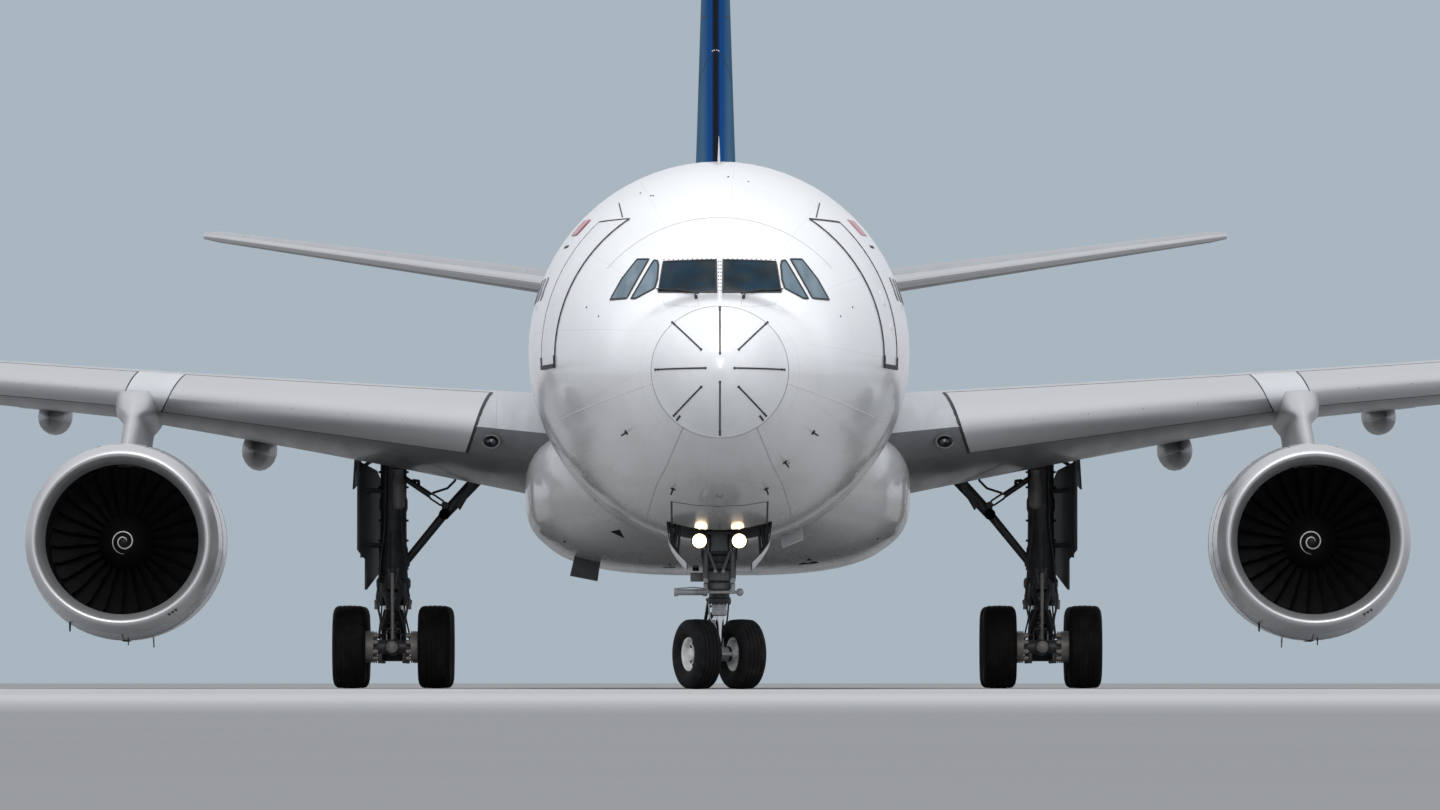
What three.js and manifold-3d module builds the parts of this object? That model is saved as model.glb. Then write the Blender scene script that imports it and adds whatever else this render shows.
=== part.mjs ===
// A wide-body twin-engined airliner standing on its landing gear, as a 1:2 scale model.
// Everything is drawn at full size in metres, and the root group brings it to the model's millimetres.
// x is sideways, positive to port. y is the station, aft of the nose tip. z is the height above the ground.

import * as THREE from "three";
import { mergeVertices } from "three/addons/utils/BufferGeometryUtils.js";
import Module from "manifold-3d";

const wasm = await Module();
wasm.setup();

// Driving dimensions, in full-size metres
const SCALE = 0.5;
const LENGTH = 58.82;
const SEAT = 0.0006; // gap between pieces that rest on each other, 0.3 mm on the model
const CLEAR = 0.014; // gap between pieces that move past each other, 7 mm on the model
const FUSELAGE_AXIS_Z = 4.97;
const FUSELAGE_SIDES = 36;
const RADOME_STATION = 0.95;
const ENGINE_X = 9.37;
const ENGINE_Z = 2.32;
const ROUND_SIDES = 20;
const BAR_SIDES = 10;
const BAR_FLAT = Math.cos(Math.PI / BAR_SIDES); // a bar's flat lies this share of its radius from the axis
const HINGE_PIN_R = 0.022;
const HINGE_PIN_REACH = 0.09;
const HINGE_PIN_SIDES = 6;
const NOSE_CLEAR = 0.012; // gap round a control surface's round nose
const NOSE_INSET = 0.004; // how far that nose lies under the surface's skin
const COVE_SIDES = 16;
const FLAT_SHARE = Math.cos(Math.PI / ROUND_SIDES); // a wheel stands on the flat of its polygon
const NOSE_GEAR_STATION = 6.67;
const NOSE_WHEEL_R = 0.515;
const NOSE_WHEEL_SPREAD = 0.355;
const NOSE_STEER_REST_DEG = 25;
const MAIN_GEAR_STATION = 28.85;
const MAIN_GEAR_X = 5.34;
const MAIN_WHEEL_R = 0.69;
const MAIN_WHEEL_SPREAD = 0.7;
const BOGIE_HALF = 0.99;
const NOSE_AXLE_Z = NOSE_WHEEL_R * FLAT_SHARE;
const MAIN_AXLE_Z = MAIN_WHEEL_R * FLAT_SHARE;

const deg = (a) => (a * Math.PI) / 180;
const at = (x, y, z) => new THREE.Vector3(x, y, z);
const mix = (a, b, t) => a + (b - a) * t;

// Finishes
const finish = (color, roughness, metalness = 0) =>
  new THREE.MeshStandardMaterial({ color, roughness, metalness });
const WHITE_PAINT = finish(0xe9eaec, 0.3);
const GREY_PAINT = finish(0xb4b7ba, 0.4);
const BLUE_PAINT = finish(0x1f3f86, 0.3);
const BARE_METAL = finish(0xb9bbbd, 0.3, 0.9);
const GEAR_METAL = finish(0x8d9092, 0.45, 0.6);
const DARK_METAL = finish(0x2c2d30, 0.45, 0.7);
const TYRE_RUBBER = finish(0x17181a, 0.85);
const WHEEL_PAINT = finish(0xd4d5d2, 0.4);
const DARK_GLASS = finish(0x10181c, 0.08);

// A solid from corner positions and triangles, its faces turned outwards
function solidOf(positions, index) {
  const vertProperties = new Float32Array(positions);
  const triVerts = new Uint32Array(index);
  const build = () => new wasm.Manifold(new wasm.Mesh({ numProp: 3, vertProperties, triVerts }));
  const made = build();
  if (made.volume() > 0) return made;
  for (let i = 0; i < triVerts.length; i += 3) {
    [triVerts[i + 1], triVerts[i + 2]] = [triVerts[i + 2], triVerts[i + 1]];
  }
  return build();
}

// A closed three.js geometry as a solid
function solid(geometry) {
  const bare = geometry.clone();
  bare.deleteAttribute("normal");
  bare.deleteAttribute("uv");
  const merged = mergeVertices(bare, 1e-5);
  return solidOf(merged.attributes.position.array, merged.index.array);
}

// A solid back as a three.js geometry
function geometryOf(made) {
  const mesh = made.getMesh();
  const positions = new Float32Array(mesh.numVert * 3);
  for (let i = 0; i < mesh.numVert; i++) {
    positions.set(mesh.vertProperties.subarray(i * mesh.numProp, i * mesh.numProp + 3), i * 3);
  }
  const geometry = new THREE.BufferGeometry();
  geometry.setAttribute("position", new THREE.BufferAttribute(positions, 3));
  geometry.setIndex(new THREE.BufferAttribute(new Uint32Array(mesh.triVerts), 1));
  return geometry;
}

const join = (...solids) => solids.reduce((a, b) => a.add(b));

function mirrored(made) {
  const geometry = geometryOf(made).scale(-1, 1, 1);
  return solidOf(geometry.attributes.position.array, geometry.index.array);
}
const bothSides = (made) => made.add(mirrored(made));

// A skin through rings of points, closed at both ends by a fan
function loft(rings) {
  const sides = rings[0].length;
  const points = rings.flat();
  const faces = [];
  for (let r = 0; r + 1 < rings.length; r++) {
    for (let i = 0; i < sides; i++) {
      const a = r * sides + i;
      const b = r * sides + ((i + 1) % sides);
      faces.push(a, b, b + sides, a, b + sides, a + sides);
    }
  }
  [0, rings.length - 1].forEach((r, end) => {
    const middle = rings[r].reduce((sum, p) => sum.add(p), at(0, 0, 0)).divideScalar(sides);
    points.push(middle);
    const centre = points.length - 1;
    for (let i = 0; i < sides; i++) {
      const a = r * sides + i;
      const b = r * sides + ((i + 1) % sides);
      faces.push(...(end ? [centre, a, b] : [centre, b, a]));
    }
  });
  const geometry = new THREE.BufferGeometry().setFromPoints(points);
  geometry.setIndex(faces);
  return solid(geometry);
}

// A box between two corners
function block(low, high) {
  const size = high.clone().sub(low);
  const middle = low.clone().add(high).multiplyScalar(0.5);
  const geometry = new THREE.BoxGeometry(size.x, size.y, size.z);
  return solid(geometry.translate(middle.x, middle.y, middle.z));
}

// A round bar or cone from one point to another, standing on the flats of its polygon
function bar(from, to, radius, endRadius = radius, sides = BAR_SIDES, phase = Math.PI / sides) {
  const along = to.clone().sub(from);
  const shape = new THREE.CylinderGeometry(endRadius, radius, along.length(), sides, 1, false, phase);
  const turn = new THREE.Quaternion().setFromUnitVectors(at(0, 1, 0), along.clone().normalize());
  const middle = from.clone().add(to).multiplyScalar(0.5);
  return solid(shape.applyQuaternion(turn).translate(middle.x, middle.y, middle.z));
}

// The room in which a bar of the same sides turns: its flats pass the bar's corners by the seat's gap
function bore(from, to, radius, sides = BAR_SIDES) {
  const over = to.clone().sub(from).setLength(SEAT);
  const room = (radius + SEAT) / Math.cos(Math.PI / sides);
  return bar(from.clone().sub(over), to.clone().add(over), room, room, sides, 0);
}

// A profile of [radius, distance along the axis], closed on itself, turned about an axis
function turned(profile, direction, centre, sides = ROUND_SIDES) {
  const outline = [...profile, profile[0]].map(([r, d]) => new THREE.Vector2(r, d));
  const shape = new THREE.LatheGeometry(outline, sides, Math.PI / sides);
  const turn = new THREE.Quaternion().setFromUnitVectors(at(0, 1, 0), direction);
  return solid(shape.applyQuaternion(turn).translate(centre.x, centre.y, centre.z));
}

// Where a flat shape's own axes go when it is seen along the model's x or y
const PLATE_AXES = {
  x: new THREE.Matrix4().makeBasis(at(0, 1, 0), at(0, 0, 1), at(1, 0, 0)),
  y: new THREE.Matrix4().makeBasis(at(1, 0, 0), at(0, 0, 1), at(0, 1, 0)),
};

// A plate from an outline of [first, second] seen along one axis, between two distances on that axis
function plate(outline, axis, low, high) {
  const shape = new THREE.Shape(outline.map(([a, b]) => new THREE.Vector2(a, b)));
  const geometry = new THREE.ExtrudeGeometry(shape, { depth: high - low, bevelEnabled: false });
  return solid(geometry.translate(0, 0, low).applyMatrix4(PLATE_AXES[axis]));
}

// The two rows of a table on either side of a value in its first column, and the share between them
function rowsAround(table, x) {
  const i = Math.max(1, table.findIndex((row) => row[0] >= x));
  const [before, after] = [table[i - 1], table[i]];
  return { before, after, t: (x - before[0]) / (after[0] - before[0]) };
}

function sectionAt(table, x) {
  const { before, after, t } = rowsAround(table, x);
  return before.map((v, k) => mix(v, after[k], t));
}

// Fuselage: station, top, bottom, half width and height of the widest point, all from the axis
const FUSELAGE = [
  [0.0, -0.5, -0.54, 0.02, -0.52],
  [0.05, -0.29, -0.75, 0.23, -0.52],
  [0.2, -0.08, -0.97, 0.46, -0.52],
  [0.5, 0.17, -1.22, 0.72, -0.51],
  [RADOME_STATION, 0.4, -1.45, 0.964, -0.5],
  [1.5, 0.54, -1.72, 1.27, -0.48],
  [2.05, 0.64, -1.95, 1.5, -0.45],
  [2.7, 1.12, -2.16, 1.74, -0.4],
  [3.4, 1.53, -2.34, 1.96, -0.34],
  [4.2, 1.89, -2.5, 2.18, -0.27],
  [5.2, 2.23, -2.64, 2.4, -0.19],
  [6.2, 2.48, -2.74, 2.57, -0.12],
  [7.4, 2.68, -2.8, 2.71, -0.05],
  [8.6, 2.79, -2.82, 2.79, 0],
  [9.8, 2.82, -2.82, 2.82, 0],
  [38.5, 2.82, -2.82, 2.82, 0],
  [42.0, 2.82, -2.45, 2.74, 0.15],
  [45.5, 2.8, -1.78, 2.46, 0.45],
  [49.0, 2.73, -1.02, 2.02, 0.8],
  [52.0, 2.62, -0.3, 1.57, 1.1],
  [55.0, 2.44, 0.48, 1.06, 1.4],
  [57.3, 2.26, 1.1, 0.63, 1.65],
  [58.4, 2.13, 1.45, 0.38, 1.78],
  [LENGTH, 2.07, 1.56, 0.27, 1.81],
];

function fuselageRing([station, top, bottom, half, widest], grow) {
  return Array.from({ length: FUSELAGE_SIDES }, (_, i) => {
    const a = (2 * Math.PI * i) / FUSELAGE_SIDES;
    const reach = (Math.sin(a) > 0 ? top - widest : widest - bottom) + grow;
    return at((half + grow) * Math.cos(a), station, FUSELAGE_AXIS_Z + widest + reach * Math.sin(a));
  });
}

// The fuselage's skin between two stations, grown outwards, or inwards if grow is negative
function fuselageHull(from, to, grow) {
  const inner = FUSELAGE.filter(([s]) => s > from && s < to);
  const rows = [sectionAt(FUSELAGE, from), ...inner, sectionAt(FUSELAGE, to)];
  return loft(rows.map((row) => fuselageRing(row, grow)));
}

// Wing: x, leading-edge station and height, chord, thickness share, incidence and cant of the section
const WING = [
  [2.0, 19.69, 3.94, 10.98, 0.15, 4.6, 0],
  [9.9, 24.63, 4.82, 6.95, 0.112, 1.8, 0],
  [28.9, 36.5, 6.6, 2.65, 0.105, -0.5, 5],
  [29.5, 37.05, 6.92, 2.15, 0.095, 0, 45],
  [30.1, 38.9, 9.2, 0.82, 0.08, 0, 72],
];
const WING_CAMBER = 0.015;
const TAILPLANE = [
  [0.0, 48.9, 6.97, 5.45, 0.11, -4, 0],
  [9.4, 55.15, 8.5, 2.15, 0.095, -4, 0],
  [9.7, 55.6, 8.55, 1.6, 0.08, -4, 0],
];
// Fin: height, leading-edge station, chord and thickness share
const FIN = [
  [7.5, 44.86, 8.36, 0.096],
  [8.3, 45.9, 7.4, 0.1],
  [17.1, 54.3, 3.0, 0.09],
  [17.39, 54.85, 2.4, 0.07],
];
const FOIL_STEPS = 8;

// Half thickness of a section, as a share of its chord, for a thickness share of 1
const foilHalf = (x) =>
  5 * (0.2969 * Math.sqrt(x) - 0.126 * x - 0.3516 * x ** 2 + 0.2843 * x ** 3 - 0.1036 * x ** 4) + 0.012 * x;
const foilMean = (x, camber) => 4 * camber * x * (1 - x);

// A section's ring: x along the chord and z across it, both as shares of the chord
function foilOutline(thickness, camber) {
  const share = (_, i) => (1 - Math.cos((Math.PI * i) / FOIL_STEPS)) / 2;
  const steps = Array.from({ length: FOIL_STEPS + 1 }, share);
  const side = (sign) => (x) => [x, foilMean(x, camber) + sign * thickness * foilHalf(x)];
  return [...steps.toReversed().map(side(1)), ...steps.slice(1).map(side(-1))];
}

function grownOutline(outline, grow) {
  return outline.map(([x, z], i) => {
    const [ax, az] = outline[(i + outline.length - 1) % outline.length];
    const [bx, bz] = outline[(i + 1) % outline.length];
    const length = Math.hypot(bx - ax, bz - az);
    return [x - (grow * (bz - az)) / -length, z + (grow * (bx - ax)) / -length];
  });
}

function wingRing([x, station, z, chord, thickness, incidence, cant], camber, grow) {
  const along = at(0, Math.cos(deg(incidence)), -Math.sin(deg(incidence)));
  const across = at(
    -Math.sin(deg(cant)),
    Math.sin(deg(incidence)) * Math.cos(deg(cant)),
    Math.cos(deg(incidence)) * Math.cos(deg(cant)),
  );
  return grownOutline(foilOutline(thickness, camber), grow / chord).map(([u, w]) =>
    at(x, station, z).addScaledVector(along, u * chord).addScaledVector(across, w * chord),
  );
}

// The middle surface and half thickness of a lifting surface, at a distance x and a share of the chord
function middlePoint(table, x, share, camber) {
  const { before, after, t } = rowsAround(table, x);
  const point = ([, station, z, chord, , incidence]) => at(
    x,
    station + share * chord * Math.cos(deg(incidence)),
    z - share * chord * Math.sin(deg(incidence)) + foilMean(share, camber) * chord,
  );
  return point(before).lerp(point(after), t);
}

function halfAt(table, x, share) {
  const { before, after, t } = rowsAround(table, x);
  const half = ([, , , chord, thickness]) => chord * thickness * foilHalf(share);
  return mix(half(before), half(after), t);
}

// The block behind a hinge line, square to it: its front holds the line, and it can be grown on every side
function blockBehind(from, to, up, aft, height, growFront = 0, growEnds = 0) {
  const ex = to.clone().sub(from).normalize();
  const ey = up.clone().cross(ex).normalize();
  const ez = ex.clone().cross(ey);
  const length = to.distanceTo(from) + 2 * growEnds;
  const geometry = new THREE.BoxGeometry(length, aft + growFront, height);
  const middle = from.clone().add(to).multiplyScalar(0.5).addScaledVector(ey, (aft - growFront) / 2);
  geometry.applyMatrix4(new THREE.Matrix4().makeBasis(ex, ey, ez).setPosition(middle));
  return solid(geometry);
}

const coveRadius = (radius) => (radius + NOSE_CLEAR) / Math.cos(Math.PI / COVE_SIDES);

// Splits a control surface off a lifting surface at a hinge line, with a round nose in a round cove.
// Levels, if given, are the heights where the moving surface starts and ends.
function splitSurface(whole, from, to, radii, up, aft, height, travelDeg, levels) {
  const reach = to.clone().sub(from).normalize().multiplyScalar(CLEAR);
  const lip = Math.max(...radii) * Math.tan(deg(travelDeg) / 2) + CLEAR;
  const trim = (made, gap) => {
    if (!levels) return made;
    const [low, high] = levels;
    return made.intersect(block(at(-2, from.y - 8, low - gap), at(2, to.y + 8, high + gap)));
  };
  const nose = bar(from, to, ...radii);
  const moving = trim(whole.intersect(blockBehind(from, to, up, aft, height)).add(nose), 0);
  const cove = bar(from.clone().sub(reach), to.clone().add(reach), ...radii.map(coveRadius), COVE_SIDES);
  const room = blockBehind(from, to, up, aft, height, lip, CLEAR).add(cove);
  return { moving, fixed: whole.subtract(trim(room, RUDDER_FOOT_GAP)) };
}

// Hinge pins on a moving surface, and their bores in what carries it
function pinned({ moving, fixed }, spans) {
  const pins = spans.map(([from, to]) => bar(from, to, HINGE_PIN_R, HINGE_PIN_R, HINGE_PIN_SIDES));
  const bores = spans.map(([from, to]) => bore(from, to, HINGE_PIN_R, HINGE_PIN_SIDES));
  return { moving: join(moving, ...pins), fixed: fixed.subtract(join(...bores)) };
}

// One pin along a whole hinge line, standing out at both ends
function throughPin(from, to) {
  const reach = to.clone().sub(from).setLength(HINGE_PIN_REACH);
  return [[from.clone().sub(reach), to.clone().add(reach)]];
}

const UP = at(0, 0, 1);

// Flap track fairings: x, front and rear station, radius
const TRACK_FAIRINGS = [
  [7.6, 27.4, 32.3, 0.28],
  [11.05, 28.7, 33.2, 0.26],
  [14.6, 30.6, 34.6, 0.23],
  [18.2, 32.5, 36.0, 0.2],
];
// share of the length, share of the radius
const TRACK_FAIRING_SHAPE = [[0, 0.12], [0.2, 0.85], [0.55, 1], [0.85, 0.5], [1, 0.08]];
const TRACK_FAIRING_SIDES = 6;

function trackFairing([x, front, rear, radius]) {
  const [, lead, , chord] = sectionAt(WING, x);
  const underside = (station) => {
    const share = Math.min(1, (station - lead) / chord);
    return middlePoint(WING, x, share, WING_CAMBER).z - halfAt(WING, x, share);
  };
  const rings = TRACK_FAIRING_SHAPE.map(([t, size]) => {
    const station = mix(front, rear, t);
    const middle = underside(station) - 0.45 * radius;
    return Array.from({ length: TRACK_FAIRING_SIDES }, (_, i) => {
      const a = (2 * Math.PI * i) / TRACK_FAIRING_SIDES;
      return at(x + radius * size * Math.cos(a), station, middle + 1.25 * radius * size * Math.sin(a));
    });
  });
  return loft(rings);
}

// Wing, port side, with its flaps and ailerons
const FLAP_AXIS_DROP = 1.25; // each flap turns about a line this far below its front edge
const FLAP_RAILS = { flap_inboard: [4.4, 7.45], flap_outboard: [10.9, 18.05] };
const RAIL_HALF_DEPTH = 0.045;
const RAIL_HALF_WIDTH = 0.03;
const RAIL_STEPS = 8;
const RAIL_ANGLES = [-8, 34]; // from inside the flap to the front end in the wing
const FLAP_CHORD_IN = 2.05;
const FLAP_CHORD_OUT = 1.9;
const TRAILING_SHARE = 0.75;
const AILERON_TRAVEL = 25;
// aft reach and height of the room that holds all of a surface behind its hinge line
const FLAP_ROOM = [4.2, 2.6];
const AILERON_ROOM = [1.6, 0.9];
const SURFACES = {
  flap_inboard: { x: [3.5, 9.25] },
  flap_outboard: { x: [10.25, 19.7] },
  aileron_inboard: { x: [19.98, 23.9] },
  aileron_outboard: { x: [24.15, 28.2] },
};

function hingeEnds(name) {
  return SURFACES[name].x.map((x, end) => {
    const share = name === "flap_inboard"
      ? 1 - (end ? FLAP_CHORD_OUT : FLAP_CHORD_IN) / sectionAt(WING, x)[3]
      : TRAILING_SHARE;
    return middlePoint(WING, x, share, WING_CAMBER);
  });
}

// A curved rail about the flap's hinge line, which slides in its slot in the wing
function flapRail([from, to], x, grow) {
  const ex = to.clone().sub(from).normalize();
  const onEdge = from.clone().lerp(to, (x - from.x) / (to.x - from.x));
  const radial = UP.clone().addScaledVector(ex, -UP.dot(ex)).multiplyScalar(FLAP_AXIS_DROP);
  const centre = onEdge.clone().sub(radial);
  const ur = radial.clone().normalize();
  const ends = [RAIL_ANGLES[0], RAIL_ANGLES[1] + 60 * grow];
  const angles = Array.from({ length: RAIL_STEPS + 1 }, (_, i) => deg(mix(...ends, i / RAIL_STEPS)));
  const arc = (radius) => angles.map((a) => new THREE.Vector2(radius * Math.cos(a), radius * Math.sin(a)));
  const flat = grow ? Math.cos((angles[1] - angles[0]) / 2) : 1; // a slot clears the rail's corners
  const inner = arc((radial.length() - RAIL_HALF_DEPTH) * flat - grow);
  const outer = arc((radial.length() + RAIL_HALF_DEPTH + grow) / flat);
  const half = RAIL_HALF_WIDTH + grow;
  const shape = new THREE.Shape([...inner, ...outer.toReversed()]);
  const geometry = new THREE.ExtrudeGeometry(shape, { depth: 2 * half, bevelEnabled: false });
  const placed = new THREE.Matrix4().makeBasis(ur, ex.clone().cross(ur), ex).setPosition(centre);
  return solid(geometry.translate(0, 0, -half).applyMatrix4(placed));
}

function makeWing() {
  const shell = loft(WING.map((row) => wingRing(row, WING_CAMBER, 0)));
  let wing = join(shell, ...TRACK_FAIRINGS.map(trackFairing));
  const made = {};
  for (const name of ["flap_inboard", "flap_outboard"]) {
    const [from, to] = hingeEnds(name);
    const rails = FLAP_RAILS[name].map((x) => flapRail([from, to], x, 0));
    const slots = FLAP_RAILS[name].map((x) => flapRail([from, to], x, SEAT));
    made[name] = wing.intersect(blockBehind(from, to, UP, ...FLAP_ROOM)).add(join(...rails));
    wing = wing.subtract(blockBehind(from, to, UP, ...FLAP_ROOM, CLEAR, CLEAR)).subtract(join(...slots));
  }
  for (const name of ["aileron_inboard", "aileron_outboard"]) {
    const [from, to] = hingeEnds(name);
    const radii = SURFACES[name].x.map((x) => halfAt(WING, x, TRAILING_SHARE) - NOSE_INSET);
    const surface = splitSurface(wing, from, to, radii, UP, ...AILERON_ROOM, AILERON_TRAVEL);
    const split = pinned(surface, throughPin(from, to));
    made[name] = split.moving;
    wing = split.fixed;
  }
  return { wing, ...made };
}

// The whole wing grown a little, to cut the pieces that hold it or that it holds
const wingRoom = loft([
  wingRing([WING[0][0] - SEAT, ...WING[0].slice(1)], WING_CAMBER, SEAT),
  ...WING.slice(1).map((row) => wingRing(row, WING_CAMBER, SEAT)),
]);

// Belly fairing under the wing box: station, half width, bottom and top height
const BELLY = [
  [16.6, 1.7, 2.42, 3.4],
  [18.2, 2.62, 2.06, 4.0],
  [20.0, 2.98, 1.9, 4.3],
  [22.0, 3.06, 1.87, 4.35],
  [29.5, 3.06, 1.87, 4.35],
  [32.0, 2.86, 1.98, 4.2],
  [34.5, 2.2, 2.2, 3.8],
  [36.0, 1.5, 2.45, 3.4],
];
const BARREL = [12, 40]; // stations between which the belly fairing meets the fuselage
const BELLY_SQUARENESS = 0.78;
const BELLY_SIDES = 20;

function makeBelly() {
  const rings = BELLY.map(([station, half, low, high]) =>
    Array.from({ length: BELLY_SIDES }, (_, i) => {
      const a = (2 * Math.PI * i) / BELLY_SIDES;
      const power = (v) => Math.sign(v) * Math.abs(v) ** BELLY_SQUARENESS;
      const [middle, reach] = [(low + high) / 2, (high - low) / 2];
      return at(half * power(Math.cos(a)), station, middle + reach * power(Math.sin(a)));
    }),
  );
  return loft(rings).subtract(fuselageHull(...BARREL, SEAT)).subtract(bothSides(wingRoom));
}

// Cockpit panes seen from ahead on the port side, as [x, height] corners
const PANES = [
  [[0.87, 5.63], [0.8, 6.05], [0.04, 6.07], [0.034, 5.61]],
  [[0.916, 5.67], [0.876, 6.055], [0.973, 6.095], [1.267, 5.53], [1.175, 5.53]],
  [[1.395, 5.827], [1.175, 6.107], [1.03, 6.107], [1.335, 5.533], [1.561, 5.526]],
];
const PANE_DEPTH = 0.04;
const GLAZING_LOW = at(-1.85, 1.75, 5.4);
const GLAZING_HIGH = at(1.85, 4.4, 6.25);
const COCKPIT_REAR = 20;

// Lower-deck cargo doors on the starboard side: first and last station, sill and head height
const CARGO_DOORS = {
  cargo_door_front: [12.0, 14.7, 2.85, 4.5],
  cargo_door_rear: [39.3, 41.9, 3.05, 4.5],
};
const DOOR_THICKNESS = 0.12;
const DOOR_HINGE_R = 0.03;
const DOOR_OUTER_X = -3.2;
const DOOR_INNER_X = -1.2;
const DOOR_STATIONS = [10, 46]; // past both cargo doors
const HOLD_OUTER_X = -2.7;
const HOLD_INNER_X = -0.9;
const HOLD_RIM = 0.12;

// Nose-gear bay
const BAY_HALF = 0.76;
const BAY_FRONT = 5.5;
const BAY_REAR = 7.55;
const BAY_ROOF = 3.55;

// Jacking pads: the flat lower faces where the aircraft can be lifted
const PAD_R = 0.13;
const NOSE_PAD = at(0, 4.7, 2.3);

// Tailplane pivot, and the flat side that its root sweeps past
const TAIL_FLAT_X = 1.15;
const TAIL_PIVOT_SHARE = 0.66;
const TAIL_PIVOT_R = 0.14;
const TAIL_PIVOT_DROP = 0.1;
const tailPivot = middlePoint(TAILPLANE, TAIL_FLAT_X, TAIL_PIVOT_SHARE, 0).add(at(0, 0, -TAIL_PIVOT_DROP));
// Flat-sided shoulder under the fin: station, half width, top height
const SHOULDER = [
  [47.2, 0.75, 7.3],
  [49.2, TAIL_FLAT_X, 7.52],
  [53.2, TAIL_FLAT_X, 7.45],
  [55.9, TAIL_FLAT_X, 7.2],
  [57.6, 0.4, 7.0],
];
const SHOULDER_FOOT = 6.2;
// its rounded edge: inset from the side and drop below the top
const SHOULDER_EDGE = [[0, 0.22], [0.1, 0.05], [0.3, 0]];
const TAIL_SWEEP = [[TAIL_FLAT_X, 6.3], [2.6, 6.4], [2.6, 8], [TAIL_FLAT_X, 8]];

// Exhaust of the small engine in the tail cone
const TAIL_EXHAUST_FRONT = at(0, LENGTH - 0.7, 6.79);
const TAIL_EXHAUST_R = 0.17;

// The cargo door's hinge bar, along the skin at the door's head
function doorHinge([front, rear, , head], shape) {
  const onSkin = (station) => {
    const [, top, bottom, half, widest] = sectionAt(FUSELAGE, station);
    const rise = head - FUSELAGE_AXIS_Z - widest;
    const reach = rise > 0 ? top - widest : widest - bottom;
    return at(-half * Math.sqrt(1 - (rise / reach) ** 2), station, head);
  };
  const [from, to] = [onSkin(front), onSkin(rear)];
  const inset = to.clone().sub(from).setLength(shape === bar ? CLEAR : 0);
  return shape(from.add(inset), to.sub(inset), DOOR_HINGE_R);
}

function shoulderRing([station, half, top]) {
  const edge = SHOULDER_EDGE.map(([inset, drop]) => at(half - inset, station, top - drop));
  const port = [at(half, station, SHOULDER_FOOT), ...edge];
  return [...port, ...port.toReversed().map((p) => at(-p.x, p.y, p.z))];
}

function makeFuselage() {
  const hull = fuselageHull(RADOME_STATION + SEAT, LENGTH, 0).add(loft(SHOULDER.map(shoulderRing)));
  const panes = PANES.map((outline) => plate(outline, "y", 1.6, 4.3));
  const cuts = [
    bothSides(join(...panes)).subtract(fuselageHull(RADOME_STATION, COCKPIT_REAR, -PANE_DEPTH - 0.01)),
    fuselageHull(RADOME_STATION, COCKPIT_REAR, -PANE_DEPTH).intersect(block(GLAZING_LOW, GLAZING_HIGH)),
    bothSides(wingRoom),
    block(at(-BAY_HALF, BAY_FRONT, 1.5), at(BAY_HALF, BAY_REAR, BAY_ROOF)),
    bothSides(plate(TAIL_SWEEP, "y", 48.9, 56.4)),
    bore(at(-2, tailPivot.y, tailPivot.z), at(2, tailPivot.y, tailPivot.z), TAIL_PIVOT_R),
    bar(TAIL_EXHAUST_FRONT, TAIL_EXHAUST_FRONT.clone().add(at(0, 1, 0)), TAIL_EXHAUST_R),
    finRoom(),
  ];
  const behindDoor = fuselageHull(...DOOR_STATIONS, -DOOR_THICKNESS - CLEAR);
  for (const row of Object.values(CARGO_DOORS)) {
    const [front, rear, sill, head] = row;
    const holdLow = at(HOLD_OUTER_X, front + HOLD_RIM, sill + HOLD_RIM);
    const holdHigh = at(HOLD_INNER_X, rear - HOLD_RIM, head - HOLD_RIM);
    cuts.push(block(at(DOOR_OUTER_X, front, sill), at(DOOR_INNER_X, rear, head)).subtract(behindDoor));
    cuts.push(block(holdLow, holdHigh));
    cuts.push(doorHinge(row, bore));
  }
  const body = cuts.reduce((a, b) => a.subtract(b), hull);
  return body.add(bar(at(0, NOSE_PAD.y, 2.8), NOSE_PAD, PAD_R));
}

const makeGlazing = () =>
  fuselageHull(RADOME_STATION, COCKPIT_REAR, -PANE_DEPTH - SEAT).intersect(
    block(GLAZING_LOW.clone().addScalar(SEAT), GLAZING_HIGH.clone().addScalar(-SEAT)),
  );

const makeRadome = () => fuselageHull(0, RADOME_STATION, 0);

function makeCargoDoor(row) {
  const [front, rear, sill, head] = row;
  const low = at(DOOR_OUTER_X, front + CLEAR, sill + CLEAR);
  const opening = block(low, at(DOOR_INNER_X, rear - CLEAR, head - CLEAR));
  const skin = fuselageHull(...DOOR_STATIONS, 0).intersect(opening);
  return skin.subtract(fuselageHull(...DOOR_STATIONS, -DOOR_THICKNESS)).add(doorHinge(row, bar));
}

// Fin and rudder
function finRing([z, station, chord, thickness], grow) {
  const outline = grownOutline(foilOutline(thickness, 0), grow / chord);
  return outline.map(([u, w]) => at(w * chord, station + u * chord, z));
}
const finRoom = () => {
  const deeper = FIN[0].map((v, k) => mix(v, FIN[1][k], -2 * SEAT));
  return loft([finRing(deeper, SEAT), finRing(FIN[1], SEAT)]);
};
const RUDDER_SHARE = 0.68;
const RUDDER_TRAVEL = 35;
function finPoint(z) {
  const [, station, chord, thickness] = sectionAt(FIN, z);
  const half = chord * thickness * foilHalf(RUDDER_SHARE);
  return { hinge: at(0, station + RUDDER_SHARE * chord, z), half };
}

const RUDDER_LEVELS = [7.96, 17.39];
const RUDDER_FOOT_GAP = 0.12; // its tilted hinge dips the foot's front corners as it turns
const RUDDER_HINGE = [7.4, 19.2]; // heights of the ends of the hinge line, past both ends of the rudder
const RUDDER_PIN = [7.66, 8.3];
const RUDDER_ROOM = [3.8, 1.6];
const RUDDER_NOSE_INSET = 0.006;

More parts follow.
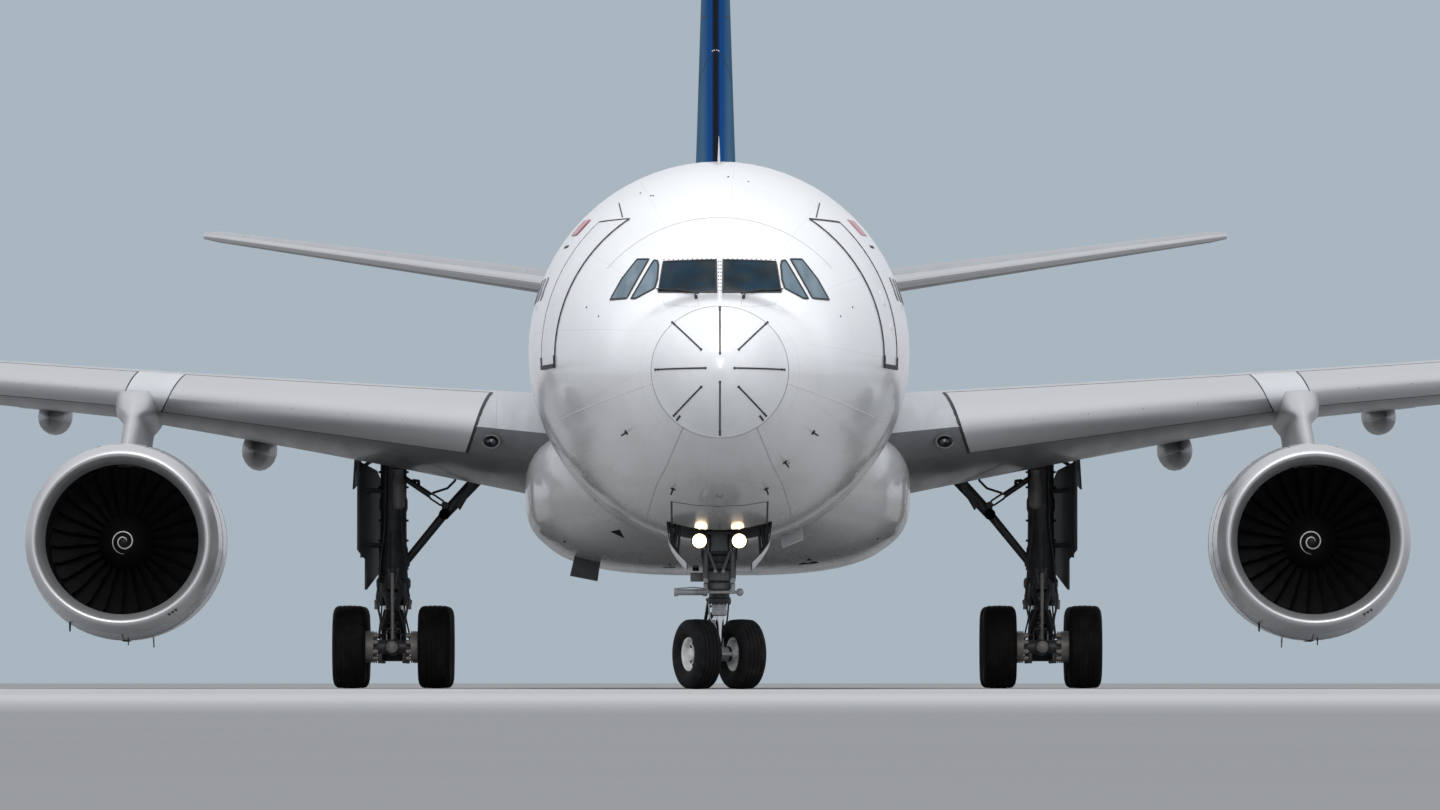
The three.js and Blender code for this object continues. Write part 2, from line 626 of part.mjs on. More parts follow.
function makeFin() {
  const whole = loft(FIN.map((row) => finRing(row, 0)));
  const [foot] = RUDDER_LEVELS;
  const [lowZ, highZ] = [FIN[1][0], FIN[2][0]];
  const [low, high] = [lowZ, highZ].map(finPoint);
  const onLine = (z) => low.hinge.clone().lerp(high.hinge, (z - lowZ) / (highZ - lowZ));
  const half = (z) => mix(finPoint(foot).half, high.half, (z - foot) / (highZ - foot));
  const radii = RUDDER_HINGE.map((z) => half(z) - RUDDER_NOSE_INSET);
  const [from, to] = RUDDER_HINGE.map(onLine);
  const side = at(-1, 0, 0);
  const surface = splitSurface(whole, from, to, radii, side, ...RUDDER_ROOM, RUDDER_TRAVEL, RUDDER_LEVELS);
  const split = pinned(surface, [RUDDER_PIN.map(onLine)]);
  return { fin: split.fixed, rudder: split.moving };
}

// Tailplane: both halves on one pivot shaft, with an elevator behind each
const ELEVATOR_SHARE = 0.7;
const ELEVATOR_TRAVEL = 30;
const ELEVATOR_X = [1.75, 9.1];
const ELEVATOR_ROOM = [2.4, 1.0];

function makeTailplane() {
  const rows = [sectionAt(TAILPLANE, TAIL_FLAT_X + CLEAR), ...TAILPLANE.slice(1)];
  const half = loft(rows.map((row) => wingRing(row, 0, 0)));
  const [from, to] = ELEVATOR_X.map((x) => middlePoint(TAILPLANE, x, ELEVATOR_SHARE, 0));
  const radii = ELEVATOR_X.map((x) => halfAt(TAILPLANE, x, ELEVATOR_SHARE) - NOSE_INSET);
  const surface = splitSurface(half, from, to, radii, UP, ...ELEVATOR_ROOM, ELEVATOR_TRAVEL);
  const split = pinned(surface, throughPin(from, to));
  const shaft = bar(at(-1.6, tailPivot.y, tailPivot.z), at(1.6, tailPivot.y, tailPivot.z), TAIL_PIVOT_R);
  return { tailplane: bothSides(split.fixed).add(shaft), elevator: split.moving };
}

// Engine: profiles as [radius, station]
const AFT = at(0, 1, 0);
const ENGINE_CENTRE = at(ENGINE_X, 0, ENGINE_Z);
const ENGINE_SIDES = 28;
const FAN_BLADES = 20;
const FAN_TIP_R = 1.19;
const HUB_R = 0.42;
const LIP_END = 19.95;
const LIP = [
  [1.205, LIP_END], [1.24, 19.68], [1.3, 19.48], [1.365, 19.4], [1.46, 19.5], [1.555, LIP_END],
];
const COWL = [
  [1.205, LIP_END + SEAT], [1.235, 20.8], [1.235, 21.6], [1.2, 24.2], [1.03, 26.4],
  [1.06, 26.4], [1.24, 25.6], [1.44, 24.3], [1.56, 22.8], [1.6, 21.6], [1.59, 20.7], [1.555, LIP_END + SEAT],
];
const CORE = [
  [0, 21.45], [0.45, 21.45], [0.78, 22.3], [0.86, 23.4], [0.78, 24.8], [0.6, 25.9],
  [0.42, 26.0], [0.24, 26.9], [0, 27.2],
];
const VANES = 9;

function makePylon(grow) {
  // height at the front and rear, front and rear station, half width
  const levels = [
    [3.62, 3.2, 20.9, 26.3, 0.2],
    [3.95, 3.7, 21.6, 28.0, 0.205],
    [4.4, 4.1, 23.2, 29.0, 0.24],
    [4.8, 4.5, 23.9, 28.6, 0.34],
  ];
  // share of the length, share of the half width
  const across = [[0, 0.05], [0.08, 0.7], [0.3, 1], [0.7, 0.8], [1, 0.08]];
  return loft(levels.map(([zFront, zRear, front, rear, half], level) => {
    const point = (side) => ([t, w]) => at(
      ENGINE_X + side * (w * half + grow),
      mix(front - 4 * grow, rear + 4 * grow, t),
      mix(zFront, zRear, t) - (level ? 0 : grow),
    );
    return [...across.map(point(1)), ...across.toReversed().map(point(-1))];
  }));
}

function makeFanBlade(angle) {
  // radius, stagger angle, half chord, half thickness
  const sections = [[0.36, 28, 0.14, 0.02], [FAN_TIP_R, 62, 0.22, 0.01]];
  const turn = new THREE.Matrix4().makeRotationY(angle);
  return loft(sections.map(([radius, stagger, half, thick]) => {
    const chord = at(Math.sin(deg(stagger)), Math.cos(deg(stagger)), 0);
    const across = at(Math.cos(deg(stagger)), -Math.sin(deg(stagger)), 0);
    return [[-1, 0], [0, 1], [1, 0], [0, -1]].map(([u, w]) =>
      at(0, 21.17, radius).addScaledVector(chord, u * half).addScaledVector(across, w * thick)
        .applyMatrix4(turn).add(ENGINE_CENTRE));
  }));
}

function makeFan() {
  const hub = turned(
    [[0, 20.4], [0.2, 20.58], [HUB_R, 21.0], [0.44, 21.45 - SEAT], [0, 21.45 - SEAT]], AFT, ENGINE_CENTRE, 20,
  );
  const blades = Array.from({ length: FAN_BLADES }, (_, i) => makeFanBlade((2 * Math.PI * i) / FAN_BLADES));
  return join(hub, ...blades);
}

function makeCore() {
  const body = turned(CORE, AFT, ENGINE_CENTRE, 20);
  const vanes = Array.from({ length: VANES }, (_, i) => {
    const vane = new THREE.BoxGeometry(0.035, 0.45, 0.6).translate(0, 22.3, 0.94);
    vane.rotateY((2 * Math.PI * (i + 0.5)) / VANES);
    return solid(vane.translate(ENGINE_X, 0, ENGINE_Z));
  });
  const duct = turned(
    [[0, 21.6], [1.235 - SEAT, 21.6], [1.2 - SEAT, 24.2], [0, 24.2]], AFT, ENGINE_CENTRE, ENGINE_SIDES,
  );
  return body.add(join(...vanes).intersect(duct));
}

function makeNacelle() {
  const cowl = turned(COWL, AFT, ENGINE_CENTRE, ENGINE_SIDES);
  return cowl.subtract(makePylon(SEAT));
}

// Wheels: a pair of rims on one axle, and their tyres, turned about x from the pair's centre
const ACROSS = at(1, 0, 0);
// half width, outer radius and bead radius
const NOSE_TYRE = { half: 0.2, outer: NOSE_WHEEL_R, bead: 0.235 };
const MAIN_TYRE = { half: 0.272, outer: MAIN_WHEEL_R, bead: 0.315 };

const makeTyre = ({ half, outer, bead }, x) => turned([
  [bead, -half * 0.72], [mix(bead, outer, 0.6), -half], [outer, -half * 0.6],
  [outer, half * 0.6], [mix(bead, outer, 0.6), half], [bead, half * 0.72],
], ACROSS, at(x, 0, 0));

function makeRims({ half, bead }, spread, axleR) {
  const r = bead - SEAT;
  const rim = (side) => turned([
    [0, -side * half * 0.4], [r, -side * half * 0.72], [r, side * half * 0.72], [0, side * half * 0.4],
  ], ACROSS, at(side * spread, 0, 0));
  return join(rim(1), rim(-1), bar(at(-spread, 0, 0), at(spread, 0, 0), axleR));
}

const NOSE_AXLE_R = 0.06;
const MAIN_AXLE_R = 0.085;

// Nose gear. Its steered parts are drawn straight ahead, and their group is turned.
const NOSE_COLLAR_Z = 1.42;
const NOSE_LEG_R = 0.165;

function makeNoseLeg() {
  const y = NOSE_GEAR_STATION;
  return join(
    bar(at(0, y, NOSE_COLLAR_Z), at(0, y, BAY_ROOF - SEAT), NOSE_LEG_R),
    bar(at(0, y, NOSE_COLLAR_Z + 0.02), at(0, y, NOSE_COLLAR_Z + 0.14), 0.23),
    bar(at(0, y, 1.74), at(0, y, 1.84), 0.23),
    bar(at(-BAY_HALF + SEAT, y, 3.1), at(BAY_HALF - SEAT, y, 3.1), 0.1),
    bar(at(-0.52, y - 0.1, 1.66), at(0.2, y - 0.1, 1.66), 0.06),
    bar(at(0.12, y - 0.24, 1.62), at(0.36, y - 0.24, 1.62), 0.06),
    block(at(-0.24, y - 0.3, 1.56), at(0.24, y + 0.1, 1.74)),
  );
}

// The folding stay ahead of the leg
function makeNoseStay() {
  const y = NOSE_GEAR_STATION;
  return join(
    bar(at(0.13, y - 0.27, 2.0), at(0.5, y - 1.05, 3.35), 0.06),
    bar(at(-0.13, y - 0.27, 2.0), at(-0.5, y - 1.05, 3.35), 0.06),
    bar(at(-0.2, y - 0.27, 2.0), at(0.2, y - 0.27, 2.0), 0.075),
    bar(at(-BAY_HALF + SEAT, y - 1.05, 3.35), at(BAY_HALF - SEAT, y - 1.05, 3.35), 0.07),
    block(at(-0.09, y - 0.3, 1.93), at(0.09, y - NOSE_LEG_R * BAR_FLAT - SEAT, 2.07)),
  );
}

function makeNoseLamps() {
  const y = NOSE_GEAR_STATION - 0.74;
  const lamp = (x, z, r) => turned([[0, 0.16], [r, 0.06], [r, 0], [0, 0]], AFT, at(x, y, z), 12);
  return join(
    block(at(-0.31, y + 0.04, 2.1), at(-0.25, y + 0.11, 2.42)),
    block(at(0.25, y + 0.04, 2.1), at(0.31, y + 0.11, 2.42)),
    block(at(-0.31, y + 0.05, 2.24), at(0.31, y + 0.11, 2.3)),
    lamp(-0.28, 2.14, 0.115), lamp(0.28, 2.14, 0.115), lamp(-0.28, 2.38, 0.075), lamp(0.28, 2.38, 0.075),
    block(at(-0.04, y + 0.1, 2.24), at(0.04, NOSE_GEAR_STATION - NOSE_LEG_R * BAR_FLAT - SEAT, 2.3)),
  );
}

// The piston, axle housing and torque links, about the steering axis at the origin of the station
function makeNosePiston() {
  const housing = bar(at(-0.16, 0, NOSE_AXLE_Z), at(0.16, 0, NOSE_AXLE_Z), 0.115);
  const axleRoom = bore(at(-0.3, 0, NOSE_AXLE_Z), at(0.3, 0, NOSE_AXLE_Z), NOSE_AXLE_R);
  const column = bar(at(0, 0, NOSE_AXLE_Z), at(0, 0, NOSE_COLLAR_Z - SEAT), 0.1);
  const collar = bar(at(0, 0, 1.18), at(0, 0, NOSE_COLLAR_Z - SEAT), 0.15);
  const link = (from, to) => bar(from, to, 0.05, 0.035, 8);
  return join(
    housing, column, collar,
    link(at(0, 0.1, 1.3), at(0, 0.42, 0.98)), link(at(0, 0.06, 0.66), at(0, 0.42, 0.98)),
    bar(at(-0.12, 0.42, 0.98), at(0.12, 0.42, 0.98), 0.035, undefined, 8),
    bar(at(-0.1, -0.2, NOSE_AXLE_Z), at(0.1, -0.2, NOSE_AXLE_Z), 0.03, undefined, 8),
    block(at(-0.05, -0.22, NOSE_AXLE_Z - 0.04), at(0.05, -0.05, NOSE_AXLE_Z + 0.04)),
  ).subtract(axleRoom);
}

// A rear nose-gear door, hanging open from the edge of the bay, port side
const NOSE_DOOR = [
  [BAY_HALF - SEAT, 2.5], [BAY_HALF - SEAT, 2.3], [0.735, 2.1], [0.64, 1.9], [0.47, 1.72],
  [0.46, 1.76], [0.605, 1.93], [0.69, 2.12], [0.715, 2.5],
];
const makeNoseDoor = () => plate(NOSE_DOOR, "y", 5.75, 7.35);

// Main gear, port side
const LEG_STATION = MAIN_GEAR_STATION - 0.28;
const LEG_R = 0.235;
const BEAM_R = 0.14;
const STAY_FOOT = at(5.12, LEG_STATION, 2.1);
const STAY_HEAD = at(4.05, LEG_STATION - 0.1, 3.62);

function makeBeam() {
  const axlePoint = (x, d) => at(MAIN_GEAR_X + x, MAIN_GEAR_STATION + d, MAIN_AXLE_Z);
  const across = (d, half, radius, shape = bar) => shape(axlePoint(-half, d), axlePoint(half, d), radius);
  const brake = (d, side) => bar(axlePoint(side * 0.3, d), axlePoint(side * 0.49, d), 0.245);
  const spine = bar(axlePoint(0, -BOGIE_HALF), axlePoint(0, BOGIE_HALF), BEAM_R);
  const ends = [-BOGIE_HALF, BOGIE_HALF];
  const axles = ends.flatMap((d) => [across(d, 0.5, 0.13), brake(d, 1), brake(d, -1)]);
  const rooms = ends.map((d) => across(d, 0.6, MAIN_AXLE_R, bore));
  return join(spine, ...axles).subtract(join(...rooms));
}

function makeLeg(grow = 0) {
  const x = MAIN_GEAR_X;
  const y = LEG_STATION;
  const parts = [
    bar(at(x, y, 1.72), at(x, y, 4.0), LEG_R + grow),
    bar(at(x, y, 1.66), at(x, y, 1.8), LEG_R + 0.05 + grow),
  ];
  if (grow) return join(...parts);
  return join(
    ...parts,
    bar(at(x, MAIN_GEAR_STATION - 0.1, MAIN_AXLE_Z), at(x, y, 1.7), 0.17),
    bar(at(x - 0.2, MAIN_GEAR_STATION, MAIN_AXLE_Z), at(x + 0.2, MAIN_GEAR_STATION, MAIN_AXLE_Z), 0.24),
    bar(at(x, y - 0.15, 1.7), at(x, y - 0.55, 1.3), 0.06, 0.05, 8),
    bar(at(x, MAIN_GEAR_STATION - 0.25, 0.95), at(x, y - 0.55, 1.3), 0.06, 0.05, 8),
    bar(at(x - 0.15, y - 0.55, 1.3), at(x + 0.15, y - 0.55, 1.3), 0.045, undefined, 8),
    block(at(x - 0.42, y - 0.16, 2.8), at(x - 0.1, y + 0.16, 3.4)),
    block(at(x - 0.36, y - 0.1, 2.0), at(x, y + 0.1, 2.22)),
  ).subtract(bar(
    at(x, MAIN_GEAR_STATION - 1.5, MAIN_AXLE_Z), at(x, MAIN_GEAR_STATION + 1.5, MAIN_AXLE_Z), BEAM_R + SEAT,
  ));
}

function makeSideStay() {
  const elbow = STAY_FOOT.clone().lerp(STAY_HEAD, 0.62);
  return join(
    bar(at(STAY_FOOT.x - 0.2, STAY_FOOT.y, STAY_FOOT.z + 0.284), STAY_HEAD, 0.1, 0.13),
    bar(elbow, at(MAIN_GEAR_X - 0.6, LEG_STATION, 3.72), 0.06, 0.05, 8),
    bar(at(4.3, LEG_STATION, 3.02), at(4.62, LEG_STATION, 3.72), 0.035, undefined, 8),
  );
}

const makeLegDoor = () => {
  // seen from the side: station and height, slanting from the front outer edge to the leg
  const outline = [
    [27.75, 3.9], [27.75, 2.1], [28.1, 1.62], [28.8, 2.02],
    [29.1, 2.5], [29.1, 3.0], [28.8, 3.3], [28.8, 3.9],
  ];
  const slant = new THREE.Matrix4().makeShear(0, 0, -0.16, 0, 0, 0);
  const panel = plate(outline, "x", 0, 0.055);
  const held = geometryOf(panel).applyMatrix4(slant).translate(5.95 + 0.16 * 27.75, 0, 0);
  const y = LEG_STATION;
  return join(
    solid(held),
    block(at(MAIN_GEAR_X + LEG_R + SEAT, y - 0.06, 3.2), at(5.86, y + 0.06, 3.32)),
    block(at(MAIN_GEAR_X + LEG_R + SEAT, y - 0.06, 2.3), at(5.86, y + 0.06, 2.42)),
  );
};

// Assembly
const model = new THREE.Group();
model.scale.setScalar(1000 * SCALE);
model.position.y = (-LENGTH / 2) * 1000 * SCALE;

function place(name, made, material, group = model) {
  const mesh = new THREE.Mesh(geometryOf(made), material);
  mesh.name = name;
  group.add(mesh);
  return mesh;
}

const starboard = new THREE.Group();
starboard.scale.x = -1;
model.add(starboard);

function placePair(name, made, material) {
  place(name + "_left", made, material);
  place(name + "_right", made, material, starboard);
}

const { wing, ...surfaces } = makeWing();
const { fin, rudder } = makeFin();
const { tailplane, elevator } = makeTailplane();
const legRoom = makeLeg(SEAT);
const pads = bar(at(7.0, 26.6, 4.3), at(7.0, 26.6, 3.82), PAD_R);

place("fuselage", makeFuselage(), WHITE_PAINT);
place("radome", makeRadome(), WHITE_PAINT);
place("cockpit_glazing", makeGlazing(), DARK_GLASS);
place("belly_fairing", makeBelly(), GREY_PAINT);
for (const [name, row] of Object.entries(CARGO_DOORS)) place(name, makeCargoDoor(row), WHITE_PAINT);
place("fin", fin, BLUE_PAINT);
place("rudder", rudder, BLUE_PAINT);
place("tailplane", tailplane, GREY_PAINT);
placePair("elevator", elevator, GREY_PAINT);

placePair("wing", wing.add(pads).subtract(legRoom), GREY_PAINT);
for (const [name, made] of Object.entries(surfaces)) placePair(name, made, GREY_PAINT);

placePair("intake_lip", turned(LIP, AFT, ENGINE_CENTRE, ENGINE_SIDES), BARE_METAL);
placePair("nacelle", makeNacelle(), GREY_PAINT);
placePair("fan", makeFan(), DARK_METAL);
placePair("engine_core", makeCore(), DARK_METAL);
placePair("pylon", makePylon(0).subtract(wingRoom), GREY_PAINT);

place("nose_leg", makeNoseLeg(), GEAR_METAL);
place("nose_stay", makeNoseStay(), GEAR_METAL);
place("nose_lamps", makeNoseLamps(), GEAR_METAL);
placePair("nose_gear_door", makeNoseDoor(), WHITE_PAINT);

const steered = new THREE.Group();
steered.position.y = NOSE_GEAR_STATION;
steered.rotation.z = deg(NOSE_STEER_REST_DEG);
model.add(steered);
place("nose_piston", makeNosePiston(), GEAR_METAL, steered);
const noseAxle = new THREE.Group();
noseAxle.position.z = NOSE_AXLE_Z;
steered.add(noseAxle);
place("nose_wheels", makeRims(NOSE_TYRE, NOSE_WHEEL_SPREAD, NOSE_AXLE_R), WHEEL_PAINT, noseAxle);
place("nose_tyre_left", makeTyre(NOSE_TYRE, NOSE_WHEEL_SPREAD), TYRE_RUBBER, noseAxle);
place("nose_tyre_right", makeTyre(NOSE_TYRE, -NOSE_WHEEL_SPREAD), TYRE_RUBBER, noseAxle);

placePair("main_leg", makeLeg(), GEAR_METAL);
placePair("side_stay", makeSideStay().subtract(legRoom).subtract(wingRoom), GEAR_METAL);
placePair("bogie_beam", makeBeam(), GEAR_METAL);
placePair("leg_door", makeLegDoor().subtract(wingRoom), WHITE_PAINT);

for (const [side, sign] of [["left", 1], ["right", -1]]) {
  for (const [end, offset] of [["front", -BOGIE_HALF], ["rear", BOGIE_HALF]]) {
    const axle = new THREE.Group();
    axle.position.set(sign * MAIN_GEAR_X, MAIN_GEAR_STATION + offset, MAIN_AXLE_Z);
    model.add(axle);
    const rims = makeRims(MAIN_TYRE, MAIN_WHEEL_SPREAD, MAIN_AXLE_R);
    const outer = makeTyre(MAIN_TYRE, sign * MAIN_WHEEL_SPREAD);
    const inner = makeTyre(MAIN_TYRE, -sign * MAIN_WHEEL_SPREAD);
    place(`main_wheels_${end}_${side}`, rims, WHEEL_PAINT, axle);
    place(`main_tyre_${end}_outer_${side}`, outer, TYRE_RUBBER, axle);
    place(`main_tyre_${end}_inner_${side}`, inner, TYRE_RUBBER, axle);
  }
}

export default model;
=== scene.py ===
"""Looks of a wide-body twin-engined airliner on its landing gear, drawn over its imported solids.

Shapes are drawn at full size in metres, as x sideways, station aft of the nose tip and height above the
ground, and each finished piece is brought to the 1:2 model's frame.
"""
import math

import bmesh
import bpy
from bpy.props import FloatProperty, FloatVectorProperty, IntProperty, PointerProperty
from mathutils import Matrix, Vector


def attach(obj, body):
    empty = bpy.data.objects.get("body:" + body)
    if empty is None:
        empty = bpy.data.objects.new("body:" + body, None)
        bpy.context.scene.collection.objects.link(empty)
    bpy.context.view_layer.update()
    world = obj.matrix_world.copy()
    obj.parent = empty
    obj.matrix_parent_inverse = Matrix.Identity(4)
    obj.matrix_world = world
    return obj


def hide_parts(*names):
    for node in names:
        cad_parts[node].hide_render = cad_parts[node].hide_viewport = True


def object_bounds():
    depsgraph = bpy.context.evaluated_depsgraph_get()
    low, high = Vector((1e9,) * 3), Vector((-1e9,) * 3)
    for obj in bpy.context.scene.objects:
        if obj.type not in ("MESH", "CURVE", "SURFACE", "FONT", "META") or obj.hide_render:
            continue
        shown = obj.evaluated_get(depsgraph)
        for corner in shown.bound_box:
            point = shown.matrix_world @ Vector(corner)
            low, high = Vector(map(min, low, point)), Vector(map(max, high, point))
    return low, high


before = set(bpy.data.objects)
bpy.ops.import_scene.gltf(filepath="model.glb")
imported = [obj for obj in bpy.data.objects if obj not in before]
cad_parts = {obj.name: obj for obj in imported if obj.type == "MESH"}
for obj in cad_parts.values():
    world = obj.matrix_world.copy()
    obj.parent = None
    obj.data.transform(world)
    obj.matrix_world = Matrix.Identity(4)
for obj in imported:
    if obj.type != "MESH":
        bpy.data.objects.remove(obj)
CAD_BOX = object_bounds()

bl_info = {
    "name": "Airliner looks",
    "version": (1, 0, 0),
    "blender": (4, 5, 0),
    "location": "View3D > Sidebar > Airliner",
    "description": "Dresses the solids of an airliner with skins, glass, gear details and finishes",
    "category": "Object",
}

MODEL_SCALE = 0.5
NOSE_TO_ORIGIN = -CAD_BOX[0].y / MODEL_SCALE
TO_MODEL = Matrix.Scale(MODEL_SCALE, 4) @ Matrix.Translation((0, -NOSE_TO_ORIGIN, 0))
AXIS_Z = 4.97
RADOME_STATION = 0.95
ENGINE_X, ENGINE_Z = 9.37, 2.32
SIDES = (("left", 1), ("right", -1))

# Fuselage: station, top, bottom, half width and height of the widest point, all from the axis
FUSELAGE = [
    (0.0, -0.5, -0.54, 0.02, -0.52), (0.05, -0.29, -0.75, 0.23, -0.52), (0.2, -0.08, -0.97, 0.46, -0.52),
    (0.5, 0.17, -1.22, 0.72, -0.51), (RADOME_STATION, 0.4, -1.45, 0.964, -0.5),
    (1.5, 0.54, -1.72, 1.27, -0.48), (2.05, 0.64, -1.95, 1.5, -0.45), (2.7, 1.12, -2.16, 1.74, -0.4),
    (3.4, 1.53, -2.34, 1.96, -0.34), (4.2, 1.89, -2.5, 2.18, -0.27), (5.2, 2.23, -2.64, 2.4, -0.19),
    (6.2, 2.48, -2.74, 2.57, -0.12), (7.4, 2.68, -2.8, 2.71, -0.05), (8.6, 2.79, -2.82, 2.79, 0),
    (9.8, 2.82, -2.82, 2.82, 0), (38.5, 2.82, -2.82, 2.82, 0), (42.0, 2.82, -2.45, 2.74, 0.15),
    (45.5, 2.8, -1.78, 2.46, 0.45), (49.0, 2.73, -1.02, 2.02, 0.8), (52.0, 2.62, -0.3, 1.57, 1.1),
    (55.0, 2.44, 0.48, 1.06, 1.4), (57.3, 2.26, 1.1, 0.63, 1.65), (58.4, 2.13, 1.45, 0.38, 1.78),
    (58.82, 2.07, 1.56, 0.27, 1.81),
]
# Wing and tailplane: x, leading-edge station and height, chord, thickness share, incidence and cant
WING = [
    (2.0, 19.69, 3.94, 10.98, 0.15, 4.6, 0), (9.9, 24.63, 4.82, 6.95, 0.112, 1.8, 0),
    (28.9, 36.5, 6.6, 2.65, 0.105, -0.5, 5), (29.5, 37.05, 6.92, 2.15, 0.095, 0, 45),
    (30.1, 38.9, 9.2, 0.82, 0.08, 0, 72),
]
WING_CAMBER = 0.015
TAILPLANE = [
    (0.0, 48.9, 6.97, 5.45, 0.11, -4, 0), (9.4, 55.15, 8.5, 2.15, 0.095, -4, 0),
    (9.7, 55.6, 8.55, 1.6, 0.08, -4, 0),
]
# Fin: height, leading-edge station, chord and thickness share
FIN = [(7.5, 44.86, 8.36, 0.102), (8.3, 45.9, 7.4, 0.107), (17.1, 54.3, 3.0, 0.097), (17.39, 54.85, 2.4, 0.075)]
# Belly fairing: station, half width, bottom and top height
BELLY = [
    (16.6, 1.7, 2.42, 3.4), (18.2, 2.62, 2.06, 4.0), (20.0, 2.98, 1.9, 4.3), (22.0, 3.06, 1.87, 4.35),
    (29.5, 3.06, 1.87, 4.35), (32.0, 2.86, 1.98, 4.2), (34.5, 2.2, 2.2, 3.8), (36.0, 1.5, 2.45, 3.4),
]


class AirlinerColours(bpy.types.PropertyGroup):
    """Base colours of the finishes"""

    def colour(label, red, green, blue):
        return FloatVectorProperty(
            name=label, description="Base colour of the " + label.lower(), subtype="COLOR", size=3,
            min=0.0, max=1.0, default=(red, green, blue),
        )

    skin: colour("Fuselage paint", 0.78, 0.79, 0.81)
    wing: colour("Wing paint", 0.42, 0.44, 0.46)
    cowl: colour("Engine cowl paint", 0.56, 0.58, 0.6)
    fin: colour("Fin paint", 0.012, 0.07, 0.24)
    door_patch: colour("Patch behind the door", 0.42, 0.07, 0.11)
    glass: colour("Cockpit glass", 0.012, 0.035, 0.045)
    metal: colour("Bare leading-edge metal", 0.62, 0.62, 0.63)
    gear: colour("Landing gear paint", 0.36, 0.375, 0.39)
    gear_dark: colour("Dark landing gear metal", 0.035, 0.036, 0.04)
    # Painted shade: the main gear is near-black, for the shade it stands in under the wing
    strut_in_shade: colour("Main gear paint", 0.06, 0.062, 0.067)
    rubber: colour("Tyre rubber", 0.008, 0.008, 0.009)
    rim: colour("Wheel rim paint", 0.78, 0.79, 0.78)
    lamp: colour("Lamp light", 1.0, 0.72, 0.42)
    floor: colour("Studio floor", 0.4, 0.405, 0.41)


class AirlinerSizes(bpy.types.PropertyGroup):
    """Sizes of the added details, at full size"""

    def length(label, text, default):
        return FloatProperty(name=label, description=text, default=default, min=0.001, unit="LENGTH")

    window_pitch: length("Window pitch", "Distance between two cabin windows", 0.533)
    window_width: length("Window width", "Width of a cabin window", 0.235)
    window_height: length("Window height", "Height of a cabin window", 0.345)
    seam: length("Seam width", "Width of the gap round a door", 0.03)
    proud: length("Patch height", "How far an added patch stands off the skin", 0.006)
    fan_blades: IntProperty(name="Fan blades", description="Number of blades in each fan", default=26, min=8)
    rim_bolts: IntProperty(name="Rim bolts", description="Number of bolts round each rim", default=12, min=4)


def colours():
    return bpy.context.scene.airliner_colours


def sizes():
    return bpy.context.scene.airliner_sizes


def mix(a, b, t):
    return a + (b - a) * t


def clamped(value, low=0.0, high=1.0):
    return max(low, min(high, value))


def turns(count, start=0.0):
    """Even angles round a circle"""
    return [math.tau * (i + start) / count for i in range(count)]


def full(x, station, z):
    """A point at full size: sideways, aft of the nose and above the ground"""
    return Vector((x, station, z))


# Tables of sections
def row_span(table, x):
    i = next((k for k, row in enumerate(table) if row[0] >= x), len(table) - 1)
    i = max(1, i)
    return i, (x - table[i - 1][0]) / (table[i][0] - table[i - 1][0])


def section_at(table, x):
    """A table's row at x, straight between its neighbours"""
    i, t = row_span(table, x)
    return [mix(a, b, t) for a, b in zip(table[i - 1], table[i])]


def row_slope(table, i, k):
    """The slope of column k at row i, eased so that the curve never overshoots a row"""
    rises = [
        (table[j + 1][k] - table[j][k]) / (table[j + 1][0] - table[j][0])
        for j in (i - 1, i)
        if 0 <= j < len(table) - 1
    ]
    if len(rises) == 1:
        return rises[0]
    return 0 if rises[0] * rises[1] <= 0 else 2 * rises[0] * rises[1] / (rises[0] + rises[1])


def eased_at(table, x):
    """A table's row at x, on a smooth curve through its rows"""
    i, t = row_span(table, x)
    a, b = table[i - 1], table[i]
    h = b[0] - a[0]
    row = [x]
    for k in range(1, len(a)):
        low, high = row_slope(table, i - 1, k) * h, row_slope(table, i, k) * h
        row.append(
            a[k] * (2 * t**3 - 3 * t**2 + 1) + low * (t**3 - 2 * t**2 + t)
            + b[k] * (3 * t**2 - 2 * t**3) + high * (t**3 - t**2)
        )
    return row


def steps(low, high, count):
    return [mix(low, high, i / count) for i in range(count + 1)]


# The fuselage's skin
def skin_point(station, angle, out=0.0):
    """A point of the skin at an angle from the port side, raised off it by a distance"""
    _, top, bottom, half, widest = eased_at(FUSELAGE, station)
    reach = (top - widest if math.sin(angle) > 0 else widest - bottom) + out
    return full((half + out) * math.cos(angle), station, AXIS_Z + widest + reach * math.sin(angle))


# Bodies of revolution, bars and boxes, drawn with bmesh operators
def loft(bm, rings, closed=True, caps=(True, True)):
    """A skin drawn ring by ring: each ring is extruded from the one before and moved to its place"""
    row = [bm.verts.new(p) for p in rings[0]]
    pairs = list(zip(row, row[1:] + row[:1])) if closed else list(zip(row, row[1:]))
    edges = [bm.edges.new(pair) for pair in pairs]
    if caps[0]:
        bm.faces.new(row)
    for ring in rings[1:]:
        made = bmesh.ops.extrude_edge_only(bm, edges=edges)["geom"]
        fresh = {v for v in made if isinstance(v, bmesh.types.BMVert)}
        row = [next(e.other_vert(v) for e in v.link_edges if e.other_vert(v) in fresh) for v in row]
        edges = [e for e in made if isinstance(e, bmesh.types.BMEdge) and set(e.verts) <= fresh]
        for v, p in zip(row, ring):
            v.co = p
    if caps[1]:
        bm.faces.new(row)
    return bm


def mirrored_copy(bm):
    """Adds the other side's copy of everything in a mesh"""
    geom = bm.verts[:] + bm.edges[:] + bm.faces[:]
    made = bmesh.ops.duplicate(bm, geom=geom)["geom"]
    verts = [v for v in made if isinstance(v, bmesh.types.BMVert)]
    bmesh.ops.scale(bm, vec=(-1, 1, 1), verts=verts)
    bmesh.ops.reverse_faces(bm, faces=[f for f in made if isinstance(f, bmesh.types.BMFace)])
    return bm


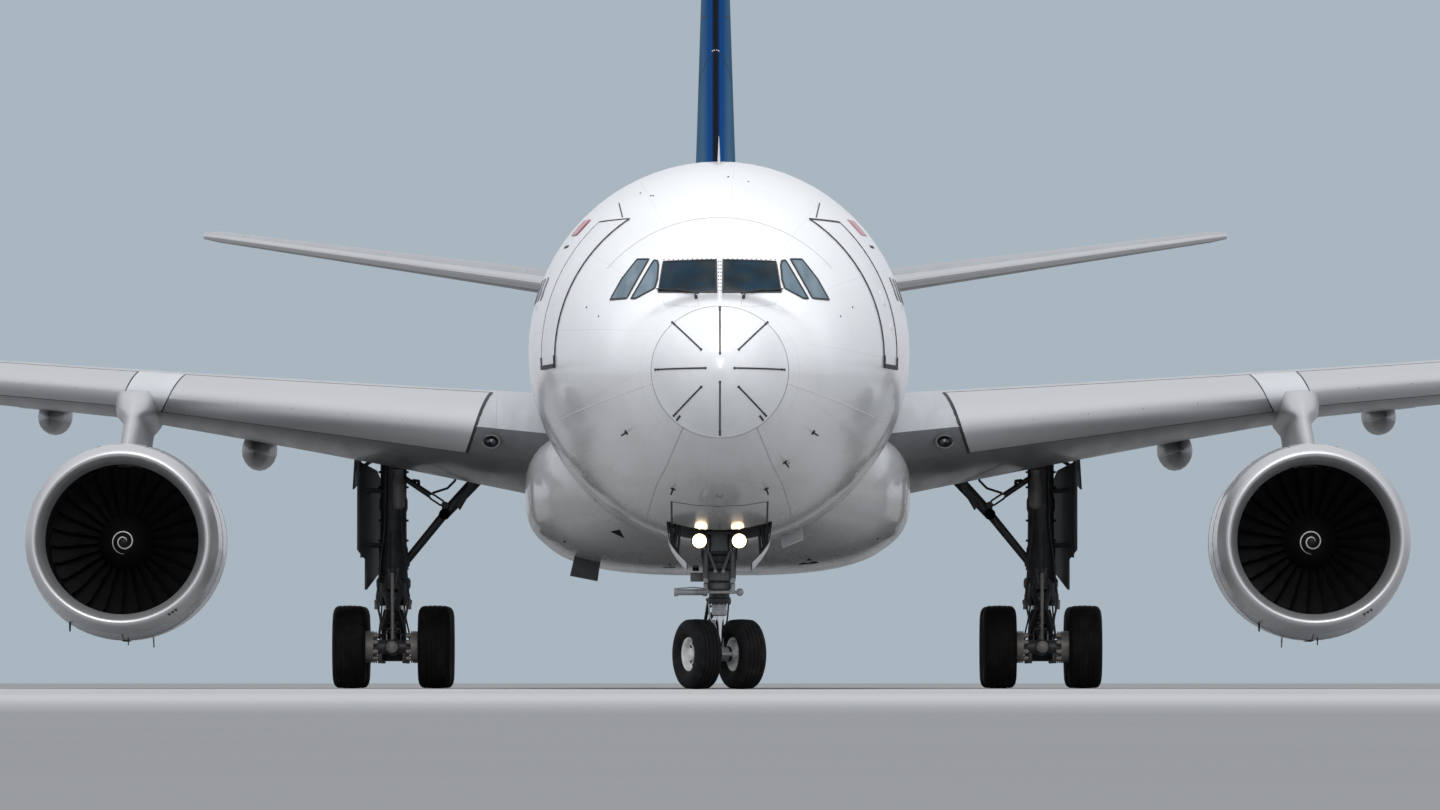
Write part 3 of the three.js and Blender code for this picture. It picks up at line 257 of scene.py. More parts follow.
def spun(bm, profile, centre, axis=(0, 1, 0), segments=48):
    """A closed profile of (radius, distance along the axis) turned about the axis"""
    axis = Vector(axis).normalized()
    turn = Vector((0, 0, 1)).rotation_difference(axis).to_matrix().to_4x4()
    place = Matrix.Translation(centre) @ turn
    verts = [bm.verts.new(place @ Vector((r, 0, d))) for r, d in profile]
    edges = [bm.edges.new(pair) for pair in zip(verts, verts[1:])]
    if profile[0][0] > 1e-6 and profile[-1][0] > 1e-6:
        edges.append(bm.edges.new((verts[-1], verts[0])))
    bmesh.ops.spin(
        bm, geom=verts + edges, cent=centre, axis=axis, angle=math.tau, steps=segments, use_merge=True,
    )
    bmesh.ops.remove_doubles(bm, verts=bm.verts, dist=1e-5)
    return bm


def rod(bm, start, end, radius, end_radius=None, segments=20):
    """A round bar or cone from one point to another"""
    along = Vector(end) - Vector(start)
    turn = Vector((0, 0, 1)).rotation_difference(along).to_matrix().to_4x4()
    bmesh.ops.create_cone(
        bm, cap_ends=True, segments=segments, radius1=radius,
        radius2=radius if end_radius is None else end_radius, depth=along.length,
        matrix=Matrix.Translation((Vector(start) + Vector(end)) / 2) @ turn,
    )
    return bm


def pipe(bm, points, radius, segments=8):
    """A bent pipe or hose: straight rods with a ball at each bend"""
    for a, b in zip(points, points[1:]):
        rod(bm, a, b, radius, segments=segments)
    for p in points[1:-1]:
        bmesh.ops.create_icosphere(bm, subdivisions=1, radius=radius * 1.08, matrix=Matrix.Translation(p))
    return bm


def brick(bm, low, high, bevel=0.0, turn=None):
    """A box between two corners, with rounded edges"""
    low, high = Vector(low), Vector(high)
    middle, size = (low + high) / 2, high - low
    place = Matrix.Translation(middle) @ (turn.to_4x4() if turn else Matrix.Identity(4))
    made = bmesh.ops.create_cube(bm, size=1, matrix=place @ Matrix.Diagonal((*size, 1)))["verts"]
    if bevel:
        edges = dict.fromkeys(e for v in made for e in v.link_edges)
        bmesh.ops.bevel(
            bm, geom=list(edges), offset=bevel, segments=2, profile=0.5, affect="EDGES", material=-1,
        )
    return bm


def slab(bm, outline, thickness):
    """A plate from a flat outline of points, thickened along its normal"""
    face = bm.faces.new([bm.verts.new(p) for p in outline])
    face.normal_update()
    push = face.normal * thickness
    made = bmesh.ops.extrude_face_region(bm, geom=[face])["geom"]
    bmesh.ops.translate(bm, vec=push, verts=[v for v in made if isinstance(v, bmesh.types.BMVert)])
    return bm


def straightened(bm):
    """Turns all faces outwards"""
    bmesh.ops.recalc_face_normals(bm, faces=bm.faces)
    return bm


# From a bmesh to a piece of the model
def as_mesh(bm, name):
    mesh = bpy.data.meshes.new(name)
    bm.to_mesh(mesh)
    bm.free()
    return mesh


def piece(bm, name, body, materials, replaces=(), sharp=35, recalculate=True):
    """Turns a bmesh at full size into a piece of the model that rides on a body"""
    if recalculate:
        straightened(bm)
    bm.transform(TO_MODEL)
    mesh = as_mesh(bm, name)
    for material in materials if isinstance(materials, (list, tuple)) else [materials]:
        mesh.materials.append(material)
    mesh.shade_smooth()
    mesh.set_sharp_from_angle(angle=math.radians(sharp))
    obj = bpy.data.objects.new(name, mesh)
    bpy.context.collection.objects.link(obj)
    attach(obj, body)
    if replaces:
        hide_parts(*replaces)
    return obj


def carved(bm, cutters, operation="DIFFERENCE"):
    """A mesh after other closed meshes are cut out of it, or all but their shared part is"""
    temporary = bpy.data.objects.new("carved", as_mesh(bm, "carved"))
    bpy.context.collection.objects.link(temporary)
    tools = []
    for cutter in cutters:
        tool = bpy.data.objects.new("cutter", as_mesh(cutter, "cutter"))
        bpy.context.collection.objects.link(tool)
        modifier = temporary.modifiers.new("cut", "BOOLEAN")
        modifier.operation = operation
        modifier.solver = "EXACT"
        modifier.object = tool
        tools.append(tool)
    evaluated = temporary.evaluated_get(bpy.context.evaluated_depsgraph_get())
    result = bmesh.new()
    result.from_mesh(evaluated.to_mesh())
    evaluated.to_mesh_clear()
    for obj in [temporary, *tools]:
        mesh = obj.data
        bpy.data.objects.remove(obj)
        bpy.data.meshes.remove(mesh)
    return result


def painted_from(bm, first, index):
    """Gives all faces from one on another of the piece's materials"""
    bm.faces.ensure_lookup_table()
    for face in bm.faces[first:]:
        face.material_index = index
    return bm


def paint_where(bm, test, index):
    """Gives the faces whose centre passes a test another of the piece's materials"""
    for face in bm.faces:
        if test(face.calc_center_median()):
            face.material_index = index
    return bm


# Materials
NOISE_ROUGHNESS = 0.55
COAT_ROUGHNESS = 0.08


class Shader:
    """Short names for the nodes of one material"""

    def __init__(self, name, colour, roughness, metallic=0.0, coat=0.0):
        self.material = bpy.data.materials.new(name)
        self.material.use_nodes = True
        self.tree = self.material.node_tree
        self.surface = self.tree.nodes["Principled BSDF"]
        self.surface.inputs["Base Color"].default_value = (*colour, 1)
        self.surface.inputs["Roughness"].default_value = roughness
        self.surface.inputs["Metallic"].default_value = metallic
        self.surface.inputs["Coat Weight"].default_value = coat
        self.surface.inputs["Coat Roughness"].default_value = COAT_ROUGHNESS
        self.base = colour
        self.position = self.node("ShaderNodeTexCoord").outputs["Object"]

    def node(self, kind, **settings):
        made = self.tree.nodes.new(kind)
        for key, value in settings.items():
            setattr(made, key, value)
        return made

    def put(self, socket, value):
        if isinstance(value, bpy.types.NodeSocket):
            self.tree.links.new(value, socket)
        elif socket.type == "RGBA":
            socket.default_value = (*value, 1)
        else:
            socket.default_value = value

    def math(self, operation, a, b=0.0, c=0.0):
        made = self.node("ShaderNodeMath", operation=operation)
        for socket, value in zip(made.inputs, (a, b, c)):
            self.put(socket, value)
        return made.outputs[0]

    def times(self, a, b):
        return self.math("MULTIPLY", a, b)

    def axes(self):
        made = self.node("ShaderNodeSeparateXYZ")
        self.put(made.inputs[0], self.position)
        return made.outputs

    def stretched(self, scale):
        made = self.node("ShaderNodeMapping")
        self.put(made.inputs["Vector"], self.position)
        self.put(made.inputs["Scale"], scale)
        return made.outputs[0]

    def noise(self, scale, detail, vector=None):
        made = self.node("ShaderNodeTexNoise")
        self.put(made.inputs["Vector"], vector or self.position)
        self.put(made.inputs["Scale"], scale)
        self.put(made.inputs["Detail"], detail)
        self.put(made.inputs["Roughness"], NOISE_ROUGHNESS)
        return made.outputs[0]

    def span(self, value, low, high, to_low=0.0, to_high=1.0):
        made = self.node("ShaderNodeMapRange")
        for socket, number in zip(made.inputs, (value, low, high, to_low, to_high)):
            self.put(socket, number)
        return made.outputs[0]

    def blend(self, share, a, b):
        made = self.node("ShaderNodeMix", data_type="RGBA")
        self.put(made.inputs[0], share)
        self.put(made.inputs[6], a)
        self.put(made.inputs[7], b)
        return made.outputs[2]

    def lines(self, value, pitch, width, offset=0.0):
        """1 on a line of a width every pitch, 0 between"""
        share = self.math("FRACT", self.math("DIVIDE", self.math("ADD", value, offset), pitch))
        far = self.math("ABSOLUTE", self.math("SUBTRACT", share, 0.5))
        return self.math("GREATER_THAN", far, 0.5 - width / pitch / 2)

    def colour(self, value):
        self.put(self.surface.inputs["Base Color"], value)
        return self

    def rough(self, value):
        self.put(self.surface.inputs["Roughness"], value)
        return self

    def mirror(self, value):
        self.put(self.surface.inputs["Specular IOR Level"], value)
        return self

    def bump(self, height, distance, strength):
        made = self.node("ShaderNodeBump")
        self.put(made.inputs["Strength"], strength)
        self.put(made.inputs["Distance"], distance)
        self.put(made.inputs["Height"], height)
        self.put(self.surface.inputs["Normal"], made.outputs[0])
        return self


def darker(colour, share):
    return tuple(c * share for c in colour)


def worn(shader, low, high, scale, stretch=(1, 1, 1)):
    """Colour that varies a little over a painted surface, as wiped grime does"""
    cloud = shader.noise(scale, 4.0, shader.stretched(stretch))
    patchy = shader.span(cloud, 0.35, 0.7)
    shader.colour(shader.blend(patchy, darker(shader.base, low), darker(shader.base, high)))
    return patchy


def worn_paint(name, colour, roughness, low, high, scale, stretch=(1, 1, 1), **more):
    """A plain finish that is only a little worn"""
    s = Shader(name, colour, roughness, **more)
    worn(s, low, high, scale, stretch)
    return s.material


def skin_paint():
    """White gloss paint in panels, with a film of grime under the belly, and painted shade that greys the skin towards
    the belly
    """
    s = Shader("white_skin_paint", colours().skin, 0.2, coat=0.5)
    x, y, z = s.axes()
    height = s.math("SUBTRACT", z, AXIS_Z * MODEL_SCALE)
    around = s.times(s.math("ARCTAN2", height, x), 1.41)
    frames = s.lines(y, 1.06, 0.0035, 0.31)
    laps = s.lines(around, 0.74, 0.0035, 0.12)
    seams = s.math("MAXIMUM", frames, laps)
    streaks = s.noise(1.6, 5.0, s.stretched((2.2, 0.25, 2.2)))
    # Mask of the lower skin: it thickens the grime film there and sets the painted shade of the belly
    under = s.span(height, -0.2, -1.35)
    film = s.times(s.span(streaks, 0.42, 0.75), s.math("ADD", s.times(under, 0.55), 0.1))
    # Painted shade: the lower skin is blended to grey, standing in for the shade under the belly
    belly = s.blend(s.times(under, 0.8), colours().skin, (0.33, 0.325, 0.32))
    grimy_over_shade = s.blend(film, belly, (0.36, 0.33, 0.28))
    s.colour(s.blend(s.times(seams, 0.35), grimy_over_shade, (0.25, 0.26, 0.28)))
    s.rough(s.span(film, 0.0, 0.6, 0.2, 0.42))
    return s.bump(s.noise(0.9, 2.0), 0.004, 0.12).material


def wing_paint(name="wing_grey_paint", shade_tone=1.0):
    """Satin grey paint with panel joints and chordwise streaks; a share below 1 darkens it into the painted shade of
    the undersides
    """
    s = Shader(name, darker(colours().wing, shade_tone), 0.34, coat=0.15)
    x, y, _ = s.axes()
    swept = s.math("SUBTRACT", y, s.times(s.math("ABSOLUTE", x), 0.5))
    seams = s.math("MAXIMUM", s.lines(swept, 0.9, 0.004), s.lines(x, 1.35, 0.004, 0.4))
    cloud = s.noise(2.0, 5.0, s.stretched((3.0, 0.5, 1.0)))
    grey = s.blend(s.span(cloud, 0.35, 0.75), darker(s.base, 0.82), darker(s.base, 1.08))
    s.colour(s.blend(s.times(seams, 0.5), grey, (0.12, 0.125, 0.13)))
    s.rough(s.span(cloud, 0.3, 0.8, 0.28, 0.45))
    return s.material


def bare_metal(name="bare_leading_edge", brushed=(0.15, 2.0, 2.0)):
    """Satin aluminium, brushed along the edge, with a faint film of dirt"""
    s = Shader(name, colours().metal, 0.42, metallic=0.85)
    brush = s.noise(5.0, 2.0, s.stretched(brushed))
    s.rough(s.span(brush, 0.3, 0.75, 0.42, 0.46))
    film = s.span(s.noise(0.8, 2.0), 0.35, 0.75)
    s.colour(s.blend(s.times(film, 0.15), s.base, darker(s.base, 0.9)))
    return s.material


def cowl_paint():
    s = Shader("cowl_paint", colours().cowl, 0.24, coat=0.5)
    y = s.axes()[1]
    worn(s, 0.9, 1.03, 3.0, (1, 0.3, 1))
    shade = s.surface.inputs["Base Color"].links[0].from_socket
    joints = s.lines(y, 0.86, 0.0045, 0.2)
    s.colour(s.blend(s.times(joints, 0.55), shade, (0.1, 0.1, 0.11)))
    return s.material


def fin_paint():
    """Deep blue gloss paint, with painted shade darkening it where the fin is thin and a painted sky reflection
    lightening its flanks
    """
    s = Shader("blue_fin_paint", colours().fin, 0.3)
    s.mirror(0.0)
    x = s.math("ABSOLUTE", s.axes()[0])
    cloud = s.noise(1.8, 4.0, s.stretched((1, 0.4, 0.4)))
    # Painted shade: nearly black blue where the fin is thin, at its leading and trailing edges
    near = s.blend(s.span(x, 0.018, 0.045), (0.012, 0.015, 0.022), s.base)
    # Painted sky reflection: the flanks lighten to a pale blue, patchily
    flank_sky_sheen = s.times(s.span(x, 0.065, 0.12), s.span(cloud, 0.2, 0.8, 0.6, 1.0))
    s.colour(s.blend(flank_sky_sheen, near, (0.09, 0.19, 0.29)))
    return s.material


def cockpit_glass():
    """Coated glass, dark inside, with a faint tint that drifts over the pane"""
    s = Shader("cockpit_glass", colours().glass, 0.04)
    drift = s.noise(2.6, 2.0, s.stretched((1.5, 1, 2.5)))
    tint = s.blend(s.span(drift, 0.35, 0.65), (0.008, 0.014, 0.02), (0.004, 0.028, 0.05))
    s.colour(s.blend(s.span(s.noise(3.3, 1.0), 0.5, 0.7), tint, (0.03, 0.035, 0.03)))
    s.surface.inputs["IOR"].default_value = 1.2
    return s.material


def side_glass():
    """Paler glass, a painted reflection of the sky, lighter in streaks"""
    s = Shader("side_window_glass", (0.07, 0.12, 0.16), 0.06)
    sky_streak = s.noise(3.0, 2.0, s.stretched((3.0, 1, 0.6)))
    s.colour(s.blend(s.span(sky_streak, 0.4, 0.65), s.base, (0.14, 0.2, 0.24)))
    return s.material


def tyre_rubber():
    """Matt black rubber with grey scuffs and fine grain"""
    s = Shader("tyre_rubber", colours().rubber, 0.8)
    s.mirror(0.15)
    dust = s.span(s.noise(9.0, 5.0), 0.5, 0.8)
    s.colour(s.blend(s.times(dust, 0.3), s.base, (0.07, 0.065, 0.06)))
    s.rough(s.span(dust, 0.0, 1.0, 0.72, 0.92))
    return s.bump(s.noise(160.0, 2.0), 0.0015, 0.3).material


def gear_paint(name, colour, roughness=0.42, metallic=0.2):
    """Landing gear enamel with oil stains and rubbed spots"""
    s = Shader(name, colour, roughness, metallic=metallic)
    oil = s.span(s.noise(7.0, 5.0, s.stretched((1, 1, 0.5))), 0.5, 0.78)
    s.colour(s.blend(oil, s.base, darker(s.base, 0.4)))
    s.rough(s.span(oil, 0.0, 1.0, roughness, roughness * 0.7))
    return s.bump(s.noise(40.0, 3.0), 0.001, 0.2).material


def rim_paint():
    s = Shader("wheel_rim_paint", colours().rim, 0.38)
    dust = s.span(s.noise(14.0, 5.0), 0.45, 0.75)
    s.colour(s.blend(s.times(dust, 0.7), s.base, (0.2, 0.185, 0.16)))
    return s.material


def chrome():
    s = Shader("piston_chrome", (0.75, 0.76, 0.78), 0.12, metallic=1.0)
    s.rough(s.span(s.noise(20.0, 3.0, s.stretched((1, 1, 0.2))), 0.3, 0.8, 0.08, 0.25))
    return s.material


# Near-black lining with dark joints: painted shade inside the intake, the belly inlets and the lamp's bowl
def duct_black():
    s = Shader("duct_lining", (0.012, 0.012, 0.013), 0.7)
    s.mirror(0.1)
    y = s.axes()[1]
    s.colour(s.blend(s.lines(y, 0.11, 0.003), s.base, (0.004, 0.004, 0.004)))
    return s.material


def burnt_metal():
    """Nozzle metal, straw and blue where the heat has run"""
    s = Shader("nozzle_metal", (0.25, 0.22, 0.19), 0.36, metallic=0.9)
    heat = s.span(s.noise(4.0, 4.0, s.stretched((1, 3, 1))), 0.35, 0.7)
    s.colour(s.blend(heat, (0.3, 0.25, 0.19), (0.12, 0.125, 0.15)))
    return s.material


def glowing_lens(name, strength):
    s = Shader(name, (0.9, 0.85, 0.75), 0.1)
    s.surface.inputs["Emission Color"].default_value = (*colours().lamp, 1)
    s.surface.inputs["Emission Strength"].default_value = strength
    cells = s.noise(60.0, 1.0)
    return s.bump(cells, 0.002, 0.3).material


def make_finishes():
    """Every finish, made once and kept by name"""
    c = colours()
    FINISHES.update({
        # The wing paint darkened to a third is painted shade on the undersides of the wing, flaps, ailerons, track
        # fairings, panels and tail
        "wing_low": wing_paint("wing_underside_paint", 0.32), "skin": skin_paint(),
        "white": worn_paint("white_panel_paint", c.skin, 0.25, 0.9, 1.0, 3.0, (1, 0.4, 1), coat=0.5),
        "wing": wing_paint(), "metal": bare_metal(), "lip": bare_metal("bare_intake_lip", (2.0, 0.3, 2.0)),
        "cowl": cowl_paint(), "fin": fin_paint(), "glass": cockpit_glass(), "side_glass": side_glass(),
        "cabin": worn_paint("cabin_glass", (0.03, 0.035, 0.045), 0.12, 0.7, 1.5, 2.0, coat=0.3),
        "seal": worn_paint("dark_seal", (0.02, 0.021, 0.023), 0.6, 0.7, 1.3, 30.0), "rubber": tyre_rubber(),
        "gear": gear_paint("gear_enamel", c.gear),
        "gear_dark": gear_paint("gear_dark_enamel", c.gear_dark, 0.5, 0.4),
        "strut_in_shade": gear_paint("main_gear_enamel_painted_shade", c.strut_in_shade, 0.5, 0.1),
        # The gear's doors are dark grey as painted shade under the wing, patchy as worn paint
        "under": worn_paint("gear_door_painted_shade", (0.1, 0.105, 0.11), 0.5, 0.45, 1.1, 2.6, (1, 1, 0.5)),
        "brake": gear_paint("brake_steel", (0.32, 0.3, 0.28), 0.5, 0.1),
        "gear_mid": gear_paint("worn_gear_enamel", (0.13, 0.135, 0.14), 0.5, 0.2),
        "rim": rim_paint(), "chrome": chrome(),
        # Fan blades and spinner near-black: painted shade deep in the intake
        "fan": worn_paint("fan_metal_painted_shade", (0.003, 0.0032, 0.0036), 0.6, 0.55, 1.5, 8.0, metallic=0.2),
        "duct": duct_black(), "nozzle": burnt_metal(),
        "marking": worn_paint("spinner_marking", (0.85, 0.85, 0.83), 0.35, 0.9, 1.0, 20.0),
        "patch": worn_paint("red_patch_paint", c.door_patch, 0.3, 0.85, 1.1, 9.0, coat=0.4),
        "bay": worn_paint("bay_primer", (0.32, 0.33, 0.31), 0.6, 0.35, 1.0, 4.0, (1, 1, 0.4)),
        "lit": glowing_lens("lit_lamp_glass", 6.0),
        "red": worn_paint("red_lamp_glass", (0.55, 0.02, 0.02), 0.06, 0.85, 1.1, 25.0, coat=0.8),
        "green": worn_paint("green_lamp_glass", (0.02, 0.4, 0.12), 0.06, 0.85, 1.1, 25.0, coat=0.8),
    })


FINISHES = {}


# Places on the fuselage's skin
def skin_normal(station, angle):
    h = 0.01
    along = skin_point(station + h, angle) - skin_point(max(0.0, station - h), angle)
    around = skin_point(station, angle + h) - skin_point(station, angle - h)
    return along.cross(around).normalized()


def on_skin(station, angle, out=0.0):
    return skin_point(station, angle) + skin_normal(station, angle) * out


def skin_shares(station, x, z):
    """How far out a point lies sideways and in height, each as a share of the skin's reach there"""
    _, top, bottom, half, widest = eased_at(FUSELAGE, station)
    rise = z - AXIS_Z - widest
    return x / half, rise / (top - widest if rise > 0 else widest - bottom)


def angle_at_height(station, z, side=1):
    angle = math.asin(clamped(skin_shares(station, 0, z)[1], -1.0))
    return angle if side > 0 else math.pi - angle


NOSE_LENGTH = 9.8


def facing(x, z):
    """Station and angle of the skin that is met at (x, z) by looking aft at the nose"""
    low, high = 0.0, NOSE_LENGTH
    for _ in range(40):
        station = (low + high) / 2
        across, up = skin_shares(station, x, z)
        if across**2 + up**2 > 1:
            low = station
        else:
            high = station
    return high, math.atan2(up, across)


def knob(bm, x, z, radius, height=0.006, foot=-0.006, segments=12):
    """A short round pin that stands on the nose's skin"""
    station, angle = facing(x, z)
    return rod(bm, on_skin(station, angle, foot), on_skin(station, angle, height), radius, segments=segments)


def run_at(points, i):
    """The way a line of points runs at one of them"""
    return points[min(i + 1, len(points) - 1)] - points[max(i - 1, 0)]


def ribbon(bm, places, width, thickness=0.004, below=None):
    """A flat strip along places on a surface, each a (point, normal), as thick below them as above unless told"""
    points = [p for p, _ in places]
    rings = []
    for i, (p, n) in enumerate(places):
        aside = run_at(points, i).cross(n).normalized() * width / 2
        up, down = n * thickness, n * (thickness if below is None else below)
        rings.append([p + aside + up, p - aside + up, p - aside - down, p + aside - down])
    return loft(bm, rings)


def strip(bm, places, width, thickness=0.006):
    """A flat strip along places on the fuselage's skin, each a (station, angle)"""
    return ribbon(bm, [(on_skin(s, a, 0.001), skin_normal(s, a)) for s, a in places], width, thickness, 0.0)


def sliced(bm, spot, normal):
    """Cuts all faces that a plane meets"""
    bmesh.ops.bisect_plane(bm, geom=bm.verts[:] + bm.edges[:] + bm.faces[:], plane_co=spot, plane_no=normal)


def patch(bm, spots, columns, rows, place, corner, out, rim=0.0):
    """A patch that follows a surface: spots is its (low, high) in two directions, place puts it there.

    The rim, where it has one, takes the piece's second material, and the patch a thickness of its own.
    """
    (u0, u1), (v0, v1) = spots
    made = bmesh.new()
    bmesh.ops.create_grid(made, x_segments=1, y_segments=1, size=0.5)
    bmesh.ops.scale(made, vec=(u1 - u0, v1 - v0, 1), verts=made.verts)
    bmesh.ops.bevel(
        made, geom=made.verts[:], offset=corner, segments=5, profile=0.5, affect="VERTICES", material=-1,
    )
    bmesh.ops.scale(made, vec=(1 / (u1 - u0), 1 / (v1 - v0), 1), verts=made.verts)
    for i in range(1, columns):
        sliced(made, (i / columns - 0.5, 0, 0), (1, 0, 0))
    for i in range(1, rows):
        sliced(made, (0, i / rows - 0.5, 0), (0, 1, 0))
    for v in made.verts:
        v.co = place(mix(u0, u1, v.co.x + 0.5), mix(v0, v1, v.co.y + 0.5), out)
    if rim:
        ring = bmesh.ops.inset_region(made, faces=made.faces[:], thickness=rim, use_even_offset=True)["faces"]
        for face in ring:
            face.material_index = 1
    return thickened(bm, made, out * 1.5)


def thickened(bm, made, thickness):
    """Gives a sheet its thickness inwards and adds it to another mesh"""
    bmesh.ops.solidify(straightened(made), geom=made.faces[:], thickness=thickness)
    return absorbed(bm, made)


def absorbed(bm, made):
    """Adds one mesh's shapes to another"""
    mesh = as_mesh(made, "part")
    bm.from_mesh(mesh)
    bpy.data.meshes.remove(mesh)
    return bm


# Fuselage
SKIN_SIDES = 72
SKIN_STATIONS = (
    [0.012 * k * k for k in range(1, 13)] + steps(1.83, 3.45, 27) + [0.012 * k * k for k in range(18, 29)]
    + [9.8 + 2.4 * k for k in range(1, 12)]
    + [38.5 + 0.7 * k for k in range(30)] + [58.4]
)
NOSE_BAY = (full(-0.76, 5.5, 1.5), full(0.76, 7.55, 3.55))
NOSE_BAY_FOOT = 2.0
CARGO_DOORS = {"cargo_door_front": (12.0, 14.7, 2.85, 4.5), "cargo_door_rear": (39.3, 41.9, 3.05, 4.5)}
HOLD_INNER_X = -0.9
SHOULDER = [(47.2, 0.75, 7.3), (49.2, 1.15, 7.52), (53.2, 1.15, 7.45), (55.9, 1.15, 7.2), (57.6, 0.4, 7.0)]
TAIL_FLAT_X = 1.15
# Squared share of the skin's reach past which a face counts as the outer skin, and how far past an opening's
# edge the faces inside it may stand
TAIL_TIP, OUTER_SHARE, EDGE = 58.8, 0.985, 0.001
# The openings beside the tailplane's root, in which it trims: front end, length, and corners as (x, height)
SWEEP_FRONT, SWEEP_LENGTH = 48.9, 7.5
SWEEP = [(TAIL_FLAT_X, 6.3), (2.6, 6.4), (2.6, 8.0), (TAIL_FLAT_X, 8.0)]
EXHAUST_Z, EXHAUST_R, EXHAUST_ENDS = 6.79, 0.18, (58.1, 59.0)
DOOR_GAP = 0.014
# The rear door swings up beside a skin that tapers, so its top edge stands lower
CARGO_TOP_GAPS = {"cargo_door_front": DOOR_GAP, "cargo_door_rear": 0.07}


def hull(low, high):
    stations = [low, *[s for s in SKIN_STATIONS if low < s < high], high]
    return loft(bmesh.new(), [[skin_point(s, a) for a in turns(SKIN_SIDES)] for s in stations])


def tail_shoulder():
    """The flat-sided hump that carries the fin, beside which the tailplane's root turns"""
    rings = []
    for station, half, top in SHOULDER:
        outline = [(half, 6.2), (half, top - 0.22), (half - 0.1, top - 0.05), (half - 0.3, top)]
        ring = [full(x, station, z) for x, z in outline]
        rings.append(ring + [full(-p.x, p.y, p.z) for p in reversed(ring)])
    return loft(bmesh.new(), rings)


class AIRLINER_OT_fuselage(bpy.types.Operator):
    """Smooth fuselage skin with its bays, and the radome and belly fairing"""

    bl_idname = "airliner.fuselage"
    bl_label = "Fuselage"

    def execute(self, context):
        holds = [
            brick(bmesh.new(), (-3.2, front, sill), (HOLD_INNER_X, rear, head))
            for front, rear, sill, head in CARGO_DOORS.values()
        ]
        sweeps = [
            slab(bmesh.new(), [full(side * x, SWEEP_FRONT, z) for x, z in SWEEP], -side * SWEEP_LENGTH)
            for _, side in SIDES
        ]
        exhaust = rod(bmesh.new(), *(full(0, end, EXHAUST_Z) for end in EXHAUST_ENDS), EXHAUST_R, segments=32)
        body = hull(RADOME_STATION + 0.004, NOSE_TO_ORIGIN * 2)
        body = carved(body, [brick(bmesh.new(), *NOSE_BAY), *holds, *map(straightened, sweeps), exhaust])
        absorbed(body, straightened(tail_shoulder()))
        low, high = NOSE_BAY
        paint_where(body, lambda p: abs(p.x) < high.x + EDGE and low.y - EDGE < p.y < high.y + EDGE
                    and NOSE_BAY_FOOT < p.z < high.z + EDGE and not on_outer_skin(p), 1)
        paint_where(body, lambda p: p.x < 0 and any(
            front - EDGE < p.y < rear + EDGE and sill - EDGE < p.z < head + EDGE
            for front, rear, sill, head in CARGO_DOORS.values()) and not on_outer_skin(p), 1)
        paint_where(body, lambda p: p.y > EXHAUST_ENDS[0] - 0.1 and abs(p.x) < EXHAUST_R + 0.01
                    and not on_outer_skin(p), 2)
        piece(body, "fuselage_skin", "airframe", [FINISHES["skin"], FINISHES["bay"], FINISHES["nozzle"]],
              replaces=["fuselage"], sharp=28, recalculate=False)
        piece(hull(0.0, RADOME_STATION - 0.006), "radome_skin", "airframe", FINISHES["white"],
              replaces=["radome"], sharp=60)
        make_belly()
        return {"FINISHED"}


def on_outer_skin(p):
    across, up = skin_shares(min(p.y, TAIL_TIP), p.x, p.z)
    return across**2 + up**2 > OUTER_SHARE


BELLY_SQUARENESS = 0.66
BELLY_SIDES, BELLY_RINGS = 56, 44


def belly_point(station, angle, out=0.0):
    _, half, low, high = eased_at(BELLY, station)
    power = [math.copysign(abs(v) ** BELLY_SQUARENESS, v) for v in (math.cos(angle), math.sin(angle))]
    return full((half + out) * power[0], station, (low + high) / 2 + ((high - low) / 2 + out) * power[1])


def make_belly():
    stations = steps(BELLY[0][0], BELLY[-1][0], BELLY_RINGS)
    bm = loft(bmesh.new(), [[belly_point(s, a) for a in turns(BELLY_SIDES)] for s in stations])
    piece(bm, "belly_skin", "airframe", FINISHES["skin"], replaces=["belly_fairing"], sharp=50)


# Cockpit glass, seen from ahead on the port side as (x, height) corners
PANES = {
    "front": [(0.862, 5.615), (0.795, 6.065), (0.05, 6.08), (0.044, 5.59)],
    "corner": [(0.92, 5.67), (0.88, 5.8), (0.867, 6.02), (0.882, 6.08), (0.932, 6.09), (0.975, 6.02),
               (1.25, 5.53), (1.185, 5.53)],
    "side": [(1.385, 5.835), (1.17, 6.115), (1.005, 6.11), (1.312, 5.537), (1.55, 5.532)],
}
PANE_CORNER = 0.02
SEAL_WIDTH = 0.026
PANE_CELL, PANE_FOOT = 0.07, 5.5
# The wiper's arm and blade, seen from ahead on the port side as (x, height)
WIPER_ARM = [(0.33, 5.5), (0.36, 5.565), (0.62, 5.628)]
WIPER_BLADE = [(0.3, 5.56), (0.6, 5.62), (0.885, 5.648)]
FRAME_DOT = 0.011


def pane(outline, side):
    """One pane: a flat outline rounded at its corners, cut in cells and laid on the skin"""
    made = bmesh.new()
    made.faces.new([made.verts.new((x, 0, z)) for x, z in outline])
    bmesh.ops.bevel(
        made, geom=made.verts[:], offset=PANE_CORNER, segments=4, profile=0.5, affect="VERTICES", material=-1,
    )
    for i in range(1, 26):
        for normal in ((1, 0, 0), (0, 0, 1)):
            start = 0.0 if normal[0] else PANE_FOOT
            sliced(made, Vector(normal) * (start + i * PANE_CELL), normal)
    for v in made.verts:
        station, angle = facing(v.co.x, v.co.z)
        v.co = on_skin(station, angle, 0.006)
        v.co.x *= side
    if side < 0:
        bmesh.ops.reverse_faces(made, faces=made.faces)
    return made


def front_places(points, side, count=6):
    """Places on the skin along a line of points seen from ahead"""
    places = []
    for (x0, z0), (x1, z1) in zip(points, points[1:]):
        for t in steps(0, 1, count)[: count if (x1, z1) != points[-1] else count + 1]:
            places.append(facing(side * mix(x0, x1, t), mix(z0, z1, t)))
    return places


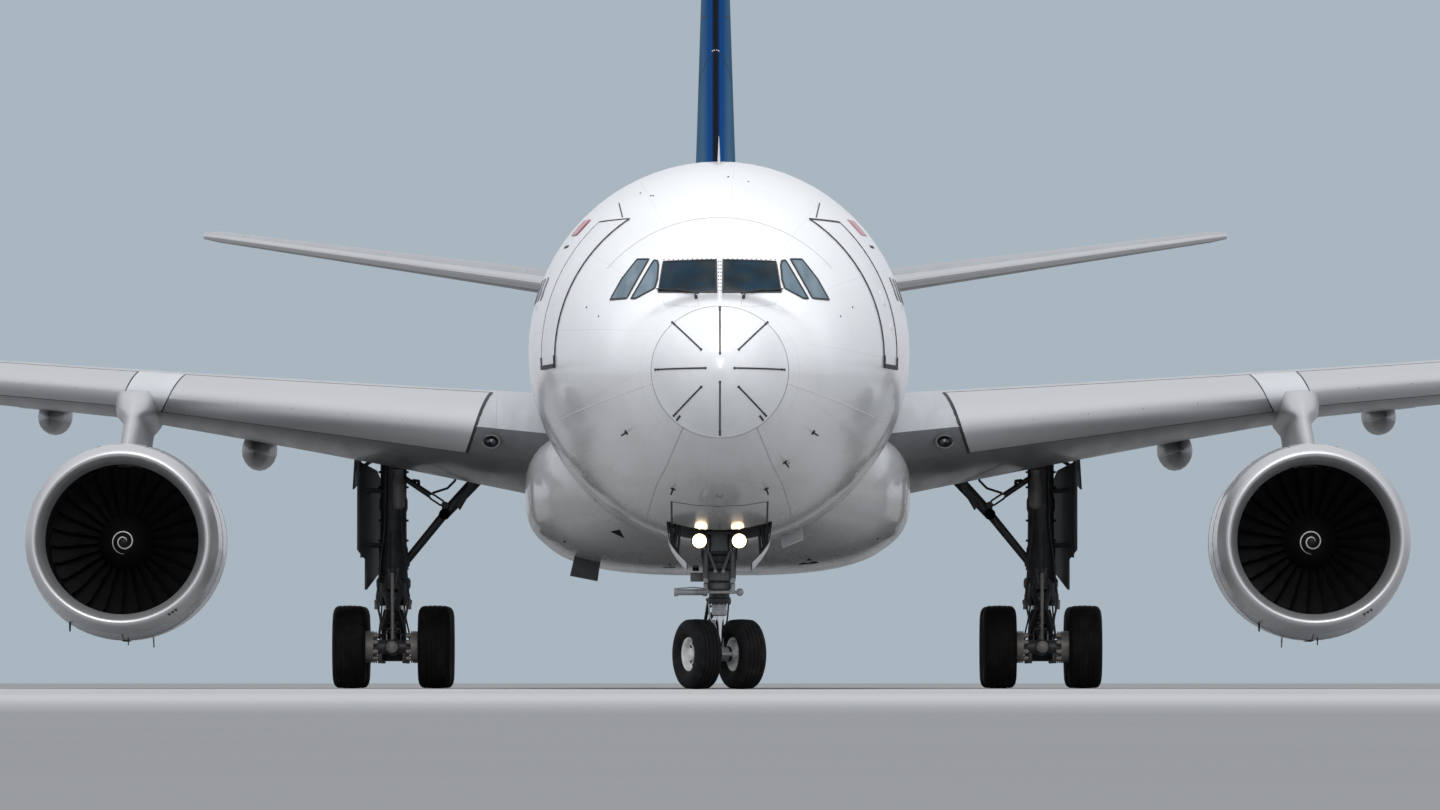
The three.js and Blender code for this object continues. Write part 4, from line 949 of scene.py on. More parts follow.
class AIRLINER_OT_cockpit(bpy.types.Operator):
    """Cockpit panes with their seals, wipers and the fasteners of their frames"""

    bl_idname = "airliner.cockpit"
    bl_label = "Cockpit glass"

    def execute(self, context):
        bm = bmesh.new()
        seals = bmesh.new()
        for name, outline in PANES.items():
            for _, side in SIDES:
                first = len(bm.faces)
                thickened(bm, pane(outline, side), 0.009)
                strip(seals, front_places([*outline, outline[0]], side, 8), SEAL_WIDTH, 0.012)
                painted_from(bm, first, int(name != "front"))
        piece(bm, "cockpit_panes", "airframe", [FINISHES["glass"], FINISHES["side_glass"]],
              replaces=["cockpit_glazing"], sharp=40)
        piece(seals, "cockpit_seals", "airframe", FINISHES["seal"])
        wipers = bmesh.new()
        dots = bmesh.new()
        for _, side in SIDES:
            pipe(wipers, [on_skin(*p, 0.022) for p in front_places(WIPER_BLADE, side)], 0.01)
            pipe(wipers, [on_skin(*p, 0.045) for p in front_places(WIPER_ARM, side, 3)], 0.009)
            rod(wipers, on_skin(*facing(side * 0.33, 5.5), 0), on_skin(*facing(side * 0.33, 5.5), 0.05), 0.022)
            top = [(side * x, 6.098) for x in steps(0.05, 0.79, 11)]
            post = [(side * 0.016, z) for z in steps(5.63, 6.06, 8)]
            for x, z in top + post:
                knob(dots, x, z, FRAME_DOT, 0.003, -0.004, 8)
        piece(wipers, "wipers", "airframe", FINISHES["seal"])
        piece(dots, "window_frame_fasteners", "airframe", FINISHES["seal"])
        return {"FINISHED"}


# Doors and cabin windows on the sides. Passenger doors: front and rear station, sill and head height
PASSENGER_DOORS = {
    "door_1": (5.03, 6.18, 4.68, 6.76), "door_2": (15.2, 16.3, 4.68, 6.7),
    "door_3": (36.3, 37.1, 4.72, 6.45), "door_4": (46.2, 47.3, 4.72, 6.7),
}
WINDOW_ROW = (7.48, 46.0)
WINDOW_Z, WINDOW_CORNER = 5.84, 0.085


def side_place(side):
    return lambda station, z, out: on_skin(station, angle_at_height(station, z, side), out)


def is_window_free(station):
    return all(not (front - 0.25 < station < rear + 0.25) for front, rear, _, _ in PASSENGER_DOORS.values())


class AIRLINER_OT_doors(bpy.types.Operator):
    """Passenger doors with their gaps, windows, handles and sills, and the two cargo doors"""

    bl_idname = "airliner.doors"
    bl_label = "Doors"

    def execute(self, context):
        s = sizes()
        for side_name, side in SIDES:
            bm = bmesh.new()
            place = side_place(side)
            for front, rear, sill, head in PASSENGER_DOORS.values():
                patch(bm, ((front, rear), (sill, head)), 6, 16, place, 0.06, 0.004)
                middle = mix(front, rear, 0.62)
                patch(bm, ((middle - 0.07, middle + 0.07), (5.54, 5.76)), 2, 4, place, 0.05, 0.012, 0.03)
                patch(bm, ((rear - 0.42, rear - 0.2), (5.2, 5.27)), 2, 1, place, 0.02, 0.012, 0.012)
                first = len(bm.faces)
                across, up = steps(front, rear, 6), steps(sill, head, 20)
                for line, width, out in (
                    ([(front, z) for z in up], s.seam, 0.011), ([(rear, z) for z in up], s.seam, 0.011),
                    ([(t, head) for t in across], s.seam, 0.011),
                    ([(t, sill - 0.03) for t in across], 0.06, 0.03),
                    ([(front, sill - 0.04), (front, sill + 0.12)], 0.05, 0.024),
                    ([(rear, sill - 0.04), (rear, sill + 0.12)], 0.05, 0.024),
                ):
                    strip(bm, [(t, angle_at_height(t, z, side)) for t, z in line], width, out)
                painted_from(bm, first, 1)
            piece(bm, "passenger_doors_" + side_name, "airframe", [FINISHES["white"], FINISHES["seal"]],
                  sharp=40)
        for name, (front, rear, sill, head) in CARGO_DOORS.items():
            make_cargo_door(name, front + DOOR_GAP, rear - DOOR_GAP, sill + DOOR_GAP, head - CARGO_TOP_GAPS[name])
        return {"FINISHED"}


def make_cargo_door(name, front, rear, sill, head):
    """A cargo door: outer skin, ribbed inside, with its handle recess and vent flaps"""
    place = side_place(-1)
    outer, panel = bmesh.new(), bmesh.new()
    patch(outer, ((front, rear), (sill, head)), 8, 12, place, 0.05, 0.002, 0.02)
    bmesh.ops.create_grid(panel, x_segments=8, y_segments=12, size=0.5)
    across, up = (front + 0.004, rear - 0.004), (sill + 0.004, head - 0.004)
    for v in panel.verts:
        v.co = place(mix(*across, v.co.x + 0.5), mix(*up, v.co.y + 0.5), -0.004)
    if sum(f.normal.x for f in straightened(panel).faces) > 0:
        bmesh.ops.reverse_faces(panel, faces=panel.faces)
    bmesh.ops.solidify(panel, geom=panel.faces[:], thickness=0.11)
    absorbed(outer, panel)
    patch(outer, ((mix(front, rear, 0.44), mix(front, rear, 0.56)), (sill + 0.16, sill + 0.26)), 2, 1, place,
          0.03, 0.006, 0.015)
    for share in (0.22, 0.78):
        middle = mix(front, rear, share)
        patch(outer, ((middle - 0.12, middle + 0.12), (sill + 0.5, sill + 0.6)), 2, 1, place, 0.02, 0.006, 0.012)
    for t in steps(front + 0.25, rear - 0.25, 5):
        pipe(outer, [place(t, z, -0.135) for z in steps(sill + 0.06, head - 0.16, 8)], 0.024)
    piece(outer, name + "_panel", name, [FINISHES["white"], FINISHES["seal"]], replaces=[name],
          sharp=40)


class AIRLINER_OT_windows(bpy.types.Operator):
    """Both rows of cabin windows, each a rounded frame round dark glass"""

    bl_idname = "airliner.windows"
    bl_label = "Cabin windows"

    def execute(self, context):
        s = sizes()
        count = int((WINDOW_ROW[1] - WINDOW_ROW[0]) / s.window_pitch)
        for side_name, side in SIDES:
            bm = bmesh.new()
            place = side_place(side)
            for i in range(count + 1):
                station = WINDOW_ROW[0] + i * s.window_pitch
                if not is_window_free(station):
                    continue
                across = (station - s.window_width / 2, station + s.window_width / 2)
                rise = (WINDOW_Z - s.window_height / 2, WINDOW_Z + s.window_height / 2)
                patch(bm, (across, rise), 1, 2, place, WINDOW_CORNER, s.proud, 0.014)
            piece(bm, "cabin_windows_" + side_name, "airframe", [FINISHES["cabin"], FINISHES["gear"]],
                  sharp=40)
        return {"FINISHED"}


# Lifting surfaces, drawn from the rows of their tables
FOIL_STEPS = 22
FOIL_SHARES = {round((1 - math.cos(math.pi * i / FOIL_STEPS)) / 2, 4) for i in range(FOIL_STEPS + 1)}
SLAT_TOP, SLAT_LOW = 0.125, 0.05
TRAILING_SHARE = 0.75
MOVING_GAP = 0.014
NOSE_CLEAR = 0.012
NOSE_INSET = 0.004
LOOKS_DOWN = -0.15
UP = Vector((0, 0, 1))
WINGLET_BEND = (29.9, 37.06, 6.68, 2.044, 0.09, 0, 0)


def foil_half(u):
    return 5 * (0.2969 * math.sqrt(u) - 0.126 * u - 0.3516 * u**2 + 0.2843 * u**3 - 0.1036 * u**4) + 0.012 * u


def foil_frame(row):
    """Leading-edge point, chord vector and its normal, as long as the chord, of a row of a wing's table"""
    x, station, z, chord, _, incidence, cant = row
    turn, lean = math.radians(incidence), math.radians(cant)
    along = Vector((0, math.cos(turn), -math.sin(turn)))
    across = Vector((-math.sin(lean), math.sin(turn) * math.cos(lean), math.cos(turn) * math.cos(lean)))
    return full(x, station, z), along * chord, across * chord


def foil_point(row, u, top, camber, out=0.0):
    """A point of a section at a share of its chord, on its upper side for 1 and its lower side for -1"""
    start, along, across = foil_frame(row)
    w = 4 * camber * u * (1 - u) + top * row[4] * foil_half(u)
    return start + along * u + across * w + across.normalized() * (out * top)


def foil_ring(row, camber=0.0):
    upper = [foil_point(row, u, 1, camber) for u in sorted(FOIL_SHARES | {SLAT_TOP}, reverse=True)]
    lower = [foil_point(row, u, -1, camber) for u in sorted(FOIL_SHARES | {SLAT_LOW})[1:]]
    return upper + lower


def wing_row(x):
    return section_at(WING[:3], x)


def winglet_row(t):
    """A row of the winglet, which bends upwards as it leaves the wing"""
    a, b, c = WING[2], WINGLET_BEND, WING[4]
    row = [p * (1 - t) ** 2 + q * 2 * t * (1 - t) + r * t * t for p, q, r in zip(a, b, c)]
    rise = [(b[k] - a[k]) * (1 - t) + (c[k] - b[k]) * t for k in (0, 2)]
    row[6] = math.degrees(math.atan2(rise[1], rise[0]))
    return row


def wing_shell():
    spans = steps(2.0, 9.9, 7) + steps(9.9, 28.9, 16)[1:]
    rows = [wing_row(x) for x in spans] + [winglet_row(t) for t in steps(0, 1, 14)[1:]]
    return loft(bmesh.new(), [foil_ring(row, WING_CAMBER) for row in rows])


def middle_point(table, x, share, camber):
    """The middle surface, straight between the two rows of the table beside x"""
    i, t = row_span(table, x)
    ends = []
    for _, station, z, chord, _, incidence, _ in table[i - 1:i + 1]:
        turn = math.radians(incidence)
        mean = 4 * camber * share * (1 - share) * chord
        back = share * chord
        ends.append(full(x, station + back * math.cos(turn), z - back * math.sin(turn) + mean))
    return ends[0].lerp(ends[1], t)


def half_at(table, x, share):
    i, t = row_span(table, x)
    a, b = (row[3] * row[4] * foil_half(share) for row in table[i - 1:i + 1])
    return mix(a, b, t)


def block_behind(start, end, up, aft, height, front=0.0, ends=0.0):
    """The block behind a hinge line and square to it, grown at its front and its ends"""
    ex = (end - start).normalized()
    ey = up.cross(ex).normalized()
    ez = ex.cross(ey)
    size = ((end - start).length + 2 * ends, aft + front, height)
    turn = Matrix((ex, ey, ez)).transposed().to_4x4()
    place = Matrix.Translation((start + end) / 2 + ey * (aft - front) / 2) @ turn
    bm = bmesh.new()
    bmesh.ops.create_cube(bm, size=1, matrix=place @ Matrix.Diagonal((*size, 1)))
    return bm


def split_surface(whole, start, end, radii, up, room, travel, trim=None):
    """A control surface with a round nose, and what is left of the surface that carries it"""
    reach = (end - start).normalized() * MOVING_GAP
    lip = max(radii) * math.tan(math.radians(travel) / 2) + MOVING_GAP
    nose = rod(bmesh.new(), start, end, *radii, segments=32)
    inner = block_behind(start, end, up, *room)
    cove = rod(bmesh.new(), start - reach, end + reach, *(r + NOSE_CLEAR for r in radii), segments=48)
    cutters = [block_behind(start, end, up, *room, lip, MOVING_GAP), cove]
    if trim:
        low, high, gap = trim

        def trimmed(bm, gap=0):
            box = (-2, start.y - 8, low - gap), (2, end.y + 8, high + gap)
            return carved(bm, [brick(bmesh.new(), *box)], "INTERSECT")

        nose, inner = trimmed(nose), trimmed(inner)
        cutters = [trimmed(cutter, gap) for cutter in cutters]
    moving = absorbed(carved(whole.copy(), [inner], "INTERSECT"), nose)
    return moving, carved(whole, cutters)


def other_side(bm):
    bmesh.ops.scale(bm, vec=(-1, 1, 1), verts=bm.verts)
    bmesh.ops.reverse_faces(bm, faces=bm.faces)
    return bm


def control_surface(bm, name, paints):
    """The two pieces of a flap, an aileron or an elevator"""
    pair(shade_painted_below(bm, 1), name + "_skin", paints, name + "_{}", [name + "_{}"], "grey_paint", 28)


def shade_painted_below(bm, index):
    """Gives the faces that look down another of the piece's materials, the darker copy of the paint that is painted
    shade on the undersides
    """
    for face in straightened(bm).faces:
        if face.material_index == 0 and face.normal.z < LOOKS_DOWN:
            face.material_index = index
    return bm


def pair(bm, name, materials, body="airframe", replaces=(), slot=None, sharp=35, recalculate=True):
    """A port piece and its mirror image. Bodies and nodes take the side's name in place of {}."""
    for (side, _), made in zip(SIDES, (bm, other_side(bm.copy()))):
        piece(made, name + "_" + side, body.format(side), materials, [node.format(side) for node in replaces],
              sharp, recalculate)


# Wing: what moves on it, its rails, track fairings, slats and spoilers
SURFACES = {
    "flap_inboard": (3.5, 9.25), "flap_outboard": (10.25, 19.7),
    "aileron_inboard": (19.98, 23.9), "aileron_outboard": (24.15, 28.2),
}
FLAP_CHORDS = (2.05, 1.9)
FLAP_ROOM, AILERON_ROOM = (4.2, 2.6), (1.6, 0.9)
AILERON_TRAVEL = 25
FLAP_AXIS_DROP = 1.25
FLAP_RAILS = {"flap_inboard": (4.4, 7.45), "flap_outboard": (10.9, 18.05)}
RAIL_ANGLES = (-8, 34)
RAIL_HALF = (0.03, 0.045)
# Track fairings: x, front and rear station, radius
CANOES = [(7.6, 27.4, 32.3, 0.28), (11.05, 28.7, 33.2, 0.26), (14.6, 30.6, 34.6, 0.23), (18.2, 32.5, 36.0, 0.2)]
CANOE_SHAPE = [(0, 0.05), (0.04, 0.32), (0.2, 0.85), (0.55, 1), (0.85, 0.5), (0.97, 0.16), (1, 0.05)]
# Slats: x of their inner and outer end, each at the top and at the bottom. The pylon's fixed edge is left out.
SLATS = [((3.6, 3.98), (8.6, 8.97)), ((9.38, 9.67), (14.4, 14.4)), ((14.4, 14.4), (18.9, 18.9)),
         ((18.9, 18.9), (23.4, 23.4)), ((23.4, 23.4), (28.1, 28.1))]
SLAT_NOSE = 0.6
SPOILERS = [(4.1, 6.3), (6.3, 8.5), (10.5, 12.3), (12.3, 14.1), (14.1, 15.9), (15.9, 17.7), (17.7, 19.5)]
PYLON_EDGE = (8.8, 9.9)
# Rows along the span: x of the first and the last, and the steps between them
STUDS, WICKS, TANK_PANELS = (5.0, 26.5, 24), (20.4, 28.0, 9), (11.2, 26.4, 14)
PANEL_HALF, PANEL_FRONT_SHARE, PANEL_LENGTH, PANEL_CORNER = 0.3, 0.36, 0.42, 0.19


def hinge_line(name):
    ends = []
    for i, x in enumerate(SURFACES[name]):
        share = 1 - FLAP_CHORDS[i] / wing_row(x)[3] if name == "flap_inboard" else TRAILING_SHARE
        ends.append(middle_point(WING, x, share, WING_CAMBER))
    return ends


def canoe(x, front, rear, radius):
    rings = []
    for t in steps(0, 1, 26):
        station = mix(front, rear, t)
        lead, chord = wing_row(x)[1], wing_row(x)[3]
        share = min(1.0, (station - lead) / chord)
        under = middle_point(WING, x, share, WING_CAMBER).z - half_at(WING, x, share)
        size = radius * eased_at(CANOE_SHAPE, t)[1]
        middle = under - 0.45 * radius
        rings.append([
            full(x + size * math.cos(a), station, middle + 1.25 * size * math.sin(a)) for a in turns(20)
        ])
    return loft(bmesh.new(), rings)


def flap_rail(bm, start, end, x):
    """A curved rail about the flap's hinge line, which slides in its slot in the wing"""
    ex = (end - start).normalized()
    edge = start.lerp(end, (x - start.x) / (end.x - start.x))
    radial = (UP - ex * UP.dot(ex)) * FLAP_AXIS_DROP
    ur = radial.normalized()
    uf = ex.cross(ur)
    centre = edge - radial
    rings = []
    for a in (math.radians(v) for v in steps(*RAIL_ANGLES, 14)):
        out = ur * math.cos(a) + uf * math.sin(a)
        rings.append([
            centre + out * (radial.length + dr) + ex * dx
            for dr, dx in ((-RAIL_HALF[1], -RAIL_HALF[0]), (RAIL_HALF[1], -RAIL_HALF[0]),
                           (RAIL_HALF[1], RAIL_HALF[0]), (-RAIL_HALF[1], RAIL_HALF[0]))
        ])
    return loft(bm, rings)


def wing_point(x, u, top, out=0.0):
    return foil_point(wing_row(x), u, top, WING_CAMBER, out)


def wing_place(top):
    """Puts a patch on the wing by its x and its share of the chord"""
    return lambda x, u, out: wing_point(x, u, top, out)


def span_line(low, high, u, top, lift=0.001):
    places = []
    for x in steps(low, high, 16):
        p = wing_point(x, u, top, lift)
        places.append((p, (wing_point(x, u, top, 1.0) - p).normalized()))
    return places


def slat_point(x, t, out=0.0):
    """A point of the leading edge, from the slat's top edge at t = 0 round the nose to its low edge at t = 1"""
    def at(t):
        if t < SLAT_NOSE:
            return wing_point(x, SLAT_TOP * (1 - t / SLAT_NOSE) ** 2, 1)
        return wing_point(x, SLAT_LOW * ((t - SLAT_NOSE) / (1 - SLAT_NOSE)) ** 2, -1)

    away = (at(t + 0.01) - at(t - 0.01)).cross(Vector((1, 0, 0))).normalized()
    return at(t) + away * out


def slat(bm, ends):
    """A slat's skin, laid round the wing's nose between two slanted ends"""
    rings = []
    for share in steps(0, 1, 14):
        spots = [(mix(mix(*ends[0], t), mix(*ends[1], t), share), t) for t in steps(0, 1, 22)]
        rings.append([slat_point(x, t, 0.006) for x, t in spots]
                     + [slat_point(x, t, -0.006) for x, t in reversed(spots)])
    return loft(bm, rings)


def end_line(end):
    """Places along a slat's slanted end"""
    spots = [(mix(*end, t), t) for t in steps(0, 1, 18)]
    return [(slat_point(x, t, 0.006), (slat_point(x, t, 1.0) - slat_point(x, t)).normalized()) for x, t in spots]


class AIRLINER_OT_wings(bpy.types.Operator):
    """Wings with their slats, flaps, ailerons, spoilers, track fairings and lamps"""

    bl_idname = "airliner.wings"
    bl_label = "Wings"

    def execute(self, context):
        paints = [FINISHES["wing"], FINISHES["wing_low"]]
        wing = wing_shell()
        canoes = bmesh.new()
        shapes = [canoe(*row) for row in CANOES]
        for name in ("flap_inboard", "flap_outboard"):
            start, end = hinge_line(name)
            low, high = SURFACES[name]
            block, grown = (start, end, UP, *FLAP_ROOM), (start, end, UP, *FLAP_ROOM, MOVING_GAP, MOVING_GAP)
            moving = carved(wing.copy(), [block_behind(*block)], "INTERSECT")
            for i, (row, shape) in enumerate(zip(CANOES, shapes)):
                if low < row[0] < high:
                    absorbed(moving, carved(shape.copy(), [block_behind(*block)], "INTERSECT"))
                    shapes[i] = carved(shape, [block_behind(*grown)])
            for x in FLAP_RAILS[name]:
                flap_rail(moving, start, end, x)
            control_surface(moving, name, paints)
            wing = carved(wing, [block_behind(*grown)])
        for name in ("aileron_inboard", "aileron_outboard"):
            start, end = hinge_line(name)
            radii = [half_at(WING, x, TRAILING_SHARE) - NOSE_INSET for x in SURFACES[name]]
            moving, wing = split_surface(wing, start, end, radii, UP, AILERON_ROOM, AILERON_TRAVEL)
            control_surface(moving, name, paints)
        pair(shade_painted_below(wing, 1), "wing_skin", paints, replaces=["wing_{}"], slot="grey_paint", sharp=28)
        slats = bmesh.new()
        for ends in SLATS:
            slat(slats, ends)
        pair(slats, "slat_skins", FINISHES["metal"], slot="bare_metal", sharp=40)
        for shape in shapes:
            absorbed(canoes, shape)
        pair(shade_painted_below(canoes, 1), "track_fairings", paints, slot="grey_paint", sharp=40)
        make_wing_details()
        make_wing_lamps()
        return {"FINISHED"}


def make_wing_details():
    """Slat gaps, spoilers, tank panels, static wicks and the fixed edge over the pylon"""
    dark = bmesh.new()
    for ends in SLATS:
        for side, u, width in ((0, SLAT_TOP, 0.022), (1, SLAT_LOW, 0.018)):
            ribbon(dark, span_line(ends[0][side], ends[1][side], u, 1 - 2 * side), width, 0.008)
        for end, width in zip(ends, (0.05 if ends == SLATS[0] else 0.022, 0.022)):
            ribbon(dark, end_line(end), width)
    for x in steps(*STUDS):
        if not PYLON_EDGE[0] - 0.4 < x < PYLON_EDGE[1] + 0.4:
            p = wing_point(x, 0.0, -1)
            rod(dark, p + Vector((0, -0.004, 0)), p + Vector((0, 0.02, 0)), 0.012, segments=8)
    for x in steps(*WICKS):
        tail = wing_point(x, 1.0, 1)
        rod(dark, tail + Vector((0, -0.05, 0)), tail + Vector((0.02, 0.16, 0)), 0.006, 0.003, segments=6)
    pair(dark, "wing_gaps_and_wicks", FINISHES["seal"], slot="dark_metal")
    panels = bmesh.new()
    for low, high in SPOILERS:
        last = 1 - FLAP_CHORDS[0] / wing_row(mix(low, high, 0.5))[3] if high < PYLON_EDGE[0] else TRAILING_SHARE
        spots = ((low + 0.02, high - 0.02), (last - 0.13, last - 0.015))
        patch(panels, spots, 6, 3, wing_place(1), 0.02, 0.005, 0.016)
    for x in steps(*TANK_PANELS):
        chord = wing_row(x)[3]
        front = PANEL_FRONT_SHARE * chord
        spots = ((x - PANEL_HALF, x + PANEL_HALF), (front, front + PANEL_LENGTH))

        def below(across, aft, out):
            return wing_place(-1)(across, aft / chord, out)

        patch(panels, spots, 2, 4, below, PANEL_CORNER, 0.004, 0.018)
    paints = [FINISHES["wing"], FINISHES["seal"], FINISHES["wing_low"]]
    pair(shade_painted_below(panels, 2), "spoilers_and_tank_panels", paints, slot="grey_paint", sharp=45)
    edge = slat(bmesh.new(), (SLATS[0][1], SLATS[1][0]))
    pair(edge, "pylon_edge_panel", FINISHES["cowl"], slot="grey_paint", sharp=50)


LANDING_LAMP = full(3.58, 20.6, 3.895)


def lamp_bowl(bm, centre, radius, depth, aim=(0, 1, 0), flat=1.0):
    """A ringed bowl with a lamp in it: material 0 rings it, 1 lines it and 2 is the lamp's glass"""
    made = bmesh.new()
    spun(made, [(radius, 0.0), (radius * 0.9, -0.01), (radius * 0.8, 0.0), (0.02, depth), (0.0, depth),
                (0.0, depth + 0.02), (radius, depth + 0.02)], centre, aim, 28)
    first = len(made.faces)
    spun(made, [(0.0, depth * 0.15), (radius * 0.3, depth * 0.2), (radius * 0.5, depth * 0.35),
                (radius * 0.5, depth * 0.5), (0.0, depth * 0.5)], centre, aim, 24)
    made.faces.ensure_lookup_table()
    aim = Vector(aim).normalized()
    for face in made.faces:
        away = face.calc_center_median() - Vector(centre)
        inside = away.dot(aim) > 0.003 and (away - aim * away.dot(aim)).length < radius * 0.82
        face.material_index = 2 if face.index >= first else 1 if inside else 0
    bmesh.ops.scale(made, vec=(1, 1, flat), space=Matrix.Translation(-Vector(centre)), verts=made.verts)
    return absorbed(bm, made)


def make_wing_lamps():
    bowl = bmesh.new()
    lamp_bowl(bowl, LANDING_LAMP, 0.15, 0.12, flat=0.76)
    pair(bowl, "wing_root_lamp", [FINISHES["gear_mid"], FINISHES["duct"], FINISHES["cabin"]], slot="bare_metal")
    for (side, sign), tint in zip(SIDES, ("red", "green")):
        lens = bmesh.new()
        tip = foil_point(winglet_row(0.25), 0.0, 1, WING_CAMBER)
        bmesh.ops.create_icosphere(lens, subdivisions=3, radius=0.07, matrix=Matrix.Translation(tip))
        bmesh.ops.scale(lens, vec=(0.8, 2.2, 0.7), space=Matrix.Translation(-tip), verts=lens.verts)
        if sign < 0:
            other_side(lens)
        piece(lens, "position_lamp_" + side, "airframe", FINISHES[tint])


# Engines: their profiles are rows of (radius, station)
ENGINE_SEGMENTS = 84
FAN_STATION = 21.17
FAN_TIP_R = 1.185
LIP_END = 19.95
LIP = [(1.205, LIP_END), (1.222, 19.82), (1.24, 19.68), (1.268, 19.56), (1.3, 19.48), (1.332, 19.42), (1.365, 19.4),
       (1.395, 19.41), (1.425, 19.45), (1.455, 19.55), (1.49, 19.74), (1.522, LIP_END)]
COWL_OUTSIDE = [(1.522, LIP_END + 0.006), (1.553, 20.7), (1.562, 21.6), (1.53, 22.8), (1.42, 24.3), (1.24, 25.6),
                (1.06, 26.4)]
COWL_INSIDE = [(1.03, 26.4), (1.2, 24.2), (1.235, 21.6), (1.235, 20.8), (1.205, LIP_END + 0.006)]
CORE = [(0.45, 21.46), (0.78, 22.3), (0.86, 23.4), (0.78, 24.8), (0.6, 25.9)]
CORE_PLUG = [(0.42, 26.0), (0.36, 26.3), (0.24, 26.9), (0.1, 27.15), (0.0, 27.2)]
SPINNER = [(0.0, 20.4), (0.045, 20.415), (0.1, 20.47), (0.2, 20.58), (0.31, 20.79), (0.42, 21.0), (0.44, 21.43)]
SPIRAL_TURNS = 1.75
SPIRAL_R = (0.045, 0.2)
# Fan blade sections: radius, stagger angle, half chord, half thickness
BLADE = [(0.38, 24, 0.16, 0.022), (0.6, 36, 0.19, 0.017), (0.85, 49, 0.22, 0.013), (1.05, 58, 0.235, 0.01),
         (FAN_TIP_R, 63, 0.21, 0.008)]
VANES = 36
# Pylon: height at the front and rear, front and rear station, half width
PYLON = [(3.62, 3.2, 20.9, 26.3, 0.19), (3.95, 3.7, 21.6, 28.0, 0.185), (4.3, 4.05, 22.7, 28.9, 0.19),
         (4.5, 4.2, 23.15, 29.0, 0.34), (4.8, 4.5, 23.9, 28.6, 0.38)]
SPINNER_REAR, CORE_ENDS = 21.43, (21.46, 25.9)
# The cowl's seams round it and along it, the angles where its doors start and end, and its row of latches
COWL_SEAMS, COWL_SEAM_ENDS = (20.75, 22.75, 24.9), (19.97, 26.3)
COWL_DOORS = ((-math.pi * 0.5, math.pi * 0.42), (math.pi * 0.58, math.pi * 1.5))
LATCHES = (20.95, 24.7, 7)
VANE_BOX = (-0.012, 21.98, 0.66), (0.012, 22.42, 1.228)
PYLON_ACROSS = [(0, 0.05), (0.02, 0.32), (0.08, 0.7), (0.18, 0.9), (0.3, 1), (0.5, 0.95), (0.7, 0.8), (0.9, 0.32),
                (1, 0.08)]


def eased_line(points, count):
    """More points on a smooth curve through the given ones"""
    table = [(i, *p) for i, p in enumerate(points)]
    return [tuple(eased_at(table, t)[1:]) for t in steps(0, len(points) - 1, count * (len(points) - 1))]


def engine_centre(station=0.0):
    return full(ENGINE_X, station, ENGINE_Z)


def flat_share(p):
    """How much the cowl is squashed at a point: a little flat below, which fades out ahead of the fan"""
    return 1 - 0.06 * clamped((20.6 - p.y) / 0.9) if p.z < ENGINE_Z else 1.0


def squashed_inlet(bm):
    for v in bm.verts:
        v.co.z = ENGINE_Z + (v.co.z - ENGINE_Z) * flat_share(v.co)
    return bm


def round_radius(p):
    """A point's distance from the engine's axis before the squash"""
    return math.hypot(p.x - ENGINE_X, (p.z - ENGINE_Z) / flat_share(p))


def spinner_spiral(bm):
    """The spiral painted on the spinner, a thin line that tapers at both ends"""
    rings = []
    for t in steps(0, 1, 70):
        radius = mix(*SPIRAL_R, t)
        angle = math.tau * SPIRAL_TURNS * t
        half = 0.002 + 0.007 * min(1, 5 * t, 6 * (1 - t))
        ring = []
        for sign, lift in ((1, 0.004), (-1, 0.004), (-1, -0.01), (1, -0.01)):
            r = max(0.004, radius + sign * half)
            k = max(1, next((k for k, p in enumerate(SPINNER) if p[0] >= r), 1))
            (r0, s0), (r1, s1) = SPINNER[k - 1], SPINNER[k]
            station = mix(s0, s1, (r - r0) / (r1 - r0)) - lift
            ring.append(engine_centre(station) + Vector((math.cos(angle) * r, 0, math.sin(angle) * r)))
        rings.append(ring)
    return loft(bm, rings)


def at_engine(bm, sign):
    """Moves the port engine's shapes to the engine of a side"""
    bmesh.ops.translate(bm, vec=((sign - 1) * ENGINE_X, 0, 0), verts=bm.verts)
    return bm


def fan_blade(bm, angle):
    rings = []
    turn = Matrix.Rotation(angle, 3, "Y")
    for radius, stagger, half, thick in BLADE:
        a = math.radians(stagger)
        chord, across = Vector((math.sin(a), math.cos(a), 0)), Vector((math.cos(a), -math.sin(a), 0))
        outline = ((-1, 0), (-0.4, 0.9), (0.3, 1), (1, 0), (0.3, -0.6), (-0.4, -0.7))
        rings.append([
            engine_centre() + turn @ (Vector((0, FAN_STATION, radius)) + chord * u * half + across * w * thick)
            for u, w in outline
        ])
    return loft(bm, rings)


